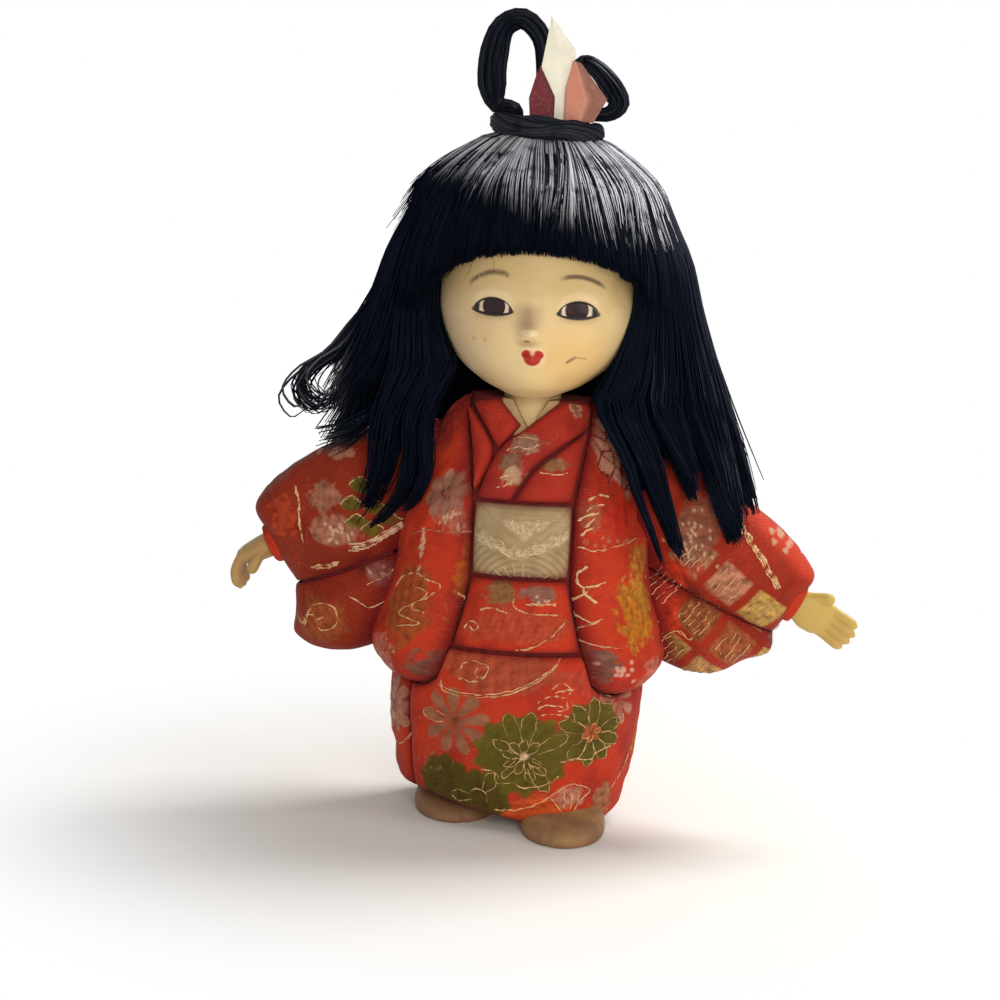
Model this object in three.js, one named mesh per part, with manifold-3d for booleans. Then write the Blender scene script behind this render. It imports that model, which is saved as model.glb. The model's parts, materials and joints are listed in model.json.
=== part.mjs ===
// A kimekomi doll: a young girl in a brocade kimono and an open jacket (haori).
// A moulded wood-paste core carries padded cloth panels whose edges are tucked into its seams.
// The head turns on a peg in the neck socket, and each hand turns on a wire pin in its sleeve.
// Millimetres, +Z up. The doll faces -Y and its own left side is +X. Z is 0 under the soles.
import * as THREE from "three";
import { mergeVertices } from "three/addons/utils/BufferGeometryUtils.js";
import Module from "manifold-3d";

const wasm = await Module();
wasm.setup();

// Clearances and cloth
const seatGap = 0.4; // between a piece and what carries it
const facetRelief = 0.25; // a faceted core is drawn this much under its true surface
const seamGap = 0.9; // open seam between two cloth panels
const turnGap = 0.5; // round a piece that turns in its socket
const clothEdge = 1.0; // a panel's thickness where it is tucked in
const clothCrown = 1.8; // extra thickness in the middle of a padded panel
const clothRoll = 7; // width over which a panel's edge rolls over

// Heights of the dress, each band on top of the one below
const footHeight = 8.6;
const skirtHeight = 45.4; // hem to the waist fold
const foldHeight = 22; // waist fold under the sash
const obiHeight = 22; // sash
const bodiceHeight = 21; // sash to the bottom of the neckline
const necklineHeight = 8; // open V at the throat

// Half widths and half depths of the core at those levels
const hemHalfWidth = 31.6;
const hipHalfWidth = 35;
const waistHalfWidth = 32.5;
const sashHalfWidth = 30;
const chestHalfWidth = 29;
const shoulderHalfWidth = 24.5;
const neckBaseHalfWidth = 17.5;
const hemHalfDepth = 25;
const hipHalfDepth = 27;
const waistHalfDepth = 25.5;
const sashHalfDepth = 23.5;
const chestHalfDepth = 22.5;
const shoulderHalfDepth = 17.5;
const neckBaseHalfDepth = 12.5;

// The jacket stands out from the core
const jacketHemRise = 13.5; // how far its hem stands out at the sides
const jacketHemLift = 11; // its side hem over the hip level
const jacketFrontDrop = 3; // its front corners below the side hem
const jacketHemBow = 6; // how far the rounded front hem hangs below the line between them
const jacketWaistRise = 9.5;
const jacketChestRise = 7.5;
const jacketShoulderRise = 3.6;
const jacketOpenSash = 14; // half width of the front opening at the sash
const jacketOpenNeck = 17; // at the neckline
const jacketOpenHem = 21; // at the jacket's hem

// Skirt
const skirtOverlapTurn = -60; // degrees from the front to the edge of the front lap
const skirtBackTurn = -125; // to the seam between side and back
const skirtLeftTurn = 84; // to the front lap's other seam
const hemDip = 4.6; // the front lap's hem hangs lower on the doll's left
const obiCrown = 2.6;

// Sleeves: reach is measured sideways from the centre, heights from the sash's top
const sleeveHalfDepth = 13;
const sleevePadding = 2.4;
const sleeveSeamThinning = 0.3; // share of its depth that the sleeve loses along its seam
const sleeveSeamSpread = 5;
const sleeveRootThinning = 0.45; // and beside the body, below the arm
const sleeveRootSpread = 18;
const rightSleeve = { tipReach: 80, tipDrop: 9.5, cuffLength: 25, topRise: 17 };
const leftSleeve = { tipReach: 85, tipDrop: 20, cuffLength: 20, topRise: 10 };
const sleeveRoot = 27; // where the sleeve's outline starts, inside the body
const sleeveSeamDrop = 15; // seam between jacket sleeve and kimono sleeve, at the body
const sleeveBagDrop = 49; // lowest point of the hanging kimono sleeve
const sleeveBagReach = 57; // where that point lies
const armStubRadius = 5;
const dowelRadius = 2;
const dowelLength = 26;

// Hands
const wristRadius = 4.6;
const wristLength = 9;
const wristDip = 28; // degrees that the wrists point down
const palmLength = 10;
const palmHalfWidth = 6.2;
const palmHalfThickness = 3.6;
const fingerRadius = 1.65;
const fingerLength = 11;
const cuffRingWall = 1.2;
const cuffRingLength = 4;
const pinRadius = 1;
const pinLength = 14;
const rightHand = { curl: 1.25, roll: 0 }; // palm down, fingers bent
const leftHand = { curl: 0.25, roll: -75 }; // open, palm turned to the front

// Feet
const footHalfLength = 19;
const footHalfWidth = 12.6;
const toeHeight = 5;
const footStep = 18; // how far the left foot stands ahead of the right
const footSpread = 33; // between the two foot centres
const footPegSet = 7; // ankle peg behind the middle of the foot
const footPegRadius = 2.4;
const footPegLength = 12;

// Head and neck
const headHeight = 65;
const faceHalfWidth = 29.4;
const faceHalfDepth = 31;
const headBackDepth = 30;
const chinGap = 1.6; // chin over the top of the collar
const neckRadius = 8;
const neckFootRadius = 10.4;
const neckPlugDepth = 14; // below the collar's top
const neckPegRadius = 4;
const neckPegLength = 24;
const noseHeight = 3;
const eyeSpacing = 24.4;
const eyeHalfWidth = 5.8;
const eyeHalfHeight = 2.7;
const eyeHalfDepth = 3;

// Hair
const bangsLift = 41; // brow line over the chin
const bangsSideDrop = 9;
const crownLift = 8; // hair on top of the head
const hairSideRise = 17; // hair beside the face
const hairTipReach = 69; // half width of the hair at its tips
const hairTipDrop = 33; // longest side tip below the chin
const hairBackDrop = 36; // back hair below the chin
const hairSweep = 14; // hair on the doll's right is swept back, and shorter by this
const hairCurtain = 9; // thickness of the hanging hair
const hairFrontDepth = 37; // half depth of the bell of hair in front of the neck
const hairBackDepth = 41; // and behind it
const bangsThickness = 7;
const hairFrontTurn = 34; // degrees from the front to the edge of the side hair at its tips

// Topknot with its two hair loops and folded papers
const knotHalfWidth = 14;
const knotHalfDepth = 9.5;
const knotHeight = 5.5;
const tieRadius = 2.4;
const tieTilt = 4; // degrees; the cord slopes down towards the doll's left
const loopHalfDepth = 4;
const leftLoopHeight = 20; // above the knot
const rightLoopHeight = 32;
const paperThickness = 0.8;
const paperHeight = 31;

const degrees = Math.PI / 180;

// Levels worked out from the bands
const hemZ = footHeight;
const hipZ = hemZ + 0.66 * skirtHeight;
const foldZ = hemZ + skirtHeight;
const obiZ = foldZ + foldHeight;
const obiTopZ = obiZ + obiHeight;
const throatZ = obiTopZ + bodiceHeight;
const collarZ = throatZ + necklineHeight;
const shoulderZ = throatZ - 0.33 * bodiceHeight;
const chinZ = collarZ + chinGap;
const headTopZ = chinZ + headHeight;
const crownZ = headTopZ + crownLift;
const jacketHemZ = hipZ + jacketHemLift;
const neckFootZ = collarZ - neckPlugDepth;

// Materials
const paint = (color, roughness, metalness = 0) =>
  new THREE.MeshStandardMaterial({ color, roughness, metalness });
const brocade = paint(0xb8401f, 0.62);
const brocadeDeep = paint(0xa5301c, 0.62);
const sashCloth = paint(0xb9a880, 0.55);
const shellWhite = paint(0xdcc48e, 0.4);
const tabiWhite = paint(0xb9a68c, 0.7);
const woodPaste = paint(0xa98b63, 0.85);
const bareWood = paint(0xc49a62, 0.8);
const glassEye = paint(0x2a1410, 0.08);
const hairBlack = paint(0x0c0c12, 0.42);
const tieCord = paint(0x15141a, 0.5);
const wire = paint(0x8d8a84, 0.4, 0.9);
const creamPaper = paint(0xf2ead2, 0.75);
const crimsonPaper = paint(0x6d1426, 0.7);
const pinkPaper = paint(0xd98d7c, 0.7);

const point = (x, y, z) => new THREE.Vector3(x, y, z);
const mix = THREE.MathUtils.lerp;
const clamp01 = (t) => THREE.MathUtils.clamp(t, 0, 1);

// Turns a three.js geometry into a manifold-3d solid whose faces point out.
function solidOf(geometry) {
  const bare = new THREE.BufferGeometry();
  bare.setAttribute("position", geometry.getAttribute("position").clone());
  bare.setIndex(geometry.index);
  const merged = mergeVertices(bare, 1e-3);
  const xyz = merged.getAttribute("position").array;
  const kept = [];
  let volume = 0;
  for (let i = 0; i < merged.index.count; i += 3) {
    const [a, b, c] = [0, 1, 2].map((k) => merged.index.getX(i + k));
    if (a === b || b === c || c === a) continue;
    kept.push(a, b, c);
    const corner = (v) => point(xyz[3 * v], xyz[3 * v + 1], xyz[3 * v + 2]);
    volume += corner(a).dot(corner(b).cross(corner(c)));
  }
  if (volume < 0) kept.reverse();
  return new wasm.Manifold(
    new wasm.Mesh({ numProp: 3, vertProperties: xyz, triVerts: new Uint32Array(kept) }),
  );
}

// A solid back as a named three.js mesh.
function meshOf(name, solid, material) {
  const made = solid.getMesh();
  const geometry = new THREE.BufferGeometry();
  const xyz = new Float32Array(made.numVert * 3);
  for (let i = 0; i < made.numVert; i += 1) {
    xyz.set(made.vertProperties.subarray(i * made.numProp, i * made.numProp + 3), i * 3);
  }
  geometry.setAttribute("position", new THREE.BufferAttribute(xyz, 3));
  geometry.setIndex(new THREE.BufferAttribute(made.triVerts, 1));
  geometry.computeVertexNormals();
  const mesh = new THREE.Mesh(geometry, material);
  mesh.name = name;
  return mesh;
}

// The closed solid between two sheets of points on the same grid: outer(u, v) and inner(u, v).
function slab(columns, rows, outer, inner) {
  const points = [];
  for (const sheet of [outer, inner]) {
    for (let j = 0; j <= rows; j += 1) {
      for (let i = 0; i <= columns; i += 1) points.push(sheet(i / columns, j / rows));
    }
  }
  const at = (sheet, i, j) => (sheet * (rows + 1) + j) * (columns + 1) + i;
  const triangles = [];
  const quad = (a, b, c, d) => triangles.push(a, b, c, a, c, d);
  for (let j = 0; j < rows; j += 1) {
    for (let i = 0; i < columns; i += 1) {
      quad(at(0, i, j), at(0, i + 1, j), at(0, i + 1, j + 1), at(0, i, j + 1));
      quad(at(1, i, j), at(1, i, j + 1), at(1, i + 1, j + 1), at(1, i + 1, j));
    }
  }
  for (let i = 0; i < columns; i += 1) {
    quad(at(1, i, 0), at(1, i + 1, 0), at(0, i + 1, 0), at(0, i, 0));
    quad(at(0, i, rows), at(0, i + 1, rows), at(1, i + 1, rows), at(1, i, rows));
  }
  for (let j = 0; j < rows; j += 1) {
    quad(at(0, 0, j), at(0, 0, j + 1), at(1, 0, j + 1), at(1, 0, j));
    quad(at(1, columns, j), at(1, columns, j + 1), at(0, columns, j + 1), at(0, columns, j));
  }
  const geometry = new THREE.BufferGeometry().setFromPoints(points);
  geometry.setIndex(triangles);
  return solidOf(geometry);
}

// Stacked closed rings of points, capped at both ends: ring(i, j) for point i of ring j.
function stack(around, rings, ring) {
  const points = [];
  const triangles = [];
  const centre = (j) => {
    const sum = point(0, 0, 0);
    for (let i = 0; i < around; i += 1) sum.add(points[j * around + i]);
    return sum.divideScalar(around);
  };
  for (let j = 0; j < rings; j += 1) {
    for (let i = 0; i < around; i += 1) points.push(ring(i, j));
  }
  points.push(centre(0), centre(rings - 1));
  for (let i = 0; i < around; i += 1) {
    const next = (i + 1) % around;
    for (let j = 0; j < rings - 1; j += 1) {
      const [a, b] = [j * around + i, j * around + next];
      triangles.push(a, b, b + around, a, b + around, a + around);
    }
    const last = (rings - 1) * around;
    triangles.push(rings * around, next, i, rings * around + 1, last + i, last + next);
  }
  const geometry = new THREE.BufferGeometry().setFromPoints(points);
  geometry.setIndex(triangles);
  return solidOf(geometry);
}

// A round bar from one point to another.
function bar(from, to, radius, sides = 12) {
  const along = to.clone().sub(from);
  const geometry = new THREE.CylinderGeometry(radius, radius, along.length(), sides);
  geometry.applyQuaternion(
    new THREE.Quaternion().setFromUnitVectors(point(0, 1, 0), along.clone().normalize()),
  );
  geometry.translate(...from.clone().add(to).multiplyScalar(0.5).toArray());
  return solidOf(geometry);
}

// A body whose level sections are ellipses. Each station has a height z, a half width w and half
// depths in front (f) and behind (b), joined by smooth curves.
function loftOf(stations) {
  const value = (key, z) => {
    const last = stations.length - 1;
    let i = 0;
    while (i < last - 1 && z > stations[i + 1].z) i += 1;
    const slope = (k) => {
      const [a, b] = [stations[Math.max(k - 1, 0)], stations[Math.min(k + 1, last)]];
      return (b[key] - a[key]) / (b.z - a.z);
    };
    const [low, high] = [stations[i], stations[i + 1]];
    const span = high.z - low.z;
    const t = clamp01((z - low.z) / span);
    const ease = t * t * (3 - 2 * t);
    const bend = span * (slope(i) * t * (1 - t) * (1 - t) - slope(i + 1) * t * t * (1 - t));
    return mix(low[key], high[key], ease) + bend;
  };
  const depthKey = (turn) => (Math.cos(turn) >= 0 ? "f" : "b");
  // The point at a turn from the front and a height, lifted off the surface by rise.
  const at = (turn, z, rise = 0) => {
    const [w, d] = [value("w", z), value(depthKey(turn), z)];
    const step = 0.5;
    const growth = (key) => (value(key, z + step) - value(key, z - step)) / (2 * step);
    const [s, c] = [Math.sin(turn), Math.cos(turn)];
    const lean = (s * s * growth("w")) / w + (c * c * growth(depthKey(turn))) / d;
    const normal = point(s / w, -c / d, -lean).normalize();
    return point(w * s, -d * c, z).addScaledVector(normal, rise);
  };
  // The turn at which the surface crosses x, on the front.
  const turnAt = (x, z) => Math.asin(THREE.MathUtils.clamp(x / value("w", z), -1, 1));
  const solid = (around, levels, rise = 0) =>
    stack(around, levels.length, (i, j) => {
      const turn = (2 * Math.PI * i) / around;
      return at(turn, levels[j], rise);
    });
  return { value, at, turnAt, solid };
}

// The undressed core
const core = loftOf([
  { z: hemZ, w: hemHalfWidth, f: hemHalfDepth, b: hemHalfDepth },
  { z: hipZ, w: hipHalfWidth, f: hipHalfDepth, b: hipHalfDepth },
  { z: foldZ, w: waistHalfWidth, f: waistHalfDepth, b: waistHalfDepth },
  { z: obiZ, w: sashHalfWidth, f: sashHalfDepth, b: sashHalfDepth },
  { z: obiTopZ, w: chestHalfWidth, f: chestHalfDepth, b: chestHalfDepth },
  { z: shoulderZ, w: shoulderHalfWidth, f: shoulderHalfDepth, b: shoulderHalfDepth },
  { z: collarZ, w: neckBaseHalfWidth, f: neckBaseHalfDepth, b: neckBaseHalfDepth },
]);

// The outside of the jacket, measured out from the core
const risen = (z, rise, depthShare) => ({
  z,
  w: core.value("w", z) + rise,
  f: core.value("f", z) + rise * depthShare,
  b: core.value("b", z) + rise * depthShare,
});
const jacket = loftOf([
  risen(jacketHemZ - jacketFrontDrop - jacketHemBow, jacketHemRise - 0.5, 0.55),
  risen(jacketHemZ, jacketHemRise, 0.6),
  risen(obiZ, jacketWaistRise, 0.7),
  risen(obiTopZ, jacketChestRise, 0.75),
  risen(shoulderZ, jacketShoulderRise + 2, 0.9),
  risen(collarZ, jacketShoulderRise, 0.9),
]);

// How full a padded panel is at a distance from its nearest edge: 0 at the edge, 1 inside the roll.
const roll = (distance, width) => Math.sqrt(1 - (1 - clamp01(distance / width)) ** 2);
// Grid lines drawn together near both edges, where the panel rolls over.
const crowd = (t) => t - 0.08 * Math.sin(2 * Math.PI * t);

// A padded cloth panel on the core. left(v) and right(v) give the two side edges as {turn, z};
// the cloth spans between them, with half a seam left open all round. bow(u) lowers its lower edge.
function panel({ left, right, columns, rows, stops, outside, ...cloth }) {
  const { bow = () => 0, crown = clothCrown, seat = seatGap } = cloth;
  const rowAt = (v) => (stops ? stops[Math.round(v * (stops.length - 1))] : crowd(v));
  const place = (u, v) => {
    const [a, b] = [left(v), right(v)];
    return { turn: mix(a.turn, b.turn, u), z: mix(a.z, b.z, u) - (1 - v) * bow(u) };
  };
  const onCore = (spot, rise) => core.at(spot.turn, spot.z, rise);
  const gauge = (u, v) => onCore(place(u, v), 0);
  const across = (v) => gauge(0, v).distanceTo(gauge(0.5, v)) + gauge(0.5, v).distanceTo(gauge(1, v));
  const along = (u) => gauge(u, 0).distanceTo(gauge(u, 0.5)) + gauge(u, 0.5).distanceTo(gauge(u, 1));
  const inset = (t, length) => THREE.MathUtils.clamp(t, seamGap / 2 / length, 1 - seamGap / 2 / length);
  const spotOf = (u, v) => {
    const vIn = inset(rowAt(v), Math.max(along(crowd(u)), 2 * seamGap));
    const uIn = inset(crowd(u), Math.max(across(vIn), 2 * seamGap));
    return { u: uIn, v: vIn, ...place(uIn, vIn) };
  };
  const fullness = (s) => {
    const sideways = Math.min(s.u, 1 - s.u) * across(s.v) - seamGap / 2;
    const upward = Math.min(s.v, 1 - s.v) * along(s.u) - seamGap / 2;
    const width = Math.min(clothRoll, across(s.v) / 2, along(s.u) / 2);
    return roll(sideways, width) * roll(upward, width);
  };
  const outer = (u, v) => {
    const s = spotOf(u, v);
    const low = onCore(s, seat + clothEdge);
    const high = outside ? outside(s.turn, s.z) : onCore(s, seat + clothEdge + crown);
    return low.lerp(high, fullness(s));
  };
  const inner = (u, v) => onCore(spotOf(u, v), seat);
  return slab(columns, stops ? stops.length - 1 : rows, outer, inner);
}

// A side edge through points given as x and z on the front of the core.
function frontEdge(...corners) {
  const curve = new THREE.SplineCurve(corners.map(([x, z]) => new THREE.Vector2(x, z)));
  return (v) => {
    const p = curve.getPoint(v);
    return { turn: core.turnAt(p.x, p.y), z: p.y };
  };
}
// A side edge at one turn, between two heights.
const uprightEdge = (turn, low, high) => (v) => ({ turn, z: mix(low, high, v) });

// Half width of the jacket's front opening at a height.
function openingAt(z) {
  if (z > obiTopZ) return mix(jacketOpenSash, jacketOpenNeck, clamp01((z - obiTopZ) / bodiceHeight));
  const down = clamp01((obiZ - z) / (obiZ - jacketHemZ + jacketFrontDrop));
  return mix(jacketOpenSash, jacketOpenHem, down ** 1.3);
}
const openingEdge = (side, low, high) => (v) => {
  const z = mix(low, high, v);
  return { turn: core.turnAt(side * openingAt(z), z), z };
};

const doll = new THREE.Group();
const add = (name, solid, material) => doll.add(meshOf(name, solid, material));

// A turned solid about the z axis, from its profile as radius and height.
function lathe(profile, sides) {
  const shape = new THREE.LatheGeometry(profile.map(([r, z]) => new THREE.Vector2(r, z)), sides);
  return solidOf(shape.rotateX(Math.PI / 2));
}

// Neck of the head and the socket that it turns in
function neckSolid(grow) {
  const profile = [
    [0, neckFootZ - grow],
    [neckFootRadius + grow, neckFootZ - grow],
    [neckFootRadius + grow, mix(neckFootZ, throatZ, 0.8)],
    [neckRadius + grow + 0.6, collarZ],
    [neckRadius + grow, chinZ + 4],
    [neckRadius + grow, chinZ + 10],
    [0, chinZ + 10],
  ];
  return lathe(profile, 16);
}
const pegTop = point(0, 0, neckFootZ - turnGap);
const pegFoot = point(0, 0, neckFootZ - neckPegLength);

// Places of the feet, the arm dowels and the throat opening
const footSpots = [
  { name: "right", x: -footSpread / 2, y: 0 },
  { name: "left", x: footSpread / 2, y: -footStep },
].map((foot) => ({ ...foot, y: foot.y - 2, ankle: foot.y - 2 + footPegSet }));
const armZ = obiTopZ + 1;
const throatHalf = 8.4; // half width of the throat opening at the collar
const sides = [
  { name: "right", sign: -1, shape: rightSleeve, handPose: rightHand },
  { name: "left", sign: 1, shape: leftSleeve, handPose: leftHand },
];

// The core, with its sockets
function buildCore() {
  const levels = [hemZ, mix(hemZ, hipZ, 0.45), hipZ, foldZ, mix(foldZ, obiZ, 0.5), obiZ, obiTopZ];
  levels.push(mix(obiTopZ, shoulderZ, 0.5), shoulderZ, mix(shoulderZ, collarZ, 0.5), collarZ);
  let solid = core.solid(26, levels, -facetRelief).subtract(neckSolid(turnGap));
  const pegHoleTop = pegTop.clone().setZ(neckFootZ + 1);
  const pegHoleFoot = pegFoot.clone().setZ(pegFoot.z - 1);
  solid = solid.subtract(bar(pegHoleTop, pegHoleFoot, neckPegRadius + turnGap));
  const throat = new THREE.Shape([
    new THREE.Vector2(-throatHalf, collarZ + 5),
    new THREE.Vector2(0, throatZ - 1),
    new THREE.Vector2(throatHalf, collarZ + 5),
  ]);
  const notch = new THREE.ExtrudeGeometry(throat, { depth: 40, bevelEnabled: false }).rotateX(Math.PI / 2);
  solid = solid.subtract(solidOf(notch));
  for (const { sign } of sides) {
    const inner = point(sign * (chestHalfWidth - dowelLength / 2 - 1), 0, armZ);
    const outer = point(sign * (chestHalfWidth + dowelLength), 0, armZ);
    solid = solid.subtract(bar(inner, outer, dowelRadius + seatGap));
  }
  for (const foot of footSpots) {
    const top = point(foot.x, foot.ankle, footHeight + footPegLength / 2 + 1);
    solid = solid.subtract(bar(point(foot.x, foot.ankle, -1), top, footPegRadius + seatGap));
  }
  return solid;
}
add("torso_core", buildCore(), woodPaste);

// Feet with their pegs. A foot is an oval dome that gets lower towards the toes.
function footSolid(foot, grow) {
  const top = footHeight - seatGap;
  const profile = [[0, 0], [0.9, 0], [0.99, 0.14], [1, 0.35], [0.94, 0.66], [0.8, 0.9], [0.6, 1], [0, 1]];
  const shape = new THREE.LatheGeometry(profile.map(([r, z]) => new THREE.Vector2(r, z)), 18);
  shape.rotateX(Math.PI / 2);
  const spots = shape.getAttribute("position");
  for (let i = 0; i < spots.count; i += 1) {
    const height = mix(toeHeight, top, clamp01(1 + 1.1 * spots.getY(i)));
    spots.setZ(i, spots.getZ(i) * (height + grow));
  }
  shape.scale(footHalfWidth + grow, footHalfLength + grow, 1);
  return solidOf(shape.translate(foot.x, foot.y, 0));
}
for (const foot of footSpots) {
  const pegLow = point(foot.x, foot.ankle, footHeight - footPegLength / 2);
  const pegHigh = point(foot.x, foot.ankle, footHeight + footPegLength / 2);
  const socket = bar(pegLow.clone().setZ(pegLow.z - seatGap), pegHigh, footPegRadius + seatGap);
  add(`foot_${foot.name}`, footSolid(foot, 0).subtract(socket), tabiWhite);
  add(`foot_peg_${foot.name}`, bar(pegLow, pegHigh, footPegRadius), bareWood);
}

// Skirt: the front lap, the side under it and the back. Its top follows the jacket's lower edge.
const jacketFrontZ = jacketHemZ - jacketFrontDrop;
const sideTurn = 96 * degrees;
const foldTurn = core.turnAt(openingAt(foldZ), foldZ);
const cornerTurn = core.turnAt(jacketOpenHem, jacketFrontZ);
// The front hem's rounded dip, a share of the way from the front edge to the side seam.
const hemBow = (share) => jacketHemBow * Math.sin(Math.PI * clamp01(share) ** 0.6) ** 1.2;
const jacketHemAt = (turn) => {
  const share = clamp01((Math.abs(turn) - cornerTurn) / (sideTurn - cornerTurn));
  return mix(jacketFrontZ, jacketHemZ, share) - hemBow(share);
};
const skirtTopAt = (turn) => {
  const past = (Math.abs(turn) - foldTurn) / (cornerTurn - foldTurn);
  if (past < 1) return mix(foldZ, jacketFrontZ, clamp01(past));
  return jacketHemAt(turn);
};
const lapHemAt = (turn) => {
  const onset = clamp01((turn / degrees + 45) / 75);
  const release = clamp01((100 - turn / degrees) / 60);
  return hemZ - hemDip * onset * release;
};
function skirtPanel(turns, hemAt) {
  // The strip runs sideways here: v goes round the body and u goes up from the hem.
  const [first, last] = [turns[0], turns[turns.length - 1]];
  const turnOf = (v) => mix(first, last, v);
  return panel({
    left: (v) => ({ turn: turnOf(v), z: hemAt(turnOf(v)) }),
    right: (v) => ({ turn: turnOf(v), z: skirtTopAt(turnOf(v)) }),
    columns: 6,
    stops: turns.map((turn) => (turn - first) / (last - first)),
  });
}
const overlap = skirtOverlapTurn * degrees;
const leftSeam = skirtLeftTurn * degrees;
const backSeam = skirtBackTurn * degrees;
const spaced = (from, to, count) =>
  Array.from({ length: count + 1 }, (_, i) => mix(from, to, crowd(i / count)));
const lapTurns = [overlap, overlap + 0.03, ...spaced(overlap + 0.1, -cornerTurn, 4)];
lapTurns.push(-foldTurn, -0.5 * foldTurn, 0, 0.5 * foldTurn, foldTurn);
lapTurns.push(...spaced(cornerTurn, leftSeam, 8));
const sideTurns = [...spaced(backSeam, -sideTurn, 3), ...spaced(-sideTurn, overlap, 4).slice(1)];
const backTurns = [leftSeam, leftSeam + 0.04, leftSeam + 0.1];
backTurns.push(...spaced(sideTurn + 0.1, 2 * Math.PI + backSeam, 9));
const clearOfFoot = (cloth, foot) => cloth.subtract(footSolid(foot, seatGap));
const skirtFront = footSpots.reduce(clearOfFoot, skirtPanel(lapTurns, lapHemAt));
add("skirt_front", skirtFront, brocade);
add("skirt_side", skirtPanel(sideTurns, () => hemZ), brocadeDeep);
add("skirt_back", skirtPanel(backTurns, () => hemZ), brocade);

// Waist fold and sash between the two jacket fronts
const band = (low, high, crown) =>
  panel({ left: openingEdge(-1, low, high), right: openingEdge(1, low, high), columns: 7, rows: 6, crown });
add("waist_fold", band(foldZ, obiZ, clothCrown + 0.6), brocade);
add("obi_front", band(obiZ, obiTopZ, obiCrown), sashCloth);

// Collars and bodice: the doll's left collar crosses over the right
const throatLow = [-1, throatZ];
const crossing = [-8.6, mix(obiTopZ, throatZ, 0.66)];
const collarFoot = [-openingAt(obiTopZ), obiTopZ + 0.2];
const leftCollarFoot = [-3.4, obiTopZ];
const leftCollarTop = [throatHalf, collarZ];
const rightCollarTop = [-throatHalf, collarZ];
const leftShoulder = [openingAt(throatZ) - 0.8, mix(obiTopZ, throatZ, 0.98)];
const leftNape = [openingAt(throatZ) - 0.1, mix(throatZ, collarZ, 0.8)];
const rightShoulder = [-openingAt(throatZ) + 0.2, mix(throatZ, collarZ, 0.72)];
const innerEdge = frontEdge(collarFoot, crossing, throatLow, leftCollarTop);
const lapLine = [leftCollarFoot, [2, mix(obiTopZ, throatZ, 0.42)], [9, mix(obiTopZ, throatZ, 0.71)]];
const lapEdge = frontEdge(...lapLine, leftShoulder, leftNape);
add("kimono_collar_left", panel({ left: innerEdge, right: lapEdge, columns: 4, rows: 10 }), brocadeDeep);
add(
  "kimono_collar_right",
  panel({
    left: frontEdge(crossing, rightShoulder),
    right: frontEdge([throatLow[0] - 0.8, throatLow[1] + 0.8], rightCollarTop),
    columns: 5,
    rows: 6,
  }),
  brocadeDeep,
);
add(
  "kimono_bodice_right",
  panel({
    left: openingEdge(-1, collarFoot[1] + 2, rightShoulder[1] - 2),
    right: frontEdge(
      [collarFoot[0] + 0.9, collarFoot[1] + 2.2],
      [crossing[0] - 0.6, crossing[1] + 0.2],
      [rightShoulder[0] + 0.6, rightShoulder[1] - 1.5],
    ),
    columns: 4,
    rows: 9,
  }),
  brocade,
);
add(
  "kimono_bodice_left",
  panel({
    left: frontEdge(...lapLine, [leftShoulder[0] - 1.4, leftShoulder[1] - 1]),
    right: openingEdge(1, obiTopZ, leftShoulder[1] - 1),
    columns: 5,
    rows: 8,
  }),
  brocade,
);
const napeTurn = 99 * degrees;
add(
  "kimono_collar_nape",
  panel({
    left: uprightEdge(napeTurn, throatZ + 2, collarZ),
    right: uprightEdge(2 * Math.PI - napeTurn, throatZ + 2, collarZ),
    columns: 10,
    rows: 2,
    crown: 0.6,
    seat: seatGap + facetRelief,
  }),
  brocadeDeep,
);

// Jacket: two fronts that meet the back at the side seams, with a round armhole on each side
const jacketTop = throatZ + 2; // of the back
const jacketFrontTop = collarZ - 0.5;
const jacketOutside = (turn, z) => jacket.at(turn, z);
function jacketFront(sign) {
  const edges = [
    (v) => {
      const z = mix(jacketFrontZ, jacketFrontTop, v);
      return { turn: sign * core.turnAt(openingAt(z), z), z };
    },
    (v) => ({ turn: sign * sideTurn, z: mix(jacketHemZ, jacketFrontTop, v) }),
  ];
  if (sign < 0) edges.reverse();
  const bow = (u) => hemBow(sign > 0 ? u : 1 - u);
  const seat = seatGap + 2 * facetRelief;
  const [left, right] = edges;
  return panel({ left, right, columns: 8, rows: 7, bow, outside: jacketOutside, seat });
}
const armholes = sides.map(({ sign }) =>
  bar(point(sign * 20, 0, armZ), point(sign * 2 * chestHalfWidth, 0, armZ), armStubRadius + seatGap, 16),
);
add("haori_front_left", jacketFront(1).subtract(armholes[1]), brocade);
add("haori_front_right", jacketFront(-1).subtract(armholes[0]), brocade);
const jacketBack = panel({
  left: uprightEdge(sideTurn, jacketHemZ, jacketTop),
  right: uprightEdge(2 * Math.PI - sideTurn, jacketHemZ, jacketTop),
  columns: 12,
  rows: 7,
  outside: jacketOutside,
  seat: seatGap + 2 * facetRelief,
});
add("haori_back", jacketBack.subtract(armholes[0]).subtract(armholes[1]), brocadeDeep);

// Everything that the sleeves and the hair have to stay clear of on the body
const jacketLevels = [jacketFrontZ - jacketHemBow, jacketHemZ, mix(jacketHemZ, obiZ, 0.5), obiZ];
jacketLevels.push(mix(obiZ, obiTopZ, 0.5), obiTopZ, mix(obiTopZ, shoulderZ, 0.5));
jacketLevels.push(shoulderZ, mix(shoulderZ, collarZ, 0.5));
const jacketShell = jacket.solid(24, [...jacketLevels, collarZ], seatGap + 0.2);

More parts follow.
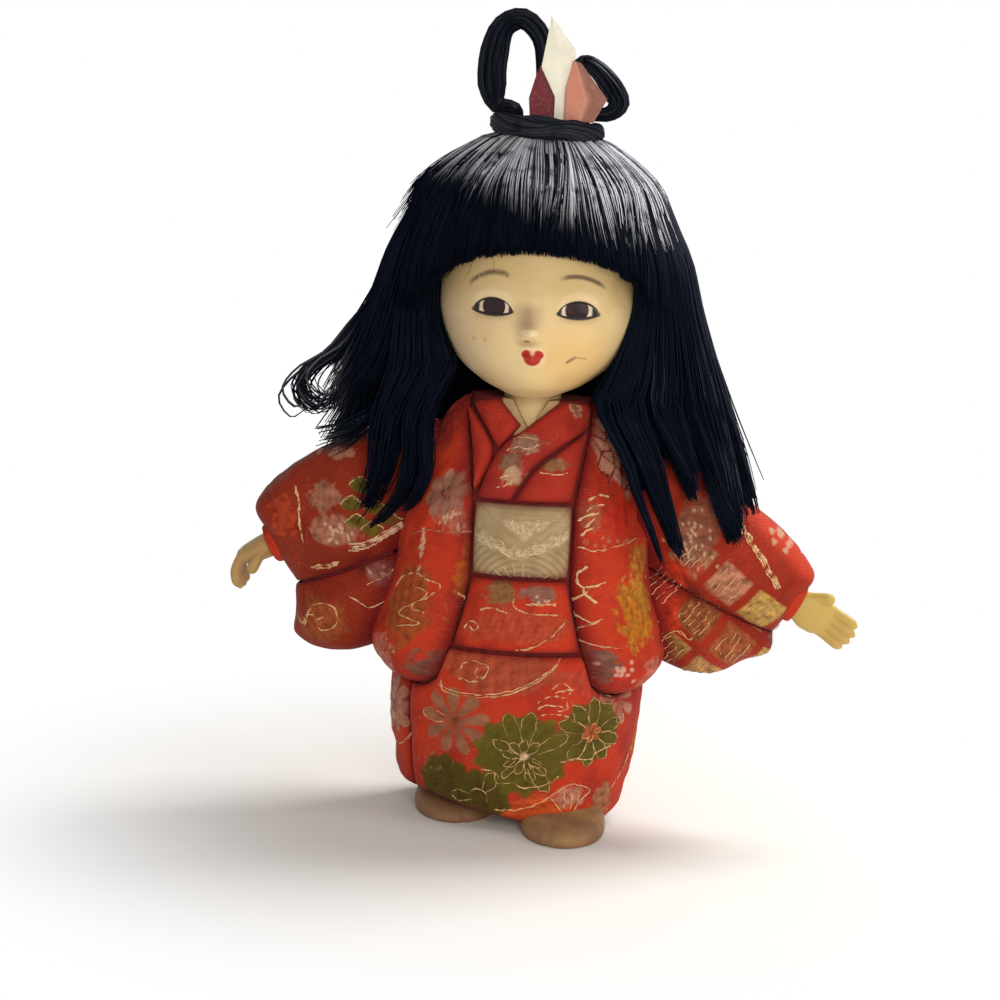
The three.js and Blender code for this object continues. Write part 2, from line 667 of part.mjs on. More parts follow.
// A sleeve is a flat padded form. Its outline is drawn round a centre on the seam between the
// jacket sleeve above and the hanging kimono sleeve below.
function sleeveForm({ sign, shape }) {
  const tip = [shape.tipReach, obiTopZ - shape.tipDrop];
  const cuffFoot = [shape.tipReach - 0.5 * shape.cuffLength, tip[1] - 0.87 * shape.cuffLength];
  const seamRoot = [sleeveRoot, obiTopZ - sleeveSeamDrop];
  const centre = [mix(seamRoot[0], cuffFoot[0], 0.5), mix(seamRoot[1], cuffFoot[1], 0.5)];
  const bagZ = obiTopZ - sleeveBagDrop;
  const outline = [
    cuffFoot,
    [mix(tip[0], cuffFoot[0], 0.45), mix(tip[1], cuffFoot[1], 0.45)],
    tip,
    [mix(tip[0], sleeveRoot, 0.3), mix(tip[1], obiTopZ + shape.topRise, 0.58)],
    [mix(tip[0], sleeveRoot, 0.66), obiTopZ + 0.9 * shape.topRise],
    [sleeveRoot, obiTopZ + shape.topRise],
    seamRoot,
    [sleeveRoot + 6, mix(seamRoot[1], bagZ, 0.62)],
    [mix(sleeveRoot, sleeveBagReach, 0.6), bagZ + 2],
    [sleeveBagReach, bagZ],
    [sleeveBagReach + 10, bagZ + 4],
    [cuffFoot[0] - 1, mix(cuffFoot[1], bagZ, 0.42)],
  ];
  const curve = new THREE.CatmullRomCurve3(outline.map(([x, z]) => point(x, 0, z)), true, "centripetal");
  const steps = outline.length;
  const rim = (t) => curve.getPoint((((t % steps) + steps) % steps) / steps);
  // The share of its depth that the sleeve keeps: it thins along its seam, so that its two halves
  // swell apart, and beside the body below the arm.
  const seamWay = point(cuffFoot[0] - seamRoot[0], 0, cuffFoot[1] - seamRoot[1]).normalize();
  const kept = (x, z) => {
    const fromSeam = (x - centre[0]) * seamWay.z - (z - centre[1]) * seamWay.x;
    const beside = 1 - THREE.MathUtils.smoothstep(x, sleeveRoot + 9, sleeveRoot + 9 + sleeveRootSpread);
    const below = THREE.MathUtils.smoothstep(armZ - 2 - z, 0, 14);
    const seam = sleeveSeamThinning * Math.exp(-((fromSeam / sleeveSeamSpread) ** 2));
    return (1 - seam) * (1 - sleeveRootThinning * beside * below);
  };
  // The point at rim position t, a share of the way out from the centre, on the front or back face.
  const at = (t, share, face, rise = 0) => {
    const edge = rim(t);
    const out = point(edge.x - centre[0], 0, edge.z - centre[1]);
    const reach = out.length();
    const bulge = Math.sqrt(Math.max(0, 1 - share ** 2.6));
    const radial = out.normalize().multiplyScalar(share * (reach + rise));
    const [x, z] = [centre[0] + radial.x, centre[1] + radial.z];
    const depth = face * (sleeveHalfDepth * kept(x, z) + rise) * bulge;
    return point(sign * x, depth, z);
  };
  return { at, rim, steps, centre, tip, cuffFoot, seamRim: 6, topRim: 0 };
}

const sleeveShares = [0.03, 0.4, 0.74, 0.95];
const rimSamples = 1.5; // points on the rim for each point of its outline
// The whole padded form as one solid, front and back faces meeting at the rim.
function sleeveSolid(form, rise) {
  const back = [...sleeveShares].reverse().map((share) => [share, 1]);
  const faces = [...sleeveShares.map((share) => [share, -1]), [1, 1], ...back];
  const around = rimSamples * form.steps;
  return stack(around, faces.length, (i, j) => form.at(i / rimSamples, faces[j][0], faces[j][1], rise));
}

// One cloth panel of a sleeve: rim positions from and to bound it, and its straight edge is the seam.
function sleevePanel(form, from, to, face) {
  const rows = [...sleeveShares, 0.995];
  const columns = rimSamples * (to - from);
  const half = seamGap / 2;
  const sheet = (lift) => (u, v) => {
    const t = mix(from + 0.04, to - 0.04, u);
    const share = rows[Math.round(v * (rows.length - 1))];
    const edge = form.rim(t);
    const reach = Math.hypot(edge.x - form.centre[0], edge.z - form.centre[1]) * share;
    const toSeam = Math.min(Math.abs(angleTo(form, t, from)), Math.abs(angleTo(form, t, to)));
    const distance = reach * Math.sin(Math.min(toSeam, Math.PI / 2));
    const full = roll(distance, clothRoll) * roll((1 - share) * 30 + 1.2, clothRoll);
    const thickness = lift * (clothEdge + (sleevePadding - clothEdge) * full);
    const spot = form.at(t, share, face, seatGap + thickness);
    const away = from === form.topRim ? 1 : -1;
    return spot.setZ(spot.z + away * half);
  };
  return slab(columns, rows.length - 1, sheet(1), sheet(0));
}
// The angle at the sleeve's centre between two rim positions.
function angleTo(form, a, b) {
  const [p, q] = [form.rim(a), form.rim(b)];
  const angle = (e) => Math.atan2(e.z - form.centre[1], e.x - form.centre[0]);
  return Math.atan2(Math.sin(angle(p) - angle(q)), Math.cos(angle(p) - angle(q)));
}

// Hands: a wrist, a palm and five fingers round the wrist's axis. thumbSide is 1 or -1.
function handSolid(curl, place, thumbSide) {
  // A finger is a six-sided tube along its bones, narrowing to a round tip.
  const finger = (bones, radius) => {
    const path = new THREE.CatmullRomCurve3(bones);
    const girth = [1.1, 1.1, 0.95, 0.5];
    return stack(5, girth.length, (i, j) => {
      const t = Math.min(1, (j / (girth.length - 1)) * 1.08);
      const ahead = path.getTangent(t);
      const side = point(0, 1, 0).cross(ahead).normalize();
      const up = ahead.clone().cross(side);
      const turn = (2 * Math.PI * i) / 5;
      return path
        .getPoint(t)
        .addScaledVector(side, radius * girth[j] * Math.cos(turn))
        .addScaledVector(up, radius * girth[j] * Math.sin(turn))
        .applyMatrix4(place);
    });
  };
  const placed = (x, y, z) => point(x, y, z).applyMatrix4(place);
  const palm = new THREE.SphereGeometry(1, 10, 6);
  palm.scale(palmLength / 2 + 1.5, palmHalfWidth, palmHalfThickness);
  let solid = bar(placed(0, 0, 0), placed(wristLength + 1, 0, 0), wristRadius, 12);
  solid = solid.add(solidOf(palm.translate(wristLength + palmLength / 2, 0, 0).applyMatrix4(place)));
  const knuckle = wristLength + palmLength - 0.8;
  for (let k = 0; k < 4; k += 1) {
    const y = thumbSide * mix(palmHalfWidth, -palmHalfWidth, (k + 0.5) / 4) * 0.86;
    const length = fingerLength * (1 - 0.09 * Math.abs(k - 1.4));
    const bend = curl * (1 + 0.06 * k);
    const reach = (share, turn) => point(share * length * Math.cos(turn), 0, -share * length * Math.sin(turn));
    const joint = point(knuckle, y, 0).add(reach(0.45, bend * 0.5));
    const tip = joint.clone().add(reach(0.55, bend));
    solid = solid.add(finger([point(knuckle - 1, y * 0.9, 0), joint, tip], fingerRadius));
  }
  const thumbRoot = point(wristLength + 2, thumbSide * palmHalfWidth * 0.6, -0.4);
  const thumbTip = thumbRoot.clone().setY(thumbSide * (palmHalfWidth + 1.4));
  thumbTip.add(point(0.6 * fingerLength, 0, -0.2 - 4.5 * Math.sin(curl)));
  return solid.add(finger([thumbRoot, thumbRoot.clone().lerp(thumbTip, 0.5), thumbTip], fingerRadius * 1.15));
}

// Sleeves, arm dowels, cuff rings, hands and wrist pins
const sleeveShells = [];
for (const side of sides) {
  const { name, sign, handPose } = side;
  const form = sleeveForm(side);
  const cuff = form.rim(1);
  const dip = wristDip * degrees;
  const wristAxis = point(sign * Math.cos(dip), 0, -Math.sin(dip));
  const cuffMouth = point(sign * cuff.x, 0, cuff.z).addScaledVector(wristAxis, sleevePadding);
  const handRoot = cuffMouth.clone().addScaledVector(wristAxis, -wristLength);
  const along = (root, distance) => root.clone().addScaledVector(wristAxis, distance);

  const ringRadius = wristRadius + turnGap + cuffRingWall;
  const wristHole = bar(along(handRoot, -turnGap), along(cuffMouth, 20), ringRadius + seatGap, 16);
  const pinHole = bar(along(handRoot, -pinLength / 2 - 1), along(handRoot, 1), pinRadius + turnGap, 12);
  const stubEnd = core.value("w", armZ) + seatGap;
  const stub = bar(point(sign * stubEnd, 0, armZ), point(sign * (stubEnd + 16), 0, armZ), armStubRadius, 16);
  const dowelFrom = point(sign * (chestHalfWidth - dowelLength / 2), 0, armZ);
  const dowelTo = point(sign * (chestHalfWidth + dowelLength / 2), 0, armZ);
  const dowelEnd = dowelTo.clone().setX(dowelTo.x + sign);
  const dowelHole = bar(dowelFrom, dowelEnd, dowelRadius + seatGap);

  const sleeveCore = sleeveSolid(form, -3 * facetRelief).subtract(jacketShell).add(stub);
  add(`sleeve_core_${name}`, sleeveCore.subtract(wristHole).subtract(pinHole).subtract(dowelHole), woodPaste);
  add(`shoulder_dowel_${name}`, bar(dowelFrom, dowelTo, dowelRadius), bareWood);

  const top = [form.topRim, form.seamRim];
  const bag = [form.seamRim, form.steps];
  for (const [face, word] of [[-1, "front"], [1, "back"]]) {
    const upper = sleevePanel(form, ...top, face).subtract(jacketShell).subtract(wristHole);
    const lower = sleevePanel(form, ...bag, face).subtract(jacketShell).subtract(wristHole);
    add(`haori_sleeve_${word}_${name}`, upper, face < 0 ? brocade : brocadeDeep);
    add(`kimono_sleeve_${word}_${name}`, lower, brocadeDeep);
  }
  sleeveShells.push(sleeveSolid(form, seatGap + sleevePadding + seatGap));

  const ringStart = along(cuffMouth, -cuffRingLength);
  const ringHole = bar(along(ringStart, -1), along(cuffMouth, 1), wristRadius + turnGap, 16);
  add(`cuff_ring_${name}`, bar(ringStart, cuffMouth, ringRadius, 16).subtract(ringHole), brocadeDeep);

  const across = point(0, sign, 0).applyAxisAngle(wristAxis, handPose.roll * degrees);
  const turned = new THREE.Matrix4().makeBasis(wristAxis, across, wristAxis.clone().cross(across));
  turned.setPosition(handRoot);
  const hand = handSolid(handPose.curl, turned, -sign);
  const pinFrom = along(handRoot, -pinLength / 2);
  const pinTo = along(handRoot, pinLength / 2);
  const pinSocket = bar(pinFrom, along(pinTo, seatGap), pinRadius + seatGap, 12);
  add(`hand_${name}`, hand.subtract(pinSocket), shellWhite);
  add(`wrist_pin_${name}`, bar(pinFrom, pinTo, pinRadius, 12), wire);
}

// Head: an egg with the face in relief, on a neck that turns in the core
const headLevel = (share) => chinZ + share * headHeight;
const headStation = (share, width, front, back) => ({
  z: headLevel(share),
  w: width * faceHalfWidth,
  f: front * faceHalfDepth,
  b: back * headBackDepth,
});
const head = loftOf([
  headStation(0, 0.3, 0.62, 0.3),
  headStation(0.05, 0.52, 0.8, 0.45),
  headStation(0.16, 0.8, 0.95, 0.66),
  headStation(0.34, 0.98, 1, 0.9),
  headStation(0.52, 1, 0.99, 1),
  headStation(0.72, 0.95, 0.96, 0.99),
  headStation(0.88, 0.74, 0.76, 0.8),
  headStation(0.97, 0.4, 0.4, 0.42),
  headStation(1, 0.12, 0.12, 0.12),
]);
const eyeZ = headLevel(0.4);
const noseZ = headLevel(0.3);
const mouthZ = headLevel(0.2);
const bump = (x, z, wide, tall) => Math.exp(-((x / wide) ** 2) - (z / tall) ** 2);
function faceRise(x, z) {
  const bridge = 0.4 * bump(x, z - mix(noseZ, eyeZ, 0.8), 2.4, 6);
  const tip = noseHeight * bump(x, z - noseZ, 2.6, 3);
  const lips = 1.1 * bump(x, z - mouthZ, 3.6, 2.2);
  const cheeks = 0.9 * (bump(x - 15, z - noseZ + 3, 8, 9) + bump(x + 15, z - noseZ + 3, 8, 9));
  const socket = (away) => 1.3 * bump(away, z - eyeZ - 1, 7, 4.4);
  const sockets = socket(x - eyeSpacing / 2) + socket(x + eyeSpacing / 2);
  const chin = 0.8 * bump(x, z - headLevel(0.08), 5, 3.5);
  return bridge + tip + lips + cheeks + chin - sockets;
}
function headPoint(turn, z, rise = 0) {
  const bare = head.at(turn, z);
  return head.at(turn, z, rise + (Math.cos(turn) > 0 ? faceRise(bare.x, z) : 0));
}
function headSolid(rise) {
  const around = 28;
  const levels = [0, 0.03, 0.08, 0.15, 0.2, 0.25, 0.3, 0.35, 0.42, 0.52, 0.66, 0.8, 0.91, 0.97, 1];
  // Points are drawn together on the face, where the relief is.
  return stack(around, levels.length, (i, j) => {
    const t = (2 * Math.PI * i) / around;
    return headPoint(t - 0.5 * Math.sin(t), headLevel(levels[j]), rise);
  });
}
function eyeSolid(sign, grow) {
  const x = (sign * eyeSpacing) / 2;
  const surface = headPoint(head.turnAt(x, eyeZ), eyeZ);
  const ball = new THREE.SphereGeometry(1, 10, 6);
  ball.scale(eyeHalfWidth + grow, eyeHalfDepth + grow, eyeHalfHeight + grow);
  ball.rotateZ(Math.atan2(x, faceHalfDepth) * 0.75);
  return solidOf(ball.translate(x, surface.y + 0.55 * eyeHalfDepth, eyeZ));
}
let headPiece = headSolid(0).add(neckSolid(0));
for (const { name, sign } of sides) {
  headPiece = headPiece.subtract(eyeSolid(sign, seatGap));
  add(`eye_${name}`, eyeSolid(sign, 0), glassEye);
}
const pegHigh = pegTop.clone().setZ(pegTop.z + neckPegLength / 2);
const pegSocketTop = pegHigh.clone().setZ(pegHigh.z + seatGap);
headPiece = headPiece.subtract(bar(pegFoot, pegSocketTop, neckPegRadius + seatGap));
add("head", headPiece, shellWhite);
add("neck_peg", bar(pegFoot, pegHigh, neckPegRadius), bareWood);

// Hair: a bell of hanging hair outside the head
const hairStation = (z, w, f, b) => ({ z, w, f, b });
// A station on the head: shares of the head's half width and half depths, let out by the hair.
const overHead = (share, [wide, widthRise], [front, frontRise], [back, backRise]) =>
  hairStation(
    headLevel(share),
    wide * faceHalfWidth + widthRise,
    front * faceHalfDepth + frontRise,
    back * headBackDepth + backRise,
  );
const tipZ = chinZ - hairBackDrop;
const hair = loftOf([
  hairStation(tipZ - 10, hairTipReach + 3, hairFrontDepth + 2, hairBackDepth + 1),
  hairStation(chinZ - 20, 0.94 * hairTipReach, hairFrontDepth, hairBackDepth),
  hairStation(chinZ, 0.84 * hairTipReach, hairFrontDepth - 2, hairBackDepth - 2),
  overHead(0.4, [1, hairSideRise + 2.5], [1, 5], [1, 9]),
  overHead(0.62, [1, hairSideRise - 1.5], [1, 6], [1, 9]),
  overHead(0.8, [0.84, hairSideRise - 2.5], [0.84, 8], [0.85, 9]),
  overHead(0.94, [0.55, hairSideRise + 1.5], [0.55, 11], [0.55, 13]),
  hairStation(mix(headTopZ, crownZ, 0.3), knotHalfWidth + 14, knotHalfDepth + 8, knotHalfDepth + 10),
  hairStation(crownZ, knotHalfWidth + 5.5, knotHalfDepth + 1.5, knotHalfDepth + 1.5),
]);
const headShell = headSolid(seatGap);
const neckShell = neckSolid(turnGap);
const collarLevels = [throatZ, mix(throatZ, collarZ, 0.5), collarZ];
const collarShell = core.solid(20, collarLevels, seatGap + clothEdge + clothCrown + seatGap);
const keepOut = [headShell, neckShell, jacketShell, collarShell, ...sleeveShells];
const bodyAndHead = keepOut.reduce((sum, solid) => sum.add(solid));

// A hank of hair between two turns, from its lower edge up to its top, cut back from what it lies on.
function hank({ from, to, low, top, columns, rows, thickness }) {
  const spot = (u, v) => {
    const turn = mix(from(v), to(v), u);
    return { turn, z: mix(low(turn), top, v) };
  };
  const outer = (u, v) => {
    const s = spot(u, v);
    return hair.at(s.turn, s.z);
  };
  const inner = (u, v) => {
    const s = spot(u, v);
    return hair.at(s.turn, s.z, -thickness(v));
  };
  return slab(columns, rows, outer, inner).subtract(bodyAndHead);
}
const hairSeam = seamGap / 2 / faceHalfDepth;
const bangsTurn = 57 * degrees;
const backTurn = 118 * degrees;
const capZ = headLevel(0.86);
const bangsLow = (turn) => chinZ + bangsLift - bangsSideDrop * (turn / bangsTurn) ** 2;
add(
  "wig_bangs",
  hank({
    from: () => -bangsTurn + hairSeam,
    to: () => bangsTurn - hairSeam,
    low: bangsLow,
    top: capZ - seamGap / 2,
    columns: 12,
    rows: 3,
    thickness: () => bangsThickness,
  }),
  hairBlack,
);
for (const { name, sign } of sides) {
  // The front edge of the side hair swings forward below the chin, over the front of the shoulder.
  const frontTurn = (v) => mix(hairFrontTurn * degrees, bangsTurn, clamp01(v * 1.7));
  const swept = name === "right" ? hairSweep : 0;
  const tipLow = (turn) => {
    const across = (Math.abs(turn) / degrees - hairFrontTurn) / (75 - hairFrontTurn);
    const notch = 2 * (1 - Math.cos(4 * Math.PI * clamp01(across)));
    const behind = swept * clamp01((across - 0.3) / 0.25);
    return chinZ - hairTipDrop - 12 + 13 * clamp01(across) + notch + behind + 6 * clamp01(across - 1);
  };
  add(
    `wig_side_${name}`,
    hank({
      from: (v) => sign * (frontTurn(v) + hairSeam),
      to: () => sign * (backTurn - hairSeam),
      low: tipLow,
      top: capZ - seamGap / 2,
      columns: 8,
      rows: 7,
      // Thin at the tips, and full beside the neck and the head.
      thickness: (v) => mix(hairCurtain, hairSideRise + 9, clamp01(v * 3)),
    }),
    hairBlack,
  );
}
add(
  "wig_back",
  hank({
    from: () => backTurn + hairSeam,
    to: () => 2 * Math.PI - backTurn - hairSeam,
    low: () => tipZ,
    top: capZ - seamGap / 2,
    columns: 10,
    rows: 7,
    thickness: (v) => mix(hairCurtain - 3, hairCurtain, clamp01(v * 2)),
  }),
  hairBlack,
);
const capLevels = [capZ + seamGap / 2, mix(capZ, headTopZ, 0.5), headTopZ];
capLevels.push(mix(headTopZ, crownZ, 0.5), crownZ);
add("wig_crown", hair.solid(24, capLevels).subtract(headShell), hairBlack);

// Topknot: a mound of hair, the cord that ties it, two loops and three folded papers
const knotZ = crownZ + seatGap;
const knotTopZ = knotZ + knotHeight;
const knotShape = [[0, 0], [0.86, 0], [0.86, 0.9], [0.78, 1], [0, 1]];
const knot = lathe(knotShape, 16).scale([knotHalfWidth, knotHalfDepth, knotHeight]);
add("topknot_stem", knot.translate([0, 0, knotZ]), hairBlack);
const tieWaist = 0.86;
const tieCurve = new THREE.CatmullRomCurve3(
  Array.from({ length: 16 }, (_, i) => {
    const turn = (2 * Math.PI * i) / 16;
    const grow = tieRadius + seatGap;
    const [wide, deep] = [tieWaist * knotHalfWidth + grow, tieWaist * knotHalfDepth + grow];
    return point(wide * Math.sin(turn), deep * Math.cos(turn), 0);
  }),
  true,
);
const tie = new THREE.TubeGeometry(tieCurve, 20, tieRadius, 6, true);
tie.rotateY(tieTilt * degrees);
add("topknot_tie", solidOf(tie.translate(0, 0, knotZ + 0.63 * knotHeight)), tieCord);

// A hair loop: a flat band of hair carried round a curve that stands on the knot.
// Each stop on the curve is [x, height as a share of the loop's height, half width of the band].
function hairLoop(height, stops) {
  const lift = knotTopZ + seatGap;
  const curve = new THREE.CatmullRomCurve3(stops.map(([x, share]) => point(x, 0, lift + share * height)));
  const widths = new THREE.CatmullRomCurve3(stops.map(([, , half]) => point(half, 0, 0)));
  const steps = 18;
  const frames = 7;
  const across = point(0, 1, 0);
  return stack(frames, steps + 1, (i, j) => {
    const t = j / steps;
    const out = curve.getTangent(t).cross(across).normalize();
    const turn = (2 * Math.PI * i) / frames;
    return curve
      .getPoint(t)
      .addScaledVector(out, widths.getPoint(t).x * Math.cos(turn))
      .addScaledVector(across, loopHalfDepth * Math.sin(turn));
  });
}
const smallLoop = [[6.5, 0, 1.8], [6.5, 0.3, 1.8], [7, 0.66, 1.8], [9.5, 0.86, 2], [13, 0.8, 2.4]];
smallLoop.push([18, 0.54, 3.2], [20.4, 0.3, 3.2], [18, 0.15, 2.2], [11.5, 0.1, 1.6], [10.5, 0, 1.6]);
add("hair_loop_left", hairLoop(leftLoopHeight, smallLoop), hairBlack);
const largeLoop = [[-1.6, 0, 2.2], [-1.6, 0.12, 2.2], [-1.6, 0.45, 2.4], [-3, 0.74, 2.8], [-8.5, 0.9, 3]];
largeLoop.push([-14, 0.83, 3.4], [-16.5, 0.6, 4.2], [-16.8, 0.3, 4.2], [-14.8, 0.12, 2.6]);
largeLoop.push([-9.6, 0.09, 1.9], [-9, 0, 1.9]);
add("hair_loop_right", hairLoop(rightLoopHeight, largeLoop), hairBlack);

// Folded papers stand in front of the loops, each one a sheet of its own.
function foldedPaper(corners, layer) {
  const outline = new THREE.Shape(corners.map(([x, share]) => new THREE.Vector2(x, share * paperHeight)));
  const sheet = new THREE.ExtrudeGeometry(outline, { depth: paperThickness, bevelEnabled: false });
  sheet.rotateX(Math.PI / 2);
  const y = -loopHalfDepth - seatGap - layer * (paperThickness + seatGap);
  return solidOf(sheet.translate(0, y, knotTopZ + seatGap));
}
const crimsonSheet = [[-5, 0], [4, 0], [4, 0.16], [-2.8, 0.5], [-3.6, 0.44], [-5.6, 0.2]];
const creamSheet = [[2, 0], [5.6, 0], [5.6, 0.33], [7.6, 0.645], [4.3, 0.78], [-0.1, 0.97]];
creamSheet.push([-2.4, 0.487], [2, 0.22]);
const pinkSheet = [[5, 0], [13.5, 0], [17.2, 0.22], [9.1, 0.54], [6.8, 0.56], [5, 0.3]];
add("paper_crimson", foldedPaper(crimsonSheet, 0), crimsonPaper);
add("paper_cream", foldedPaper(creamSheet, 1), creamPaper);
add("paper_pink", foldedPaper(pinkSheet, 2), pinkPaper);

// The middle of the doll's footprint is brought to the origin.
const extent = new THREE.Box3().setFromObject(doll, true);
doll.position.set(-(extent.min.x + extent.max.x) / 2, -(extent.min.y + extent.max.y) / 2, 0);

export default doll;
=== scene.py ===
"""Looks of a kimekomi doll: padded brocade, shell-white face and hands, silk hair and folded papers.

Shapes are worked out in millimetres about the doll's upright axis, with the soles at height 0.
The doll faces -Y and its own left side is +X.
"""

import json
import math

import bmesh
import bpy
import numpy as np
from bpy.props import FloatProperty, FloatVectorProperty, IntProperty, PointerProperty
from mathutils import Matrix, Vector


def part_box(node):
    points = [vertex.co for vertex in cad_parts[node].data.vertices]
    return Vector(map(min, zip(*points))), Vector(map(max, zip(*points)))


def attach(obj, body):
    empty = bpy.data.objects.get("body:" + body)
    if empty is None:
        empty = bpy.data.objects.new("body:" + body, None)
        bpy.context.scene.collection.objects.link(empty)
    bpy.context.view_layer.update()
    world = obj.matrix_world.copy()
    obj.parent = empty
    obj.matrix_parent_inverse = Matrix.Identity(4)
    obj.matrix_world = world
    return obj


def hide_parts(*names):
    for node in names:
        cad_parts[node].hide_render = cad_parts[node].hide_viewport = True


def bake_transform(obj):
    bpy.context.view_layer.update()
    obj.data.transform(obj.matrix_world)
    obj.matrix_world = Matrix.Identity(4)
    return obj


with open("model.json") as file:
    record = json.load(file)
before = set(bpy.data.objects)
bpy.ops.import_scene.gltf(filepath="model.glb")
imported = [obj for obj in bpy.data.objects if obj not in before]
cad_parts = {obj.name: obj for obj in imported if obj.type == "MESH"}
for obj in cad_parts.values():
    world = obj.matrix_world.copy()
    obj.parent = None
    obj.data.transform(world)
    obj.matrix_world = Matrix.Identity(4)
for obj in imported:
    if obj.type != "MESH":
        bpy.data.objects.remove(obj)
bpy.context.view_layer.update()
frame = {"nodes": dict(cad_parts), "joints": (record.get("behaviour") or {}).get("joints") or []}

bl_info = {
    "name": "Kimekomi doll", "version": (1, 0, 0), "blender": (4, 5, 0),
    "location": "View3D > Sidebar > Doll", "description": "Dresses the packed frame of a kimekomi doll",
    "category": "Object",
}

MM = 0.001
DEGREE = math.pi / 180
TURN = 2 * math.pi
BODY = "doll_body"
HEAD = "head_unit"
NECK_JOINT = next(joint for joint in frame["joints"] if joint["name"] == "head_turn")
AXIS = np.array(NECK_JOINT["pos_m"]) * (1, 1, 0)
SIDES = (("right", -1), ("left", 1))


# Measures shared with the frame

def level(node, end):
    """Height in millimetres of a node's lowest (0) or highest (1) corner."""
    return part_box(node)[end].z / MM


SEAM = 0.9
SEAT = 0.4
TUCK = 0.35
CLOTH_EDGE = 1.0
CLOTH_ROLL = 7.0
HEM_Z = level("torso_core", 0)
COLLAR_Z = level("torso_core", 1)
FOLD_Z = level("waist_fold", 0) - SEAM / 2
OBI_Z = (level("waist_fold", 1) + level("obi_front", 0)) / 2
OBI_TOP_Z = (level("obi_front", 1) + level("kimono_bodice_left", 0)) / 2
HIP_Z = HEM_Z + 0.66 * (FOLD_Z - HEM_Z)
THROAT_Z = OBI_TOP_Z + 21
SHOULDER_Z = THROAT_Z - 7
JACKET_HEM_Z = HIP_Z + 11
JACKET_FRONT_Z = JACKET_HEM_Z - 3
JACKET_TOP_Z = THROAT_Z + 2
JACKET_FRONT_TOP_Z = COLLAR_Z - 0.5
HEAD_TOP_Z = level("head", 1)
HEAD_HEIGHT = 65.0
CHIN_Z = HEAD_TOP_Z - HEAD_HEIGHT
CROWN_Z = level("wig_crown", 1)
KNOT_Z = level("topknot_stem", 0)
KNOT_TOP_Z = level("topknot_stem", 1)
EYE_Z = CHIN_Z + 0.4 * HEAD_HEIGHT
NOSE_Z = CHIN_Z + 0.3 * HEAD_HEIGHT
MOUTH_Z = CHIN_Z + 0.2 * HEAD_HEIGHT
FACE_WIDTH = 29.4
FACE_DEPTH = 31.0


def mix(a, b, share):
    """Straight blend from a to b."""
    return a + (b - a) * share


def ease(t):
    """Smooth step from 0 to 1: 3t squared less 2t cubed, held outside."""
    t = np.clip(t, 0, 1)
    return t * t * (3 - 2 * t)


def unit(vectors):
    """Vectors divided by their lengths."""
    return vectors / np.maximum(np.linalg.norm(vectors, axis=-1, keepdims=True), 1e-9)


def circle(count):
    """Angles of so many even steps round a circle."""
    return np.linspace(0, TURN, count + 1)[:-1]


def crowd(t):
    """Grid lines drawn together near both ends."""
    return t - 0.1 * np.sin(TURN * t)


def roll(distance, width):
    """Quarter circle from 0 at an edge to 1 at width inside it."""
    return np.sqrt(1 - (1 - np.clip(distance / width, 0, 1)) ** 2)


def crumple(a, b, seed, size, waves=7):
    """Sum of sine waves of seeded direction, length near size, and phase, from about -1 to 1."""
    rng = np.random.default_rng(seed)
    total = np.zeros(np.broadcast(a, b).shape)
    for _ in range(waves):
        way, phase = rng.uniform(0, TURN, 2)
        length = size * rng.uniform(0.6, 1.7)
        total += np.sin((a * math.cos(way) + b * math.sin(way)) * TURN / length + phase)
    return total / math.sqrt(2 * waves)


def through(points, t, closed=False, even=False):
    """Smooth curve through points at positions t counted in points.

    Each piece is a cubic whose end slopes come from the neighbours, spaced by the square root of
    their distances, or evenly.
    """
    points = np.asarray(points, float)
    count = len(points)
    t = np.asarray(t, float)
    if closed:
        start = np.floor(t).astype(int)
        corners = [points[(start + k) % count] for k in (-1, 0, 1, 2)]
    else:
        start = np.clip(np.floor(t).astype(int), 0, count - 2)
        if even:
            ends = [points[:1], points[-1:]]
        else:
            ends = [2 * points[:1] - points[1:2], 2 * points[-1:] - points[-2:-1]]
        padded = np.concatenate([ends[0], points, ends[1]])
        corners = [padded[start + k] for k in range(4)]
    share = (t - start)[..., None]
    steps = [np.ones_like(share)] * 3
    if not even:
        gaps = [np.linalg.norm(corners[k + 1] - corners[k], axis=-1, keepdims=True) for k in range(3)]
        steps = [np.sqrt(np.maximum(gap, 1e-4)) for gap in gaps]
    before, here, after = steps
    first, second, third, fourth = corners
    leave = (second - first) / before - (third - first) / (before + here) + (third - second) / here
    arrive = (third - second) / here - (fourth - second) / (here + after) + (fourth - third) / after
    leave, arrive = leave * here, arrive * here
    bend = 3 * (third - second) - 2 * leave - arrive
    twist = 2 * (second - third) + leave + arrive
    return second + share * (leave + share * (bend + share * twist))


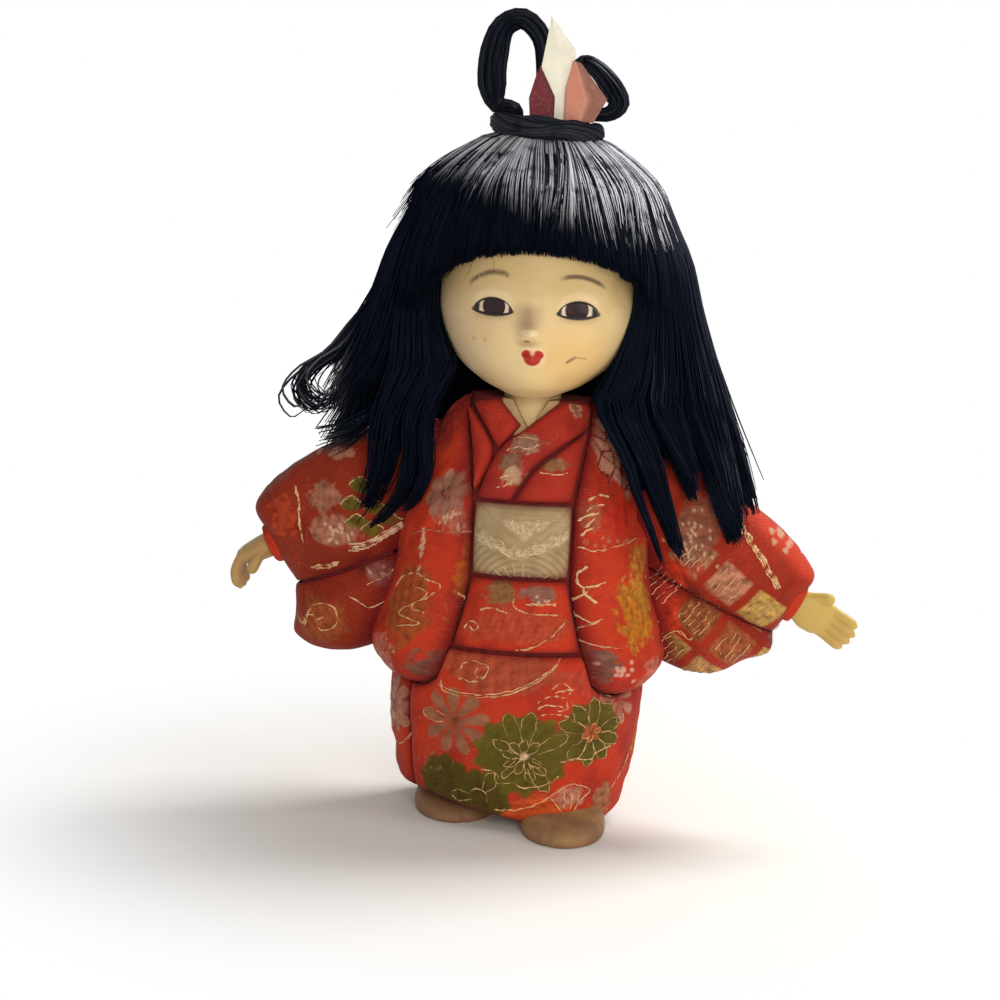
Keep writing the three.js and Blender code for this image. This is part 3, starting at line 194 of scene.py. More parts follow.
class Loft:
    """A body of level ellipses: cubic curves through stations of height, half width and half depths."""

    def __init__(self, *stations):
        self.table = np.array(stations, float)

    def value(self, column, z):
        """The cubic through a column of the stations, each slope the chord of its neighbours."""
        heights, sizes = self.table[:, 0], self.table[:, column]
        order = np.arange(len(heights))
        before, after = np.maximum(order - 1, 0), np.minimum(order + 1, order[-1])
        slopes = (sizes[after] - sizes[before]) / (heights[after] - heights[before])
        low = np.clip(np.searchsorted(heights, z, side="left") - 1, 0, len(heights) - 2)
        span = heights[low + 1] - heights[low]
        t = np.clip((z - heights[low]) / span, 0, 1)
        bend = span * (slopes[low] * t * (1 - t) ** 2 - slopes[low + 1] * t * t * (1 - t))
        return mix(sizes[low], sizes[low + 1], ease(t)) + bend

    def at(self, turn, z, rise=0.0):
        """Point at a turn from the front and a height, lifted along the surface's normal by rise."""
        turn, z = np.broadcast_arrays(np.asarray(turn, float), np.asarray(z, float))
        sine, cosine = np.sin(turn), np.cos(turn)
        column = np.where(cosine >= 0, 2, 3)

        def depth(height):
            return np.where(column == 2, self.value(2, height), self.value(3, height))

        wide, deep = self.value(1, z), depth(z)
        wide_growth = self.value(1, z + 0.5) - self.value(1, z - 0.5)
        deep_growth = depth(z + 0.5) - depth(z - 0.5)
        lean = sine**2 * wide_growth / wide + cosine**2 * deep_growth / deep
        normal = unit(np.stack([sine / wide, -cosine / deep, -lean], -1))
        surface = np.stack([wide * sine, -deep * cosine, z], -1)
        return surface + normal * np.asarray(rise, float)[..., None]

    def turn_at(self, x, z):
        """The turn at which the front of the surface crosses x."""
        return np.arcsin(np.clip(x / self.value(1, z), -1, 1))


CORE = Loft(
    (HEM_Z, 31.6, 25, 25), (HIP_Z, 35, 27, 27), (FOLD_Z, 32.5, 25.5, 25.5), (OBI_Z, 30, 23.5, 23.5),
    (OBI_TOP_Z, 29, 22.5, 22.5), (SHOULDER_Z, 24.5, 17.5, 17.5), (COLLAR_Z, 17.5, 12.5, 12.5),
)


def risen(z, rise, share):
    """A station of the jacket: the core let out by rise sideways and a share of it in depth."""
    wide, front, back = (float(CORE.value(column, z)) for column in (1, 2, 3))
    return z, wide + rise, front + rise * share, back + rise * share


JACKET = Loft(
    risen(JACKET_FRONT_Z - 6, 13, 0.55), risen(JACKET_HEM_Z, 13.5, 0.6), risen(OBI_Z, 9.5, 0.7),
    risen(OBI_TOP_Z, 7.5, 0.75), risen(SHOULDER_Z, 5.6, 0.9), risen(COLLAR_Z, 3.6, 0.9),
)
HEAD_FORM = Loft(
    *(
        (CHIN_Z + share * HEAD_HEIGHT, wide * FACE_WIDTH, front * FACE_DEPTH, back * 30)
        for share, wide, front, back in (
            (0, 0.3, 0.62, 0.3),
            (0.05, 0.52, 0.8, 0.45),
            (0.16, 0.8, 0.95, 0.66),
            (0.34, 0.98, 1, 0.9),
            (0.52, 1, 0.99, 1),
            (0.72, 0.95, 0.96, 0.99),
            (0.88, 0.74, 0.76, 0.8),
            (0.97, 0.4, 0.4, 0.42),
            (1, 0.12, 0.12, 0.12),
        )
    )
)
HAIR = Loft(
    (CHIN_Z - 46, 72, 39, 42), (CHIN_Z - 20, 64.9, 37, 41), (CHIN_Z, 58, 35, 39), (EYE_Z, 48.9, 36, 39),
    (CHIN_Z + 0.62 * HEAD_HEIGHT, 44.9, 37, 39), (CHIN_Z + 0.8 * HEAD_HEIGHT, 39.2, 34, 34.5),
    (CHIN_Z + 0.94 * HEAD_HEIGHT, 34.7, 28, 29.5), (mix(HEAD_TOP_Z, CROWN_Z, 0.3), 28, 17.5, 19.5),
    (CROWN_Z, 19.5, 11, 11),
)


# Settings that a user would change

def shade(name, description, *colour):
    """A colour property."""
    looks = dict(subtype="COLOR", min=0, max=1)
    return FloatVectorProperty(name=name, description=description, default=colour, **looks)


def number(name, description, default, kind=FloatProperty, **units):
    """A number property."""
    return kind(name=name, description=description, default=default, **units)


class ClothSettings(bpy.types.PropertyGroup):
    """Brocade, sash and padding."""

    ground: shade("Ground", "Colour of the brocade's ground", 0.56, 0.042, 0.013)
    deep: shade("Deep ground", "Colour of the brocade in its darker places", 0.37, 0.024, 0.011)
    thread: shade("Metal thread", "Colour of the gold threads", 0.8, 0.5, 0.25)
    sash: shade("Sash", "Colour of the sash's ground", 0.47, 0.36, 0.2)
    sash_thread: shade("Sash thread", "Colour of the raised threads in the sash", 0.7, 0.57, 0.36)
    pitch: number("Rib pitch", "Millimetres from one rib to the next", 0.55)
    crown: number("Crown", "Millimetres of padding in the middle of a panel", 1.9)
    fill: number("Fill", "How tightly the panels are stuffed", 0.8)


class HairSettings(bpy.types.PropertyGroup):
    """Hair."""

    black: shade("Hair", "Colour of the hair", 0.0015, 0.0022, 0.006)
    # Colour of the painted sheen on the crown's strands.
    crown_sheen: shade("Dusty hair", "Colour of the pale strands on the crown", 0.58, 0.6, 0.68)
    width: number("Strand width", "Half width of a strand in millimetres", 0.24)
    strands: number("Strands", "Strands in one of the large hanks", 2300, IntProperty)
    loop_strands: number("Loop strands", "Strands in a hair loop", 210, IntProperty)


class FaceSettings(bpy.types.PropertyGroup):
    """Face, hands and feet."""

    shell: shade("Shell white", "Colour of the polished shell paste", 0.72, 0.55, 0.29)
    stain: shade("Stain", "Colour of its yellowed places", 0.55, 0.34, 0.12)
    lips: shade("Lips", "Colour of the painted mouth", 0.43, 0.022, 0.011)
    ink: shade("Ink", "Colour of the brows and eye lines", 0.012, 0.008, 0.008)
    iris: shade("Iris", "Colour of the glass eyes", 0.024, 0.005, 0.008)
    # Painted shade: the socks are given the dark tan they show in shade rather than their own pale colour.
    tabi: shade("Tabi", "Colour of the feet", 0.235, 0.118, 0.062)


class PaperSettings(bpy.types.PropertyGroup):
    """Folded papers."""

    cream: shade("Cream", "Colour of the cream paper", 0.93, 0.9, 0.78)
    crimson: shade("Crimson", "Colour of the crimson paper", 0.16, 0.008, 0.02)
    pink: shade("Pink", "Colour of the pink paper", 0.62, 0.24, 0.17)


class StageSettings(bpy.types.PropertyGroup):
    """Camera and lights."""

    distance: number("Distance", "Camera to doll", 0.7, unit="LENGTH")
    lens: number("Lens", "Focal length in millimetres", 84)
    azimuth: number("Azimuth", "Turn of the camera", 3 * DEGREE, subtype="ANGLE")
    elevation: number("Elevation", "Camera height", 9 * DEGREE, subtype="ANGLE")
    lean: number("Roll", "Roll of the camera", 3 * DEGREE, subtype="ANGLE")
    key: number("Key light", "Power of the front light", 3.7, unit="POWER")
    rim: number("Rim light", "Power of the back light", 5.5, unit="POWER")
    ambient: number("Ambient", "Strength of the light from all round", 0.32)


SETTINGS = {
    "doll_cloth": ClothSettings, "doll_hair": HairSettings, "doll_face": FaceSettings,
    "doll_paper": PaperSettings, "doll_stage": StageSettings,
}


# Meshes

def make_piece(name, points, faces, material, uv=None, tints=None, fix=True):
    """A mesh object from points in millimetres about the doll's axis, with its place in its mesh.

    faces is a list of index arrays, one for each number of corners. uv is in millimetres for each
    point, and tints holds named values or colours for each point. With fix, doubles are merged and
    normals turned out.
    """
    points = np.asarray(points, float).reshape(-1, 3)
    mesh = bpy.data.meshes.new(name)
    mesh.vertices.add(len(points))
    mesh.vertices.foreach_set("co", (points * MM + AXIS).ravel())
    corners = np.concatenate([np.asarray(block).ravel() for block in faces])
    counts = np.concatenate([np.full(len(block), np.shape(block)[1]) for block in faces])
    mesh.loops.add(len(corners))
    mesh.loops.foreach_set("vertex_index", corners.astype(np.int32))
    mesh.polygons.add(len(counts))
    mesh.polygons.foreach_set("loop_start", (np.cumsum(counts) - counts).astype(np.int32))
    mesh.update(calc_edges=True)
    if uv is not None:
        layer = mesh.uv_layers.new(name="cloth")
        layer.data.foreach_set("uv", np.asarray(uv, float).reshape(-1, 2)[corners].ravel())
    for label, values in (tints or {}).items():
        if np.ndim(values) == 1:
            mesh.attributes.new(label, "FLOAT", "POINT").data.foreach_set("value", values)
        else:
            colours = np.concatenate([values, np.ones((len(values), 1))], 1)
            mesh.attributes.new(label, "FLOAT_COLOR", "POINT").data.foreach_set("color", colours.ravel())
    if fix:
        work = bmesh.new()
        work.from_mesh(mesh)
        bmesh.ops.remove_doubles(work, verts=work.verts, dist=2e-6)
        bmesh.ops.recalc_face_normals(work, faces=work.faces)
        work.to_mesh(mesh)
        work.free()
    mesh.shade_smooth()
    piece = bpy.data.objects.new(name, mesh)
    bpy.context.scene.collection.objects.link(piece)
    mesh.materials.append(material)
    return piece


def grid_faces(rows, columns, start=0, wrap=False):
    """Quads of a grid of points stored row by row; wrap closes each row on itself."""
    index = start + np.arange(rows * columns).reshape(rows, columns)
    if wrap:
        index = np.concatenate([index, index[:, :1]], 1)
    return np.stack([index[:-1, :-1], index[:-1, 1:], index[1:, 1:], index[1:, :-1]], -1).reshape(-1, 4)


def slab(outer, inner):
    """Points and quads of the closed solid between two sheets on the same grid."""
    rows, columns = outer.shape[:2]
    index = np.arange(rows * columns).reshape(rows, columns)
    rim = np.concatenate([index[0], index[1:, -1], index[-1, -2::-1], index[-2::-1, 0]])
    under = rim + rows * columns
    wall = np.stack([rim[:-1], rim[1:], under[1:], under[:-1]], -1)
    back = grid_faces(rows, columns, rows * columns)[:, ::-1]
    points = np.concatenate([outer.reshape(-1, 3), inner.reshape(-1, 3)])
    return points, [np.concatenate([grid_faces(rows, columns), back, wall])]


def tube(rings, start=0):
    """Points and quads of stacked closed rings, with a fan of quads collapsed on each end's middle."""
    count, around = rings.shape[:2]
    low = np.repeat(rings[:1].mean(1, keepdims=True), around, 1)
    high = np.repeat(rings[-1:].mean(1, keepdims=True), around, 1)
    points = np.concatenate([low, rings, high])
    return points.reshape(-1, 3), grid_faces(count + 2, around, start, wrap=True)


def strand_tubes(paths, half_widths, start=0):
    """Closed three-sided tubes along many paths at once.

    paths is strands by points by 3. A ring stands square to the path at each point, with its first
    corner to the side and the others turned by a third.
    """
    ahead = unit(np.gradient(paths, axis=1))
    out = unit(paths * (1, 1, 0) + (0, 0, 1e-6))
    side = unit(np.cross(ahead, out))
    up = np.cross(side, ahead)
    thirds = np.arange(3) * TURN / 3
    ring = np.cos(thirds)[:, None] * side[:, :, None] + np.sin(thirds)[:, None] * up[:, :, None]
    points = paths[:, :, None] + half_widths[:, :, None, None] * ring
    index = start + np.arange(points.size // 3).reshape(points.shape[:3])
    after = np.roll(index, -1, 2)
    quads = np.stack([index[:, :-1], index[:, 1:], after[:, 1:], after[:, :-1]], -1).reshape(-1, 4)
    caps = np.concatenate([index[:, 0], index[:, -1, ::-1]])
    return points.reshape(-1, 3), quads, caps


def settle(piece, body, slot, *nodes, fill=None):
    """Ties a piece to its body and hides the nodes that it stands for; the material slot is not used."""
    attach(piece, body)
    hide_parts(*nodes)


# Node formulas

def operator_of(operation, swapped=False):
    """A method that makes one math node of two values, swapped or not."""
    if swapped:
        return lambda self, other: calc(operation, other, self)
    return lambda self, other: calc(operation, self, other)


class Wire:
    """A node output that sums and products can be written with."""

    __add__, __radd__ = operator_of("ADD"), operator_of("ADD", True)
    __sub__, __rsub__ = operator_of("SUBTRACT"), operator_of("SUBTRACT", True)
    __mul__, __rmul__ = operator_of("MULTIPLY"), operator_of("MULTIPLY", True)
    __truediv__, __pow__ = operator_of("DIVIDE"), operator_of("POWER")

    def __init__(self, tree, socket):
        self.tree, self.socket = tree, socket


def plug(value, socket):
    """Links a wire to a socket, or sets a plain value on it."""
    if isinstance(value, Wire):
        value.tree.links.new(value.socket, socket)
    else:
        socket.default_value = value


def tree_of(values):
    """The node tree of the first wire among values."""
    return next(value.tree for value in values if isinstance(value, Wire))


def node_of(kind, values, output=0, **options):
    """A shader node with its options set and values plugged into its first inputs."""
    tree = tree_of(values)
    node = tree.nodes.new("ShaderNode" + kind)
    for key, value in options.items():
        setattr(node, key, value)
    for value, socket in zip(values, node.inputs):
        plug(value, socket)
    return Wire(tree, node.outputs[output])


def calc(operation, *values):
    """One math node."""
    return node_of("Math", values, operation=operation)


def size_of(value):
    """Absolute value."""
    return calc("ABSOLUTE", value)


def most(a, b):
    """The larger of two."""
    return calc("MAXIMUM", a, b)


def far(x, y):
    """Distance of a place from 0."""
    return calc("SQRT", x * x + y * y)


def fade(value, none, full):
    """0 where value is at none, 1 where it is at full, smooth between."""
    return node_of("MapRange", (value, none, full), interpolation_type="SMOOTHSTEP")


def near(value, width, soft=0.4):
    """1 where value is within width of 0, fading out over a share soft of it."""
    return fade(size_of(value), width * (1 + soft), width * (1 - soft))


def rgba(colour):
    """A colour with its alpha."""
    return (*tuple(colour)[:3], 1.0)


def mixed(share, first, second):
    """Colour blend from first to second."""
    tree = tree_of([share, first, second])
    node = tree.nodes.new("ShaderNodeMix")
    node.data_type = "RGBA"
    for value, place in ((share, 0), (first, 6), (second, 7)):
        plug(value if isinstance(value, (Wire, float, int)) else rgba(value), node.inputs[place])
    return Wire(tree, node.outputs[2])


def parts(vector):
    """The three parts of a vector."""
    node = vector.tree.nodes.new("ShaderNodeSeparateXYZ")
    plug(vector, node.inputs[0])
    return tuple(Wire(vector.tree, socket) for socket in node.outputs)


def joined(x, y, z=0.0):
    """A vector from its parts."""
    return node_of("CombineXYZ", (x, y, z))


def noise(where, scale, detail=2.0, rough=0.5):
    """Cloudy noise from 0 to 1."""
    return node_of("TexNoise", (where, 0.0, scale, detail, rough))


def cells(where, scale):
    """Distance to the nearest seeded point."""
    return node_of("TexVoronoi", (where, 0.0, scale), "Distance")


def material_of(name):
    """A new material, its tree and its shader."""
    material = bpy.data.materials.new(name)
    material.use_nodes = True
    tree = material.node_tree
    return material, tree, tree.nodes["Principled BSDF"]


def finish(shader, colour, rough, **plain):
    """Plugs a shader's colour and roughness, and sets inputs whose names are given with _ for a space."""
    plug(colour, shader.inputs["Base Color"])
    plug(rough, shader.inputs["Roughness"])
    for name, value in plain.items():
        shader.inputs[name.replace("_", " ")].default_value = value


def axis_point(tree):
    """Object coordinates as millimetres about the doll's axis."""
    source = tree.nodes.new("ShaderNodeTexCoord")
    mapping = tree.nodes.new("ShaderNodeMapping")
    tree.links.new(source.outputs["Object"], mapping.inputs["Vector"])
    mapping.inputs["Scale"].default_value = (1 / MM,) * 3
    mapping.inputs["Location"].default_value = tuple(-AXIS / MM)
    return Wire(tree, mapping.outputs[0])


def bump(shader, height, depth_mm, strength=1.0):
    """Bump from a height between 0 and 1 that stands for depth_mm."""
    node = height.tree.nodes.new("ShaderNodeBump")
    node.inputs["Distance"].default_value = depth_mm * MM
    node.inputs["Strength"].default_value = strength
    plug(height, node.inputs["Height"])
    height.tree.links.new(node.outputs[0], shader.inputs["Normal"])


# Cloth: its dyes, its threads and its weave

GREEN = (0.1, 0.096, 0.008)
DARK_GREEN = (0.066, 0.064, 0.006)
MAUVE = (0.23, 0.135, 0.1)
TAN = (0.34, 0.15, 0.08)
PINK = (0.5, 0.22, 0.15)
OCHRE = (0.46, 0.16, 0.012)
BROWN = (0.2, 0.05, 0.02)
OLIVE = (0.24, 0.16, 0.035)
GOLD = (0.5, 0.33, 0.08)
CRIMSON = (0.3, 0.02, 0.02)
# Deep red used as painted shade in the seams and beside the jacket, and as the colour of cracks and of
# darker threads.
SHADE_AND_CRACK_RED = (0.15, 0.006, 0.008)
PALE = (0.7, 0.46, 0.3)
STEPS = 36


def petal(along):
    """Half width of a petal, in shares of its wedge: full at the root and rounded off at the tip."""
    return np.sqrt(np.clip(1 - along**6, 0, 1))


class Sheet:
    """A padded sheet: grids of outer and inner points, cloth places u and v, and how full it is."""

    def __init__(self, outer, inner, u, v, full):
        self.outer, self.inner = outer, inner
        self.u, self.v, self.full = u, v, full

    def over(self, spots, height):
        """Points over the cloth at spots of u and v, and whether the cloth reaches there.

        Each spot starts from the nearest grid point and moves along the grid's two slopes there.
        """
        u, v = self.u.ravel(), self.v.ravel()
        wanted = spots.reshape(-1, 2)
        blocks = np.array_split(wanted, len(wanted) // 100 + 1)
        away = [(u - block[:, :1]) ** 2 + (v - block[:, 1:]) ** 2 for block in blocks]
        nearest = np.concatenate([block.argmin(1) for block in away])
        reached = np.concatenate([block.min(1) for block in away]) < 0.8
        (u_down, u_on), (v_down, v_on) = np.gradient(self.u), np.gradient(self.v)
        down, on = np.gradient(self.outer, axis=(0, 1))
        a, b, c, d = (slope.ravel()[nearest] for slope in (u_down, u_on, v_down, v_on))
        across, up = wanted[:, 0] - u[nearest], wanted[:, 1] - v[nearest]
        scale = a * d - b * c
        scale = np.where(np.abs(scale) < 1e-6, 1e-6, scale)
        steps = np.clip([(across * d - up * b) / scale, (up * a - across * c) / scale], -1, 1)[..., None]
        down, on = down.reshape(-1, 3)[nearest], on.reshape(-1, 3)[nearest]
        normal = unit(np.cross(down, on))
        ground = self.outer.reshape(-1, 3)[nearest]
        outside = np.sign(np.sum(normal * (ground - self.inner.reshape(-1, 3)[nearest]), -1, keepdims=True))
        points = ground + steps[0] * down + steps[1] * on + normal * outside * height
        return points.reshape(*spots.shape[:-1], 3), reached.reshape(spots.shape[:-1])


class Dye:
    """The colours of a sheet of cloth, laid one over the other, and the threads stitched on it.

    Places are x and z seen from the front; seen turns them into the cloth's own u and v.
    """

    def __init__(self, sheet, seed, ground=None, deep=None, seen=np.asarray):
        settings = bpy.context.scene.doll_cloth
        self.grid = np.stack([sheet.u, sheet.v], -1)
        self.seed, self.seen = seed, seen
        self.stitches = []
        self.colour = np.ones((*sheet.u.shape, 3)) * tuple(ground or settings.ground)
        self.lay(ease(0.3 + 0.45 * self.cloud(26)), tuple(deep or settings.deep))

    def dice(self):
        """Random numbers of the next seed."""
        self.seed += 10
        return np.random.default_rng(self.seed)

    def cloud(self, size):
        """Ragged noise about 0: waves near size, and shorter ones at falling heights."""
        self.seed += 10
        u, v = self.grid[..., 0], self.grid[..., 1]
        steps = ((1, 1), (0.4, 0.6), (0.16, 0.4))
        return sum(tall * crumple(u, v, self.seed + k, size * long) for k, (long, tall) in enumerate(steps))

    def lay(self, cover, colour):
        """Covers the colours so far."""
        self.colour = mix(self.colour, np.asarray(colour), np.clip(cover, 0, 1)[..., None])

    def shades(self, colour, size, depth=0.35):
        """A colour with ragged lighter and darker places."""
        return np.asarray(colour) * (1 + depth * self.cloud(size))[..., None].clip(0.3, 1.6)

    def oval(self, place, size):
        """Radius about a place, 1 at an oval of the given half width and half height."""
        return np.hypot(*np.moveaxis((self.grid - self.seen(np.asarray(place, float))) / size, -1, 0))

    def patch(self, place, size, colour, cover=0.85, ragged=0.28):
        """Ragged oval patch."""
        radius = self.oval(place, size) + ragged * self.cloud(0.9 * np.max(size))
        self.lay(cover * ease((1.12 - radius) / 0.24), self.shades(colour, 3))

    def apart(self, spots):
        """Distances from each place of the cloth to spots, nearest first."""
        return np.sort(np.linalg.norm(self.grid[..., None, :] - spots, axis=-1), -1)

    def dots(self, place, spread, count, half, colour=PALE):
        """Seeded round dots about a place."""
        spots = self.seen(np.asarray(place, float)) + self.dice().normal(0, 0.5, (count, 2)) * spread
        self.lay(0.85 * ease((half - self.apart(spots)[..., 0]) / 0.25 + 0.5), colour)

    def cracked(self, place, size, colour, pieces):
        """Patch split by dark cracks, which run where the two nearest of seeded points are equally far."""
        spots = self.seen(np.asarray(place, float)) + self.dice().uniform(-1.2, 1.2, (pieces, 2)) * size
        away = self.apart(spots)
        split = ease((away[..., 1] - away[..., 0] - 0.15) / 0.7)
        cover = ease((1.1 - self.oval(place, size) - 0.16 * self.cloud(6)) / 0.15)
        self.lay(0.94 * cover, mix(np.asarray(SHADE_AND_CRACK_RED), self.shades(colour, 4, 0.25), split[..., None]))

    def flower(
        self, place, size, petals, colour, tilt=0.0, rings=(1.0,), plump=0.94, edged=0.4, base=0.8,
        under=0.22,
    ):
        """Rings of petals: rounded wedges, darker at the root and in the gaps, some edged with thread."""
        middle = self.seen(np.asarray(place, float))
        aside = self.grid - middle
        radius = np.hypot(aside[..., 0], aside[..., 1]) / size
        turn = np.arctan2(aside[..., 1], aside[..., 0]) - tilt
        self.lay(base * ease((0.9 - radius) / 0.06), under * np.asarray(colour))
        for ring, reach in enumerate(rings):
            share = turn * petals / TURN + 0.5 * ring
            across = 2 * np.abs(share - np.round(share))
            along = radius / reach
            cover = ease((plump * petal(along) - across) / 0.3 + 0.2) * (along < 1) * ease(along / 0.2)
            tone = (0.55 + 0.5 * np.clip(along, 0, 1))[..., None]
            self.lay(0.92 * cover, tone * self.shades(colour, 4, 0.22))
            kept = self.dice().uniform(0, 1, petals) < edged
            middles = (tilt + (np.arange(petals) - 0.5 * ring) * TURN / petals)[kept, None]
            swing = np.linspace(0, math.pi, STEPS)
            out = 0.3 + 0.69 * np.sin(swing) ** 0.5
            angle = middles + np.cos(swing) * plump * petal(out) * math.pi / petals
            spread = (reach * size * out)[..., None]
            self.sew(middle + spread * np.stack([np.cos(angle), np.sin(angle)], -1))

    def sew(self, paths, colour=None, half=0.17, copies=1):
        """Threads along each path of u and v, each with its own small sway."""
        colour = tuple(colour or bpy.context.scene.doll_cloth.thread)
        for _ in range(copies):
            self.seed += 10
            u, v = paths[..., 0], paths[..., 1]
            sway = np.stack([crumple(u, v, self.seed, 2.6), crumple(u, v, self.seed + 1, 2.6)], -1)
            self.stitches.append((paths + 0.28 * sway, colour, half))

    def lines(self, *strokes, colour=None, half=0.23):
        """Pairs of threads along smooth curves, each through its spots of x and z."""
        paths = [through(spots, np.linspace(0, len(spots) - 1, STEPS)) for spots in strokes]
        self.sew(self.seen(np.array(paths)), colour, half, 2)


def seen_on(form, radius, lift):
    """The way from x and z, seen from the front, to the cloth of a form: turn times radius, and height."""

    def place(spots):
        spots = np.asarray(spots, float)
        x, z = spots[..., 0], spots[..., 1]
        turn = np.arcsin(np.clip(x / (form.value(1, z) + lift), -1, 1))
        return np.stack([radius * turn, z], -1)

    return place


CORE_RADIUS = 32.0
JACKET_RADIUS = 40.0
on_core = seen_on(CORE, CORE_RADIUS, 3)
on_jacket = seen_on(JACKET, JACKET_RADIUS, 0)


def carried(tree, label, output):
    """A value or colour that the mesh carries."""
    node = tree.nodes.new("ShaderNodeAttribute")
    node.attribute_name = label
    return Wire(tree, node.outputs[output])


def weave(slot):
    """Silk of one material slot: the colour its mesh carries (dye and painted shade), darkened thread by
    thread, paled in worn patches and by painted glints of metal thread, with ribs, gloss and nap.
    """
    name = f"{slot}_weave"
    if name in bpy.data.materials:
        return bpy.data.materials[name]
    pitch = bpy.context.scene.doll_cloth.pitch
    material, tree, shader = material_of(name)
    node = tree.nodes.new("ShaderNodeUVMap")
    node.uv_map = "cloth"
    cloth = Wire(tree, node.outputs[0])
    u, v, _ = parts(cloth)
    rib = 0.5 + 0.5 * calc("SINE", (v + 0.5 * noise(cloth, 0.12, 2)) * (TURN / pitch))
    warp = 0.5 + 0.5 * calc("SINE", u * (TURN / (0.7 * pitch)))
    fleck = noise(joined(u * 0.5, v * 3.2), 1.6, 2, 0.7)
    tone = 0.26 * rib + 0.12 * warp + 0.8 * fleck
    colour = mixed(fade(tone, 0.3, 1.0) * 0.3, carried(tree, "dye", "Color"), SHADE_AND_CRACK_RED)
    worn = fade(noise(cloth, 0.9, 4, 0.75), 0.6, 0.78)
    clusters = fade(noise(cloth, 0.1, 2), 0.48, 0.62)
    # Painted glints: clusters of pale specks in the base colour stand in for metal threads catching the
    # light; the worn patches are real wear.
    glint = clusters * fade(noise(joined(u * 1.1, v * 2.4), 1.1, 3, 0.8), 0.6, 0.7)
    colour = mixed(most(0.22 * worn, 0.55 * glint), colour, PALE)
    sheen = dict(Sheen_Weight=0.03, Sheen_Roughness=0.4, Specular_IOR_Level=0.14)
    finish(shader, colour, 0.6 + 0.2 * fleck, **sheen)
    bump(shader, 0.5 * rib + 0.2 * warp + 0.6 * noise(cloth, 0.5, 4, 0.6), 0.16)
    return material


def thread_metal():
    """Worn metal thread in the colour that it carries."""
    if "metal_thread" in bpy.data.materials:
        return bpy.data.materials["metal_thread"]
    material, tree, shader = material_of("metal_thread")
    point = axis_point(tree)
    dull = fade(noise(point, 0.8, 3, 0.7), 0.4, 0.7)
    colour = mixed(0.5 * dull, carried(tree, "dye", "Color"), TAN)
    finish(shader, colour, 0.42 + 0.3 * dull, Metallic=0.15)
    bump(shader, noise(point, 2.2, 2), 0.08)
    return material


def dress(node, sheet, dye, slot):
    """Makes a padded sheet of dyed cloth, with painted shade darkening it where it is tucked in at the
    seams, and the threads on it.
    """
    clear_of_seam_shade = ease(sheet.full / 0.8)[..., None]
    # Painted shade: the colour darkens towards deep red near the seams, where the padding is tucked in.
    colour = mix(np.asarray(SHADE_AND_CRACK_RED), dye.colour, 0.12 + 0.88 * clear_of_seam_shade).reshape(-1, 3)
    points, faces = slab(sheet.outer, sheet.inner)
    uv = dye.grid.reshape(-1, 2)
    tints = {"dye": np.concatenate([colour, colour])}
    piece = make_piece(node + "_cloth", points, faces, weave(slot), np.concatenate([uv, uv]), tints)
    settle(piece, BODY, slot, node, fill=bpy.context.scene.doll_cloth.fill)
    if not dye.stitches:
        return
    spots = np.concatenate([paths for paths, _, _ in dye.stitches])
    counts = [len(paths) for paths, _, _ in dye.stitches]
    halves = np.repeat([half for _, _, half in dye.stitches], counts)[:, None]
    colours = np.repeat([colour for _, colour, _ in dye.stitches], counts, 0)
    paths, reached = sheet.over(spots, 0.1)
    worn = ease(0.7 + 0.75 * crumple(spots[..., 0], spots[..., 1], dye.seed, 3))
    beads = 0.8 + 0.2 * np.sin(np.arange(STEPS) * 2.4)
    points, quads, caps = strand_tubes(paths, np.maximum(halves * worn * beads * reached, 0.01))
    tints = {"dye": np.repeat(colours, 3 * STEPS, 0)}
    threads = make_piece(node + "_threads", points, [quads, caps], thread_metal(), tints=tints, fix=False)
    settle(threads, BODY, slot, node)


# Padded panels on the core

def opening(z):
    """Half width of the jacket's front opening at a height."""
    above = mix(14, 17, np.clip((z - OBI_TOP_Z) / (THROAT_Z - OBI_TOP_Z), 0, 1))
    below = mix(14, 21, np.clip((OBI_Z - z) / (OBI_Z - JACKET_FRONT_Z), 0, 1) ** 1.3)
    return np.where(z > OBI_TOP_Z, above, below)


def opening_edge(side, low, high):
    """The edge of the jacket's opening between two heights, as turns and heights."""

    def edge(v):
        z = mix(low, high, v)
        return CORE.turn_at(side * opening(z), z), z

    return edge


def upright_edge(turn, low, high):
    """An edge at one turn between two heights."""
    return lambda v: (np.full(np.shape(v), turn), mix(low, high, v))


def front_edge(*corners):
    """An edge on the front of the core through points of x and z."""

    def edge(v):
        spots = through(corners, v * (len(corners) - 1), even=True)
        return CORE.turn_at(spots[..., 0], spots[..., 1]), spots[..., 1]

    return edge


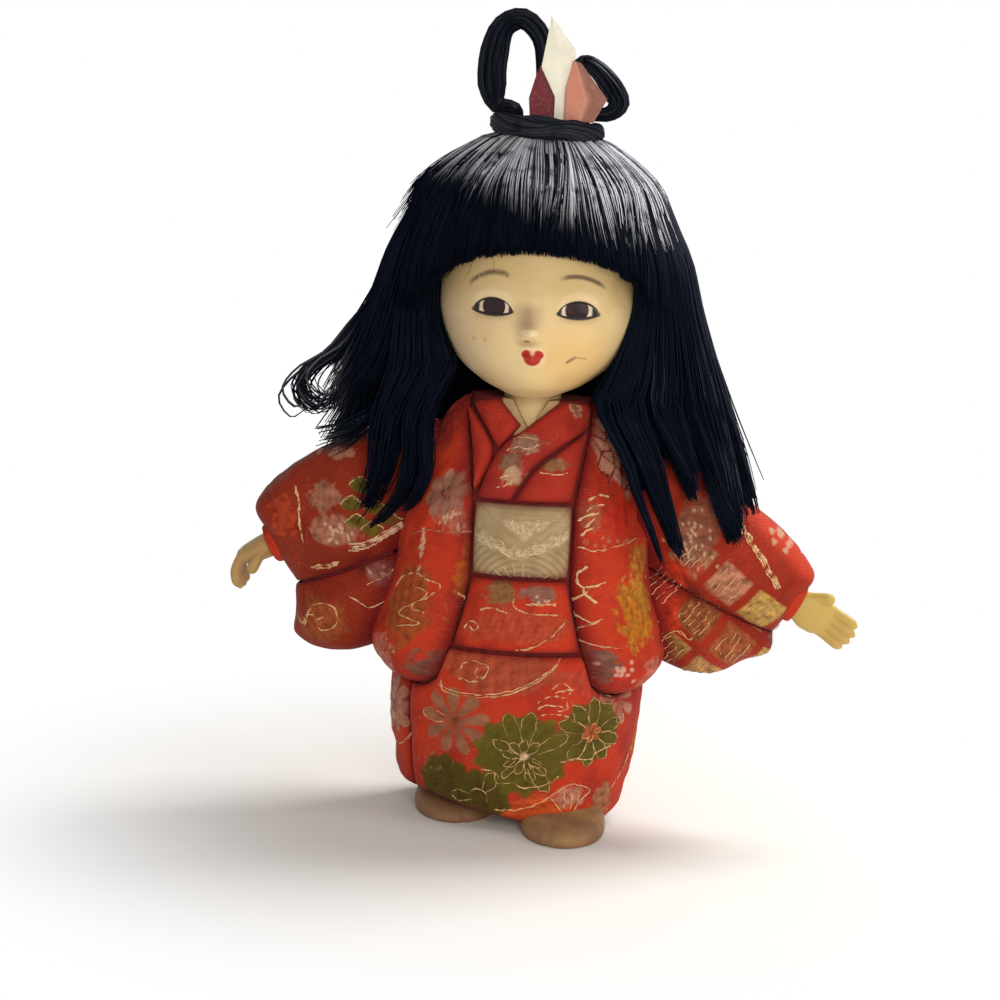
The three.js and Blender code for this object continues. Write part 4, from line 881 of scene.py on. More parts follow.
def panel(left, right, columns, rows, crown, seed, seat=SEAT, outside=None, bow=None, lift=0.0):
    """A padded sheet between two edges on the core.

    Its turn and height run straight from the left edge to the right one, less half a seam all round.
    It lies low on the core at its rim and rises over a quarter circle to its crown, or to the form
    outside, with soft dents from a sum of sine waves.
    """
    u, v = np.meshgrid(crowd(np.linspace(0, 1, columns + 1)), crowd(np.linspace(0, 1, rows + 1)))
    radius = JACKET_RADIUS if outside else CORE_RADIUS

    def place(u, v):
        (turn_a, z_a), (turn_b, z_b) = left(v), right(v)
        drop = bow(u) if bow else 0.0
        return mix(turn_a, turn_b, u), mix(z_a, z_b, u) - (1 - v) * drop

    gauge = CORE.at(*place(u, v))
    across = np.maximum(np.linalg.norm(np.diff(gauge, axis=1), axis=-1).sum(1)[:, None], 2 * SEAM)
    along = np.maximum(np.linalg.norm(np.diff(gauge, axis=0), axis=-1).sum(0)[None, :], 2 * SEAM)
    half = SEAM / 2
    u = np.clip(u, half / across, 1 - half / across)
    v = np.clip(v, half / along, 1 - half / along)
    turn, z = place(u, v)
    sideways = np.minimum(u, 1 - u) * across - half
    upward = np.minimum(v, 1 - v) * along - half
    width = np.minimum(1.6 * CLOTH_ROLL if outside else CLOTH_ROLL, np.minimum(across, along) / 2)
    full = roll(sideways, width) * roll(upward, width)
    dent = 0.4 * crumple(turn * radius, z, seed, 22) + 0.2 * crumple(turn * radius, z, seed + 50, 8)
    pucker = 0.3 * (1 - full) * crumple(turn * radius, z, seed + 90, 4.5)
    low = CORE.at(turn, z, seat + TUCK)
    if outside is None:
        high = CORE.at(turn, z, seat + CLOTH_EDGE + crown + lift + dent)
    else:
        high = outside.at(turn, z, lift + 1.3 * dent)
    share = np.clip(full + 0.25 * pucker * full, 0, 1.05)[..., None]
    return Sheet(mix(low, high, share), CORE.at(turn, z, seat), turn * radius, z, full)


def hem_bow(share):
    """The jacket's rounded front hem: how far it hangs, a share of the way from edge to side seam."""
    return 6 * np.sin(math.pi * np.clip(share, 0, 1) ** 0.6) ** 1.2


SIDE_TURN = 96 * DEGREE
FOLD_TURN = float(CORE.turn_at(opening(FOLD_Z), FOLD_Z))
CORNER_TURN = float(CORE.turn_at(21, JACKET_FRONT_Z))


def skirt_top(turn):
    """Height of the skirt's upper edge: under the fold, then along the jacket's hem."""
    past = (np.abs(turn) - FOLD_TURN) / (CORNER_TURN - FOLD_TURN)
    share = np.clip((np.abs(turn) - CORNER_TURN) / (SIDE_TURN - CORNER_TURN), 0, 1)
    hem = mix(JACKET_FRONT_Z, JACKET_HEM_Z, share) - hem_bow(share)
    return np.where(past < 1, mix(FOLD_Z, JACKET_FRONT_Z, np.clip(past, 0, 1)), hem)


def lap_hem(turn):
    """Height of the front lap's hem, which hangs lower on the doll's left."""
    turn = turn / DEGREE
    return HEM_Z - 7.6 * np.clip((turn + 45) / 75, 0, 1) * np.clip((108 - turn) / 60, 0, 1)


def level_hem(turn):
    """Height of the hem at the side and back."""
    return np.full(np.shape(turn), HEM_Z)


def scatter(dye, spots):
    """Flowers and patches of seeded kind at places of u and v, where the front view doesn't reach."""
    rng = dye.dice()
    fills = (GREEN, MAUVE, TAN, PINK, OCHRE, OLIVE)
    dye.seen = np.asarray
    for place in spots:
        fill = fills[rng.integers(len(fills))]
        size = rng.uniform(6, 10)
        if rng.uniform() < 0.6:
            dye.flower(place, size, int(rng.integers(8, 13)), fill, rings=(1.0, 0.6), edged=0.5)
        else:
            dye.patch(place, (size, 0.8 * size), fill)
            dye.dots(place, size, 24, 0.5)
        x, z = place
        away = size + rng.uniform(1, 4)
        bowl = ((x - away, z - 3), (x - 0.5 * away, z - away), (x + 0.4 * away, z - away), (x + away, z))
        dye.lines(bowl)


class MakeSkirt(bpy.types.Operator):
    """Front lap, side and back of the skirt"""

    bl_idname = "doll.make_skirt"
    bl_label = "Skirt"

    def execute(self, context):
        spots = {
            "skirt_side": ((-41, 33), (-54, 20), (-64, 40)),
            "skirt_back": ((58, 24), (75, 38), (88, 18), (103, 36), (118, 20), (129, 40)),
        }
        for name, first, last, hem, rows in (
            ("skirt_front", -60, 84, lap_hem, 250),
            ("skirt_side", -125, -60, level_hem, 70),
            ("skirt_back", 84, 235, level_hem, 150),
        ):
            turns = (first * DEGREE, last * DEGREE)
            sheet = panel(
                lambda v: (mix(*turns, v), hem(mix(*turns, v))),
                lambda v: (mix(*turns, v), skirt_top(mix(*turns, v))), 112 if rows > 150 else 75, rows,
                context.scene.doll_cloth.crown, rows,
            )
            dye = Dye(sheet, rows, seen=on_core)
            if name == "skirt_front":
                self.front(dye)
            else:
                scatter(dye, spots[name])
            dress(name, sheet, dye, "brocade")
        return {"FINISHED"}

    def front(self, dye):
        """Chrysanthemums, an open daisy, a shell, waves and a butterfly on the lap."""
        dye.patch((-5, 49), (17, 7.5), (0.36, 0.075, 0.035), 0.75)
        dye.patch((22, 46), (7, 5), (0.42, 0.05, 0.03), 0.6)
        dye.patch((8, 6), (22, 6), (0.62, 0.1, 0.015), 0.6)
        dye.flower((31.5, 40), 7, 7, PINK, 0.3, plump=0.8, edged=0.8, base=0.2)
        dye.patch((28, 10), (4, 5), TAN, 0.9)
        dye.flower((-17, 33), 10, 9, TAN, 0.2, plump=0.82, edged=0.25, base=0.1)
        dye.patch((-17, 33), 1.5, (0.2, 0.06, 0.02))
        dye.flower((-19, 14), 9, 9, DARK_GREEN, 0.1, edged=0, base=0.95, under=0.95)
        dye.flower((-8, 11), 9, 9, DARK_GREEN, 0.4, edged=0.15, base=0.95, under=0.95)
        dye.flower((23.8, 31.5), 10.4, 10, GREEN, 0.3, edged=0.8, base=0.95, under=0.8)
        dye.flower((23.8, 31.5), 3, 6, (0.5, 0.12, 0.03), 0.3, edged=0.7)
        dye.flower((4, 24.8), 13.4, 13, GREEN, 0.0, (1.0, 0.66), edged=0.25, base=0.95, under=0.95)
        dye.flower((4.4, 24.4), 5.6, 9, GREEN, 0.2, edged=0.8, under=0.8)
        dye.patch((4.4, 24.6), 1.2, PALE)
        dye.patch((18.6, 12), (4.6, 3), PINK, 0.8)
        dye.dots((-24, 22), (5, 9), 24, 0.35, TAN)
        arc = ((-21.5, 43.3), (-20.7, 41.8), (-10.5, 41), (1.4, 43.5), (9.9, 48.5), (13.6, 52.4))
        curl = (
            (-16.4, 47.2), (-14.8, 50.2), (-10.6, 50.9), (-7.6, 49), (-8.6, 46.6), (-11.4, 47),
            (-10.8, 49),
        )
        wave = (
            (-8.1, 19.6), (-4.1, 19.3), (-3.5, 16.1), (1.3, 16.1), (4.5, 14.9), (11.2, 16.1),
            (14.7, 18.7),
        )
        dye.lines(
            arc, np.array(arc) + (0.2, 0.8), curl, ((-16.2, 45.6), (-13.4, 45.2), (-9.5, 45.4)),
            ((7.6, 40.6), (9.8, 42), (13.6, 42.4)), ((7.6, 38.8), (10.6, 40), (15, 39.6)),
            ((8.4, 37.2), (12.6, 37.6), (17, 36.6)), ((11.6, 44.4), (14, 46), (17.6, 44.2)),
            ((12.4, 43.2), (15.4, 44.2), (17.6, 44.2)), ((13.4, 42.4), (16, 42.2), (17, 43.4)),
            ((13.6, 38.4), (15.8, 39), (16, 41)), wave,
            ((15, 23), (18.6, 24), (24.4, 23.3), (25.4, 24.9), (29.4, 26.8)),
            ((-3.5, 7.4), (2.7, 7.7), (9.9, 10.6), (13.7, 13.5)),
            ((12, 6.2), (16, 5.4), (21, 5.6), (24, 7.2)),
            ((-11.4, 12.2), (-9.4, 13.6), (-6.6, 12.6), (-5.6, 10.2)),
            ((12.6, 12.2), (18.6, 16), (24.2, 13.6), (20.6, 10), (18.4, 5.6), (12.6, 12.2)),
            ((16.4, 13.6), (16.9, 10.8), (16.6, 8.6)), ((18.4, 14.2), (19, 11.4), (18.6, 8.4)),
            ((20.6, 14.2), (21, 12.4), (20.6, 10.8)), ((29.4, 12.1), (32.8, 17.2), (35.5, 24.4)),
        )


class MakeWaist(bpy.types.Operator):
    """Sash and the fold of cloth under it"""

    bl_idname = "doll.make_waist"
    bl_label = "Sash and waist fold"

    def execute(self, context):
        cloth = context.scene.doll_cloth
        edges = opening_edge(-1, FOLD_Z, OBI_Z), opening_edge(1, FOLD_Z, OBI_Z)
        fold = panel(*edges, 130, 70, cloth.crown + 0.7, 3)
        dye = Dye(fold, 5, seen=on_core)
        dye.patch((0, 62), (15, 5), (0.4, 0.07, 0.03), 0.6)
        dye.patch((-4.9, 72), (4.6, 3.4), (0.2, 0.13, 0.05))
        dye.patch((6.4, 72), (4.6, 2.6), MAUVE)
        dye.dots((8, 70), (4, 1.5), 9, 0.4)
        dye.lines(
            ((-1, 72), (-1, 68.4), (2.5, 66.6), (7, 66.2), (11.6, 66.2)),
            ((2.4, 69), (6.4, 69.2), (11, 69)), ((0, 55.3), (5, 56.4), (10.4, 60), (14.6, 64.7)),
            ((-15.4, 60.4), (-13.4, 62.8), (-11, 61.8), (-12.2, 60.2), (-13.6, 61)),
            ((-11, 66.4), (-7.6, 67.2), (-3, 66.2)),
        )
        dress("waist_fold", fold, dye, "brocade")
        edges = opening_edge(-1, OBI_Z, OBI_TOP_Z), opening_edge(1, OBI_Z, OBI_TOP_Z)
        sash = panel(*edges, 130, 90, 2.7, 7)
        dye = Dye(sash, 9, tuple(cloth.sash), (0.34, 0.25, 0.13), on_core)
        self.sash(dye, tuple(cloth.sash_thread))
        dress("obi_front", sash, dye, "sash_cloth")
        return {"FINISHED"}

    def sash(self, dye, thread):
        """Two shallow Vs of broken wavy bands, with fan ribs under them and rows over them."""
        x, z = dye.grid[..., 0], dye.grid[..., 1]
        sway = 0.5 * np.sin(1.3 * x) + 0.4 * dye.cloud(5)
        upper = z - 87.6 - 0.72 * np.abs(x - 0.8) + 0.4 * sway
        lower = z - 81.8 - 0.4 * np.abs(x + 0.6) + sway
        fan = np.hypot(x - 1, z - 70)
        rows = 0.5 + 0.5 * np.sin(fan * TURN / 1.9)
        dye.lay(0.55 * ease(rows * 2 - 0.8) * ease(-lower), (0.25, 0.17, 0.085))
        dye.lay(0.3 * ease(np.sin(z * TURN / 1.5)) * ease(upper - 1), (0.28, 0.2, 0.1))
        broken = ease(0.9 + 1.3 * dye.cloud(3))
        dye.lay(0.8 * ease(1.6 - np.abs(lower - 1.6)) * broken, thread)
        dye.lay(0.75 * ease(upper / 0.8) * ease((93.5 - z) / 0.8) * broken, thread)
        dye.lay(0.5 * ease(0.7 - np.abs(upper + 0.9)), (0.22, 0.15, 0.075))
        dye.lay(0.5 * ease(0.7 - np.abs(lower - 3.9)), (0.22, 0.15, 0.075))
        steps = np.linspace(-1, 1, STEPS)
        reach, level = 12.5 * steps, np.arange(9)[:, None]
        waves = 0.35 * np.sin(9 * steps + level)
        low = np.stack([reach - 0.6 + 0 * level, 82.2 + 0.4 * np.abs(reach) + 0.42 * level + waves], -1)
        short = (7.5 - 0.7 * level) * steps
        high = np.stack([short + 0.8, 88 + 0.72 * np.abs(short) + 0.6 * level + waves], -1)
        spokes = np.linspace(-0.9, 0.9, 9)[:, None]
        out = np.linspace(6.6, 11, STEPS)
        ribs = np.stack([1 + 1.25 * out * np.sin(spokes), 70 + out * np.cos(spokes) + 0 * spokes], -1)
        dye.sew(dye.seen(np.concatenate([low[:7], high[:6]])), thread, 0.2, 2)
        dye.sew(dye.seen(ribs), thread, 0.15, 2)


class MakeNeckline(bpy.types.Operator):
    """Crossed collars, nape collar and the two bodice panels"""

    bl_idname = "doll.make_neckline"
    bl_label = "Collars and bodice"

    def execute(self, context):
        crown = context.scene.doll_cloth.crown
        rise = THROAT_Z - OBI_TOP_Z
        wide = float(opening(THROAT_Z))
        throat = (-1, THROAT_Z)
        crossing = (-8.6, OBI_TOP_Z + 0.66 * rise)
        foot = (-float(opening(OBI_TOP_Z)), OBI_TOP_Z + 0.2)
        left_shoulder = (wide - 0.8, OBI_TOP_Z + 0.98 * rise)
        left_nape = (wide - 0.1, mix(THROAT_Z, COLLAR_Z, 0.8))
        right_shoulder = (-wide + 0.2, mix(THROAT_Z, COLLAR_Z, 0.72))
        lap = ((-3.4, OBI_TOP_Z), (2, OBI_TOP_Z + 0.42 * rise), (9, OBI_TOP_Z + 0.71 * rise))
        nape = 99 * DEGREE
        low = THROAT_Z + 2
        bodice_right = (
            (foot[0] + 0.9, foot[1] + 2.2), (crossing[0] - 0.6, crossing[1] + 0.2),
            (right_shoulder[0] + 0.6, right_shoulder[1] - 1.5),
        )
        bodice_left_top = (left_shoulder[0] - 1.4, left_shoulder[1] - 1)
        made = (
            ("kimono_collar_left", front_edge(foot, crossing, throat, (8.4, COLLAR_Z)),
             front_edge(*lap, left_shoulder, left_nape), crown, 0.9),
            ("kimono_collar_right", front_edge(crossing, right_shoulder),
             front_edge((throat[0] - 0.8, throat[1] + 0.8), (-8.4, COLLAR_Z)), crown, 0.0),
            ("kimono_collar_nape", upright_edge(nape, low, COLLAR_Z),
             upright_edge(TURN - nape, low, COLLAR_Z), 0.7, 0.0),
            ("kimono_bodice_right", opening_edge(-1, foot[1] + 2, right_shoulder[1] - 2),
             front_edge(*bodice_right), crown, 0.0),
            ("kimono_bodice_left", front_edge(*lap, bodice_left_top),
             opening_edge(1, OBI_TOP_Z, left_shoulder[1] - 1), crown, 0.0),
        )
        for seed, (name, left, right, height, lift) in enumerate(made):
            sheet = panel(left, right, 64, 90, height, seed + 20, lift=lift)
            dye = Dye(sheet, seed + 1, (0.42, 0.03, 0.016), (0.3, 0.022, 0.016), on_core)
            if name == "kimono_collar_left":
                self.collar(dye)
            elif name == "kimono_bodice_left":
                dye.patch((8.5, 108.6), (4.2, 2.4), (0.26, 0.15, 0.07))
                dye.lines(((4.6, 106.4), (8.6, 105.6), (12.6, 106.2)))
            slot = "collar_cloth" if "collar" in name else "brocade"
            dress(name, sheet, dye, slot)
        return {"FINISHED"}

    def collar(self, dye):
        """A cloud near the throat, a smaller one below it and petals at the shoulder."""
        dye.patch((-0.4, 113.8), (5.6, 2.8), (0.3, 0.19, 0.13))
        dye.patch((-4.6, 108), (3.6, 3.4), (0.2, 0.13, 0.08))
        dye.patch((-3.6, 104.6), (3.6, 2.2), (0.5, 0.33, 0.2))
        dye.flower((13.6, 124.4), 3.2, 6, PINK, edged=0.5)
        dye.lines(
            ((-5.8, 111.6), (-2.4, 113), (0, 112.2), (3.4, 113.6)),
            ((-4.2, 115.4), (-1.4, 115.8), (2.8, 115.2)), ((-8.4, 103.6), (-5.6, 104.4), (-3.2, 106)),
            ((-8, 101.4), (-5.4, 102.2), (-3.6, 103.6)),
        )


class MakeJacket(bpy.types.Operator):
    """Fronts and back of the open jacket"""

    bl_idname = "doll.make_jacket"
    bl_label = "Jacket"

    def execute(self, context):
        seat = SEAT + 0.5
        right_seam = upright_edge(-SIDE_TURN, JACKET_HEM_Z, JACKET_FRONT_TOP_Z)
        left_seam = upright_edge(SIDE_TURN, JACKET_HEM_Z, JACKET_FRONT_TOP_Z)
        right_edge = opening_edge(-1, JACKET_FRONT_Z, JACKET_FRONT_TOP_Z)
        left_edge = opening_edge(1, JACKET_FRONT_Z, JACKET_FRONT_TOP_Z)
        back = [upright_edge(turn, JACKET_HEM_Z, JACKET_TOP_Z) for turn in (SIDE_TURN, TURN - SIDE_TURN)]
        right = panel(right_seam, right_edge, 132, 168, 0, 40, seat, JACKET, lambda u: hem_bow(1 - u))
        left = panel(left_edge, left_seam, 132, 168, 0, 41, seat, JACKET, hem_bow)
        back = panel(*back, 126, 90, 0, 42, seat, JACKET)
        dyes = [Dye(sheet, 50 + k, seen=on_jacket) for k, sheet in enumerate((right, left, back))]
        self.right(dyes[0])
        self.left(dyes[1])
        places = ((75, 70), (92, 102), (103, 62), (118, 90), (130, 108), (140, 74), (158, 96), (168, 64))
        scatter(dyes[2], places)
        dress("haori_front_right", right, dyes[0], "brocade")
        dress("haori_front_left", left, dyes[1], "brocade")
        dress("haori_back", back, dyes[2], "brocade")
        return {"FINISHED"}

    def right(self, dye):
        """A mauve flower, beads, a brown-gold scroll and a grey patch at the hem."""
        dye.patch((-25, 118), (9, 9), CRIMSON, 0.7)
        dye.patch((-33, 66), (8.5, 12), (0.3, 0.075, 0.015), 0.8)
        dye.patch((-18, 77), (3.6, 13), (0.56, 0.16, 0.012), 0.75)
        dye.patch((-41, 49), (5, 6), PINK, 0.55)
        dye.flower((-24, 98.8), 7.4, 8, (0.38, 0.19, 0.13), 0.3, plump=0.9, edged=0, base=0.6, under=0.6)
        dye.dots((-24, 98.8), 2, 6, 0.5, (0.05, 0.02, 0.02))
        dye.patch((-21.4, 91.6), (5.4, 3.4), (0.42, 0.16, 0.1), 0.7)
        dye.dots((-21.4, 91.6), (5.4, 3), 22, 0.4)
        dye.dots((-29.4, 81.6), (0.7, 6), 22, 0.55)
        dye.patch((-28, 47.2), (6.6, 5.4), (0.17, 0.085, 0.06), 0.95)
        dye.dots((-24.6, 45), 4, 14, 0.5, (0.7, 0.45, 0.36))
        dye.dots((-40.5, 47.4), 5, 16, 0.5, (0.6, 0.3, 0.22))
        dye.dots((-22.5, 60), (3, 12), 18, 0.35, OCHRE)
        scroll = ((-31.6, 71.4), (-28, 69.9), (-29.8, 67.1), (-33.9, 64.2), (-34.9, 62.5), (-31.7, 61.6))
        dye.lines(
            (*scroll, (-29.5, 60.6), (-35.8, 58.7)), np.array(scroll) + (3.4, 2.4),
            ((-36.5, 69.5), (-34, 73.5), (-30.4, 74.8), (-27.6, 73.2)),
            ((-21, 70.5), (-19.6, 66), (-21.4, 62), (-20.2, 57)),
        )
        dye.lines(((-33, 85.6), (-28, 88), (-22, 88.2), (-16, 89)), colour=(0.5, 0.12, 0.08), half=0.36)

    def left(self, dye):
        """A cracked pink patch, slanted strokes, a mossy ochre patch, a branch and a zigzag."""
        dye.patch((28.5, 119), (9, 8), CRIMSON, 0.6)
        dye.cracked((25, 112.6), (8, 11), (0.5, 0.24, 0.16), 46)
        dye.patch((21.3, 95), (3.6, 4), TAN, 0.6)
        dye.patch((29, 95.6), (5, 5), (0.5, 0.022, 0.01), 0.9)
        dye.patch((34.1, 82), (5.4, 5), (0.36, 0.13, 0.02), 0.85)
        dye.patch((34.5, 67), (7.2, 9.4), OCHRE, 0.95)
        dye.patch((36.5, 70), (3.4, 5), (0.34, 0.17, 0.02), 0.6)
        dye.dots((33.5, 74), (7, 14), 40, 0.4, (0.6, 0.36, 0.06))
        dye.patch((28.1, 51.6), (5.4, 5.2), (0.18, 0.09, 0.065), 0.95)
        dye.dots((33.9, 50.6), (4, 4), 16, 0.55, (0.7, 0.42, 0.34))
        dye.patch((41.5, 48.5), (5, 5), PINK, 0.5)
        dye.dots((27.2, 87.9), (8, 1.2), 14, 0.45, PINK)
        dye.lines(
            ((20.2, 96.7), (21.9, 98.2), (24, 98.6)), ((18.7, 93.8), (20.7, 95.6), (23, 96.3)),
            ((19.4, 91.6), (20.9, 93.2), (22, 94.6)), ((20.5, 99.6), (22.5, 101), (24.9, 101)),
            ((19.5, 89.6), (20.7, 91), (21.9, 92)),
            ((21.1, 80.6), (19.6, 77.7), (20.9, 74.4), (25.8, 76.3)),
            ((20.9, 74.4), (21.6, 72.7), (24.5, 70)), ((19.9, 70.6), (21.6, 72.7), (22.9, 75.2)),
            half=0.55,
        )
        dye.lines(
            ((21.1, 66.4), (24.3, 64.3), (26.4, 65.6)),
            ((26.4, 65.6), (22.8, 61.4), (25.2, 58.1), (30.3, 57.2), (33.1, 57.4)),
            ((19.1, 86.2), (23.5, 85.2), (27.5, 86.6), (33.5, 88.4)),
            ((39.9, 84), (39.7, 76), (41.5, 70.3), (40.9, 62.8)),
        )


# Sleeves

SLEEVE_DEPTH = 13.0
SLEEVE_PADDING = 2.6
ARM_Z = 99.0
SLEEVE_SHAPES = {
    "right": dict(reach=80, drop=9.5, cuff=25, rise=17),
    "left": dict(reach=85, drop=20, cuff=20, rise=10),
}


class Sleeve:
    """A flat padded sleeve: a closed outline round a middle that lies on its seam."""

    def __init__(self, name, sign):
        shape = SLEEVE_SHAPES[name]
        root, top = 27, OBI_TOP_Z + shape["rise"]
        tip = np.array([shape["reach"], OBI_TOP_Z - shape["drop"]])
        cuff_foot = tip - np.array([0.5, 0.87]) * shape["cuff"]
        seam_root = np.array([root, OBI_TOP_Z - 15])
        bag = OBI_TOP_Z - 49
        self.sign = sign
        self.cuff_foot = cuff_foot
        self.middle = (seam_root + cuff_foot) / 2
        self.seam_way = (cuff_foot - seam_root) / np.linalg.norm(cuff_foot - seam_root)
        self.outline = np.array(
            [
                cuff_foot,
                mix(tip, cuff_foot, 0.45),
                tip,
                (mix(tip[0], root, 0.3), mix(tip[1], top, 0.58)),
                (mix(tip[0], root, 0.66), OBI_TOP_Z + 0.9 * shape["rise"]),
                (root, top),
                seam_root,
                (root + 6, mix(seam_root[1], bag, 0.62)),
                (mix(root, 57, 0.6), bag + 2),
                (57, bag),
                (67, bag + 4),
                (cuff_foot[0] - 1, mix(cuff_foot[1], bag, 0.42)),
            ]
        )

    def rim(self, t):
        """Outline point at position t, counted in outline corners."""
        return through(self.outline, t, closed=True)

    def kept(self, flat):
        """Share of the depth that is kept: less along the seam, and under the arm beside the body."""
        x, z = flat[..., 0], flat[..., 1]
        aside = flat - self.middle
        from_seam = aside[..., 0] * self.seam_way[1] - aside[..., 1] * self.seam_way[0]
        beside = 1 - ease((x - 36) / 18)
        below = ease((ARM_Z - 2 - z) / 14)
        return (1 - 0.3 * np.exp(-((from_seam / 5) ** 2))) * (1 - 0.45 * beside * below)

    def spot(self, t, share, face, rise):
        """Point a share of the way out to the rim: its depth falls off like a flattened circle."""
        out = self.rim(t) - self.middle
        reach = np.linalg.norm(out, axis=-1, keepdims=True)
        share = np.asarray(share)[..., None]
        rise = np.asarray(rise)[..., None]
        flat = self.middle + out / reach * share * (reach + rise)
        bulge = np.sqrt(np.maximum(0, 1 - share**2.6))
        depth = face * (SLEEVE_DEPTH * self.kept(flat)[..., None] + rise) * bulge
        return np.concatenate([self.sign * flat[..., :1], depth, flat[..., 1:]], -1)

    def panel(self, first, last, face, seed):
        """One padded panel between two rim positions, straight along the seam and creased near the cuff."""
        fine = (187, 69) if face < 0 else (131, 49)
        shares = np.sqrt(np.linspace(0, 1, fine[1])) * 0.998
        t, share = np.meshgrid(np.linspace(first, last, fine[0]), shares)
        aside = (self.rim(t) - self.middle) * share[..., None]
        from_seam = np.abs(aside[..., 0] * self.seam_way[1] - aside[..., 1] * self.seam_way[0])
        full = roll(from_seam, CLOTH_ROLL) * roll((1 - share) * 30 + 1.2, CLOTH_ROLL)
        u, v = aside[..., 0] + self.middle[0], aside[..., 1] + self.middle[1]
        dent = 0.5 * crumple(u, v, seed, 20) + 0.25 * crumple(u, v, seed + 5, 8)
        cuff_way = unit(self.outline[2] - self.cuff_foot)
        from_cuff = (self.cuff_foot[0] - u) * cuff_way[1] - (self.cuff_foot[1] - v) * cuff_way[0]
        crease = 0.9 * np.exp(-(((from_cuff - 6.2) / 0.8) ** 2)) + 0.5 * ease((6.2 - from_cuff) / 2)
        dent = dent - crease * (first == 0)
        outer = self.spot(t, share, face, SEAT + TUCK + (SLEEVE_PADDING - TUCK + dent) * full)
        inner = self.spot(t, share, face, np.full(t.shape, SEAT))
        gap = SEAM / 2 if self.sign < 0 else SEAM / 6
        away = (0, 0, gap if first == 0 else -gap)
        return Sheet(outer + away, inner + away, self.sign * u, v, full)

    def wrist(self):
        """Where the wrist starts and the way it points."""
        cuff = self.rim(1.0)
        dip = 28 * DEGREE
        way = np.array([self.sign * math.cos(dip), 0, -math.sin(dip)])
        mouth = np.array([self.sign * cuff[0], 0, cuff[1]]) + way * 2.4
        return mouth - way * 9.0, way


NET_X, NET_Z = 61.2, 67.4
NET_WIDE, NET_TALL = 12.3, 12.0
# Painted shade: the sleeves get a darker ground than the body's brocade, the doll's right sleeve darker
# still, for the side away from the light.
SLEEVE_GROUNDS_SHADED = {"right": (0.29, 0.027, 0.008), "left": (0.37, 0.028, 0.009)}


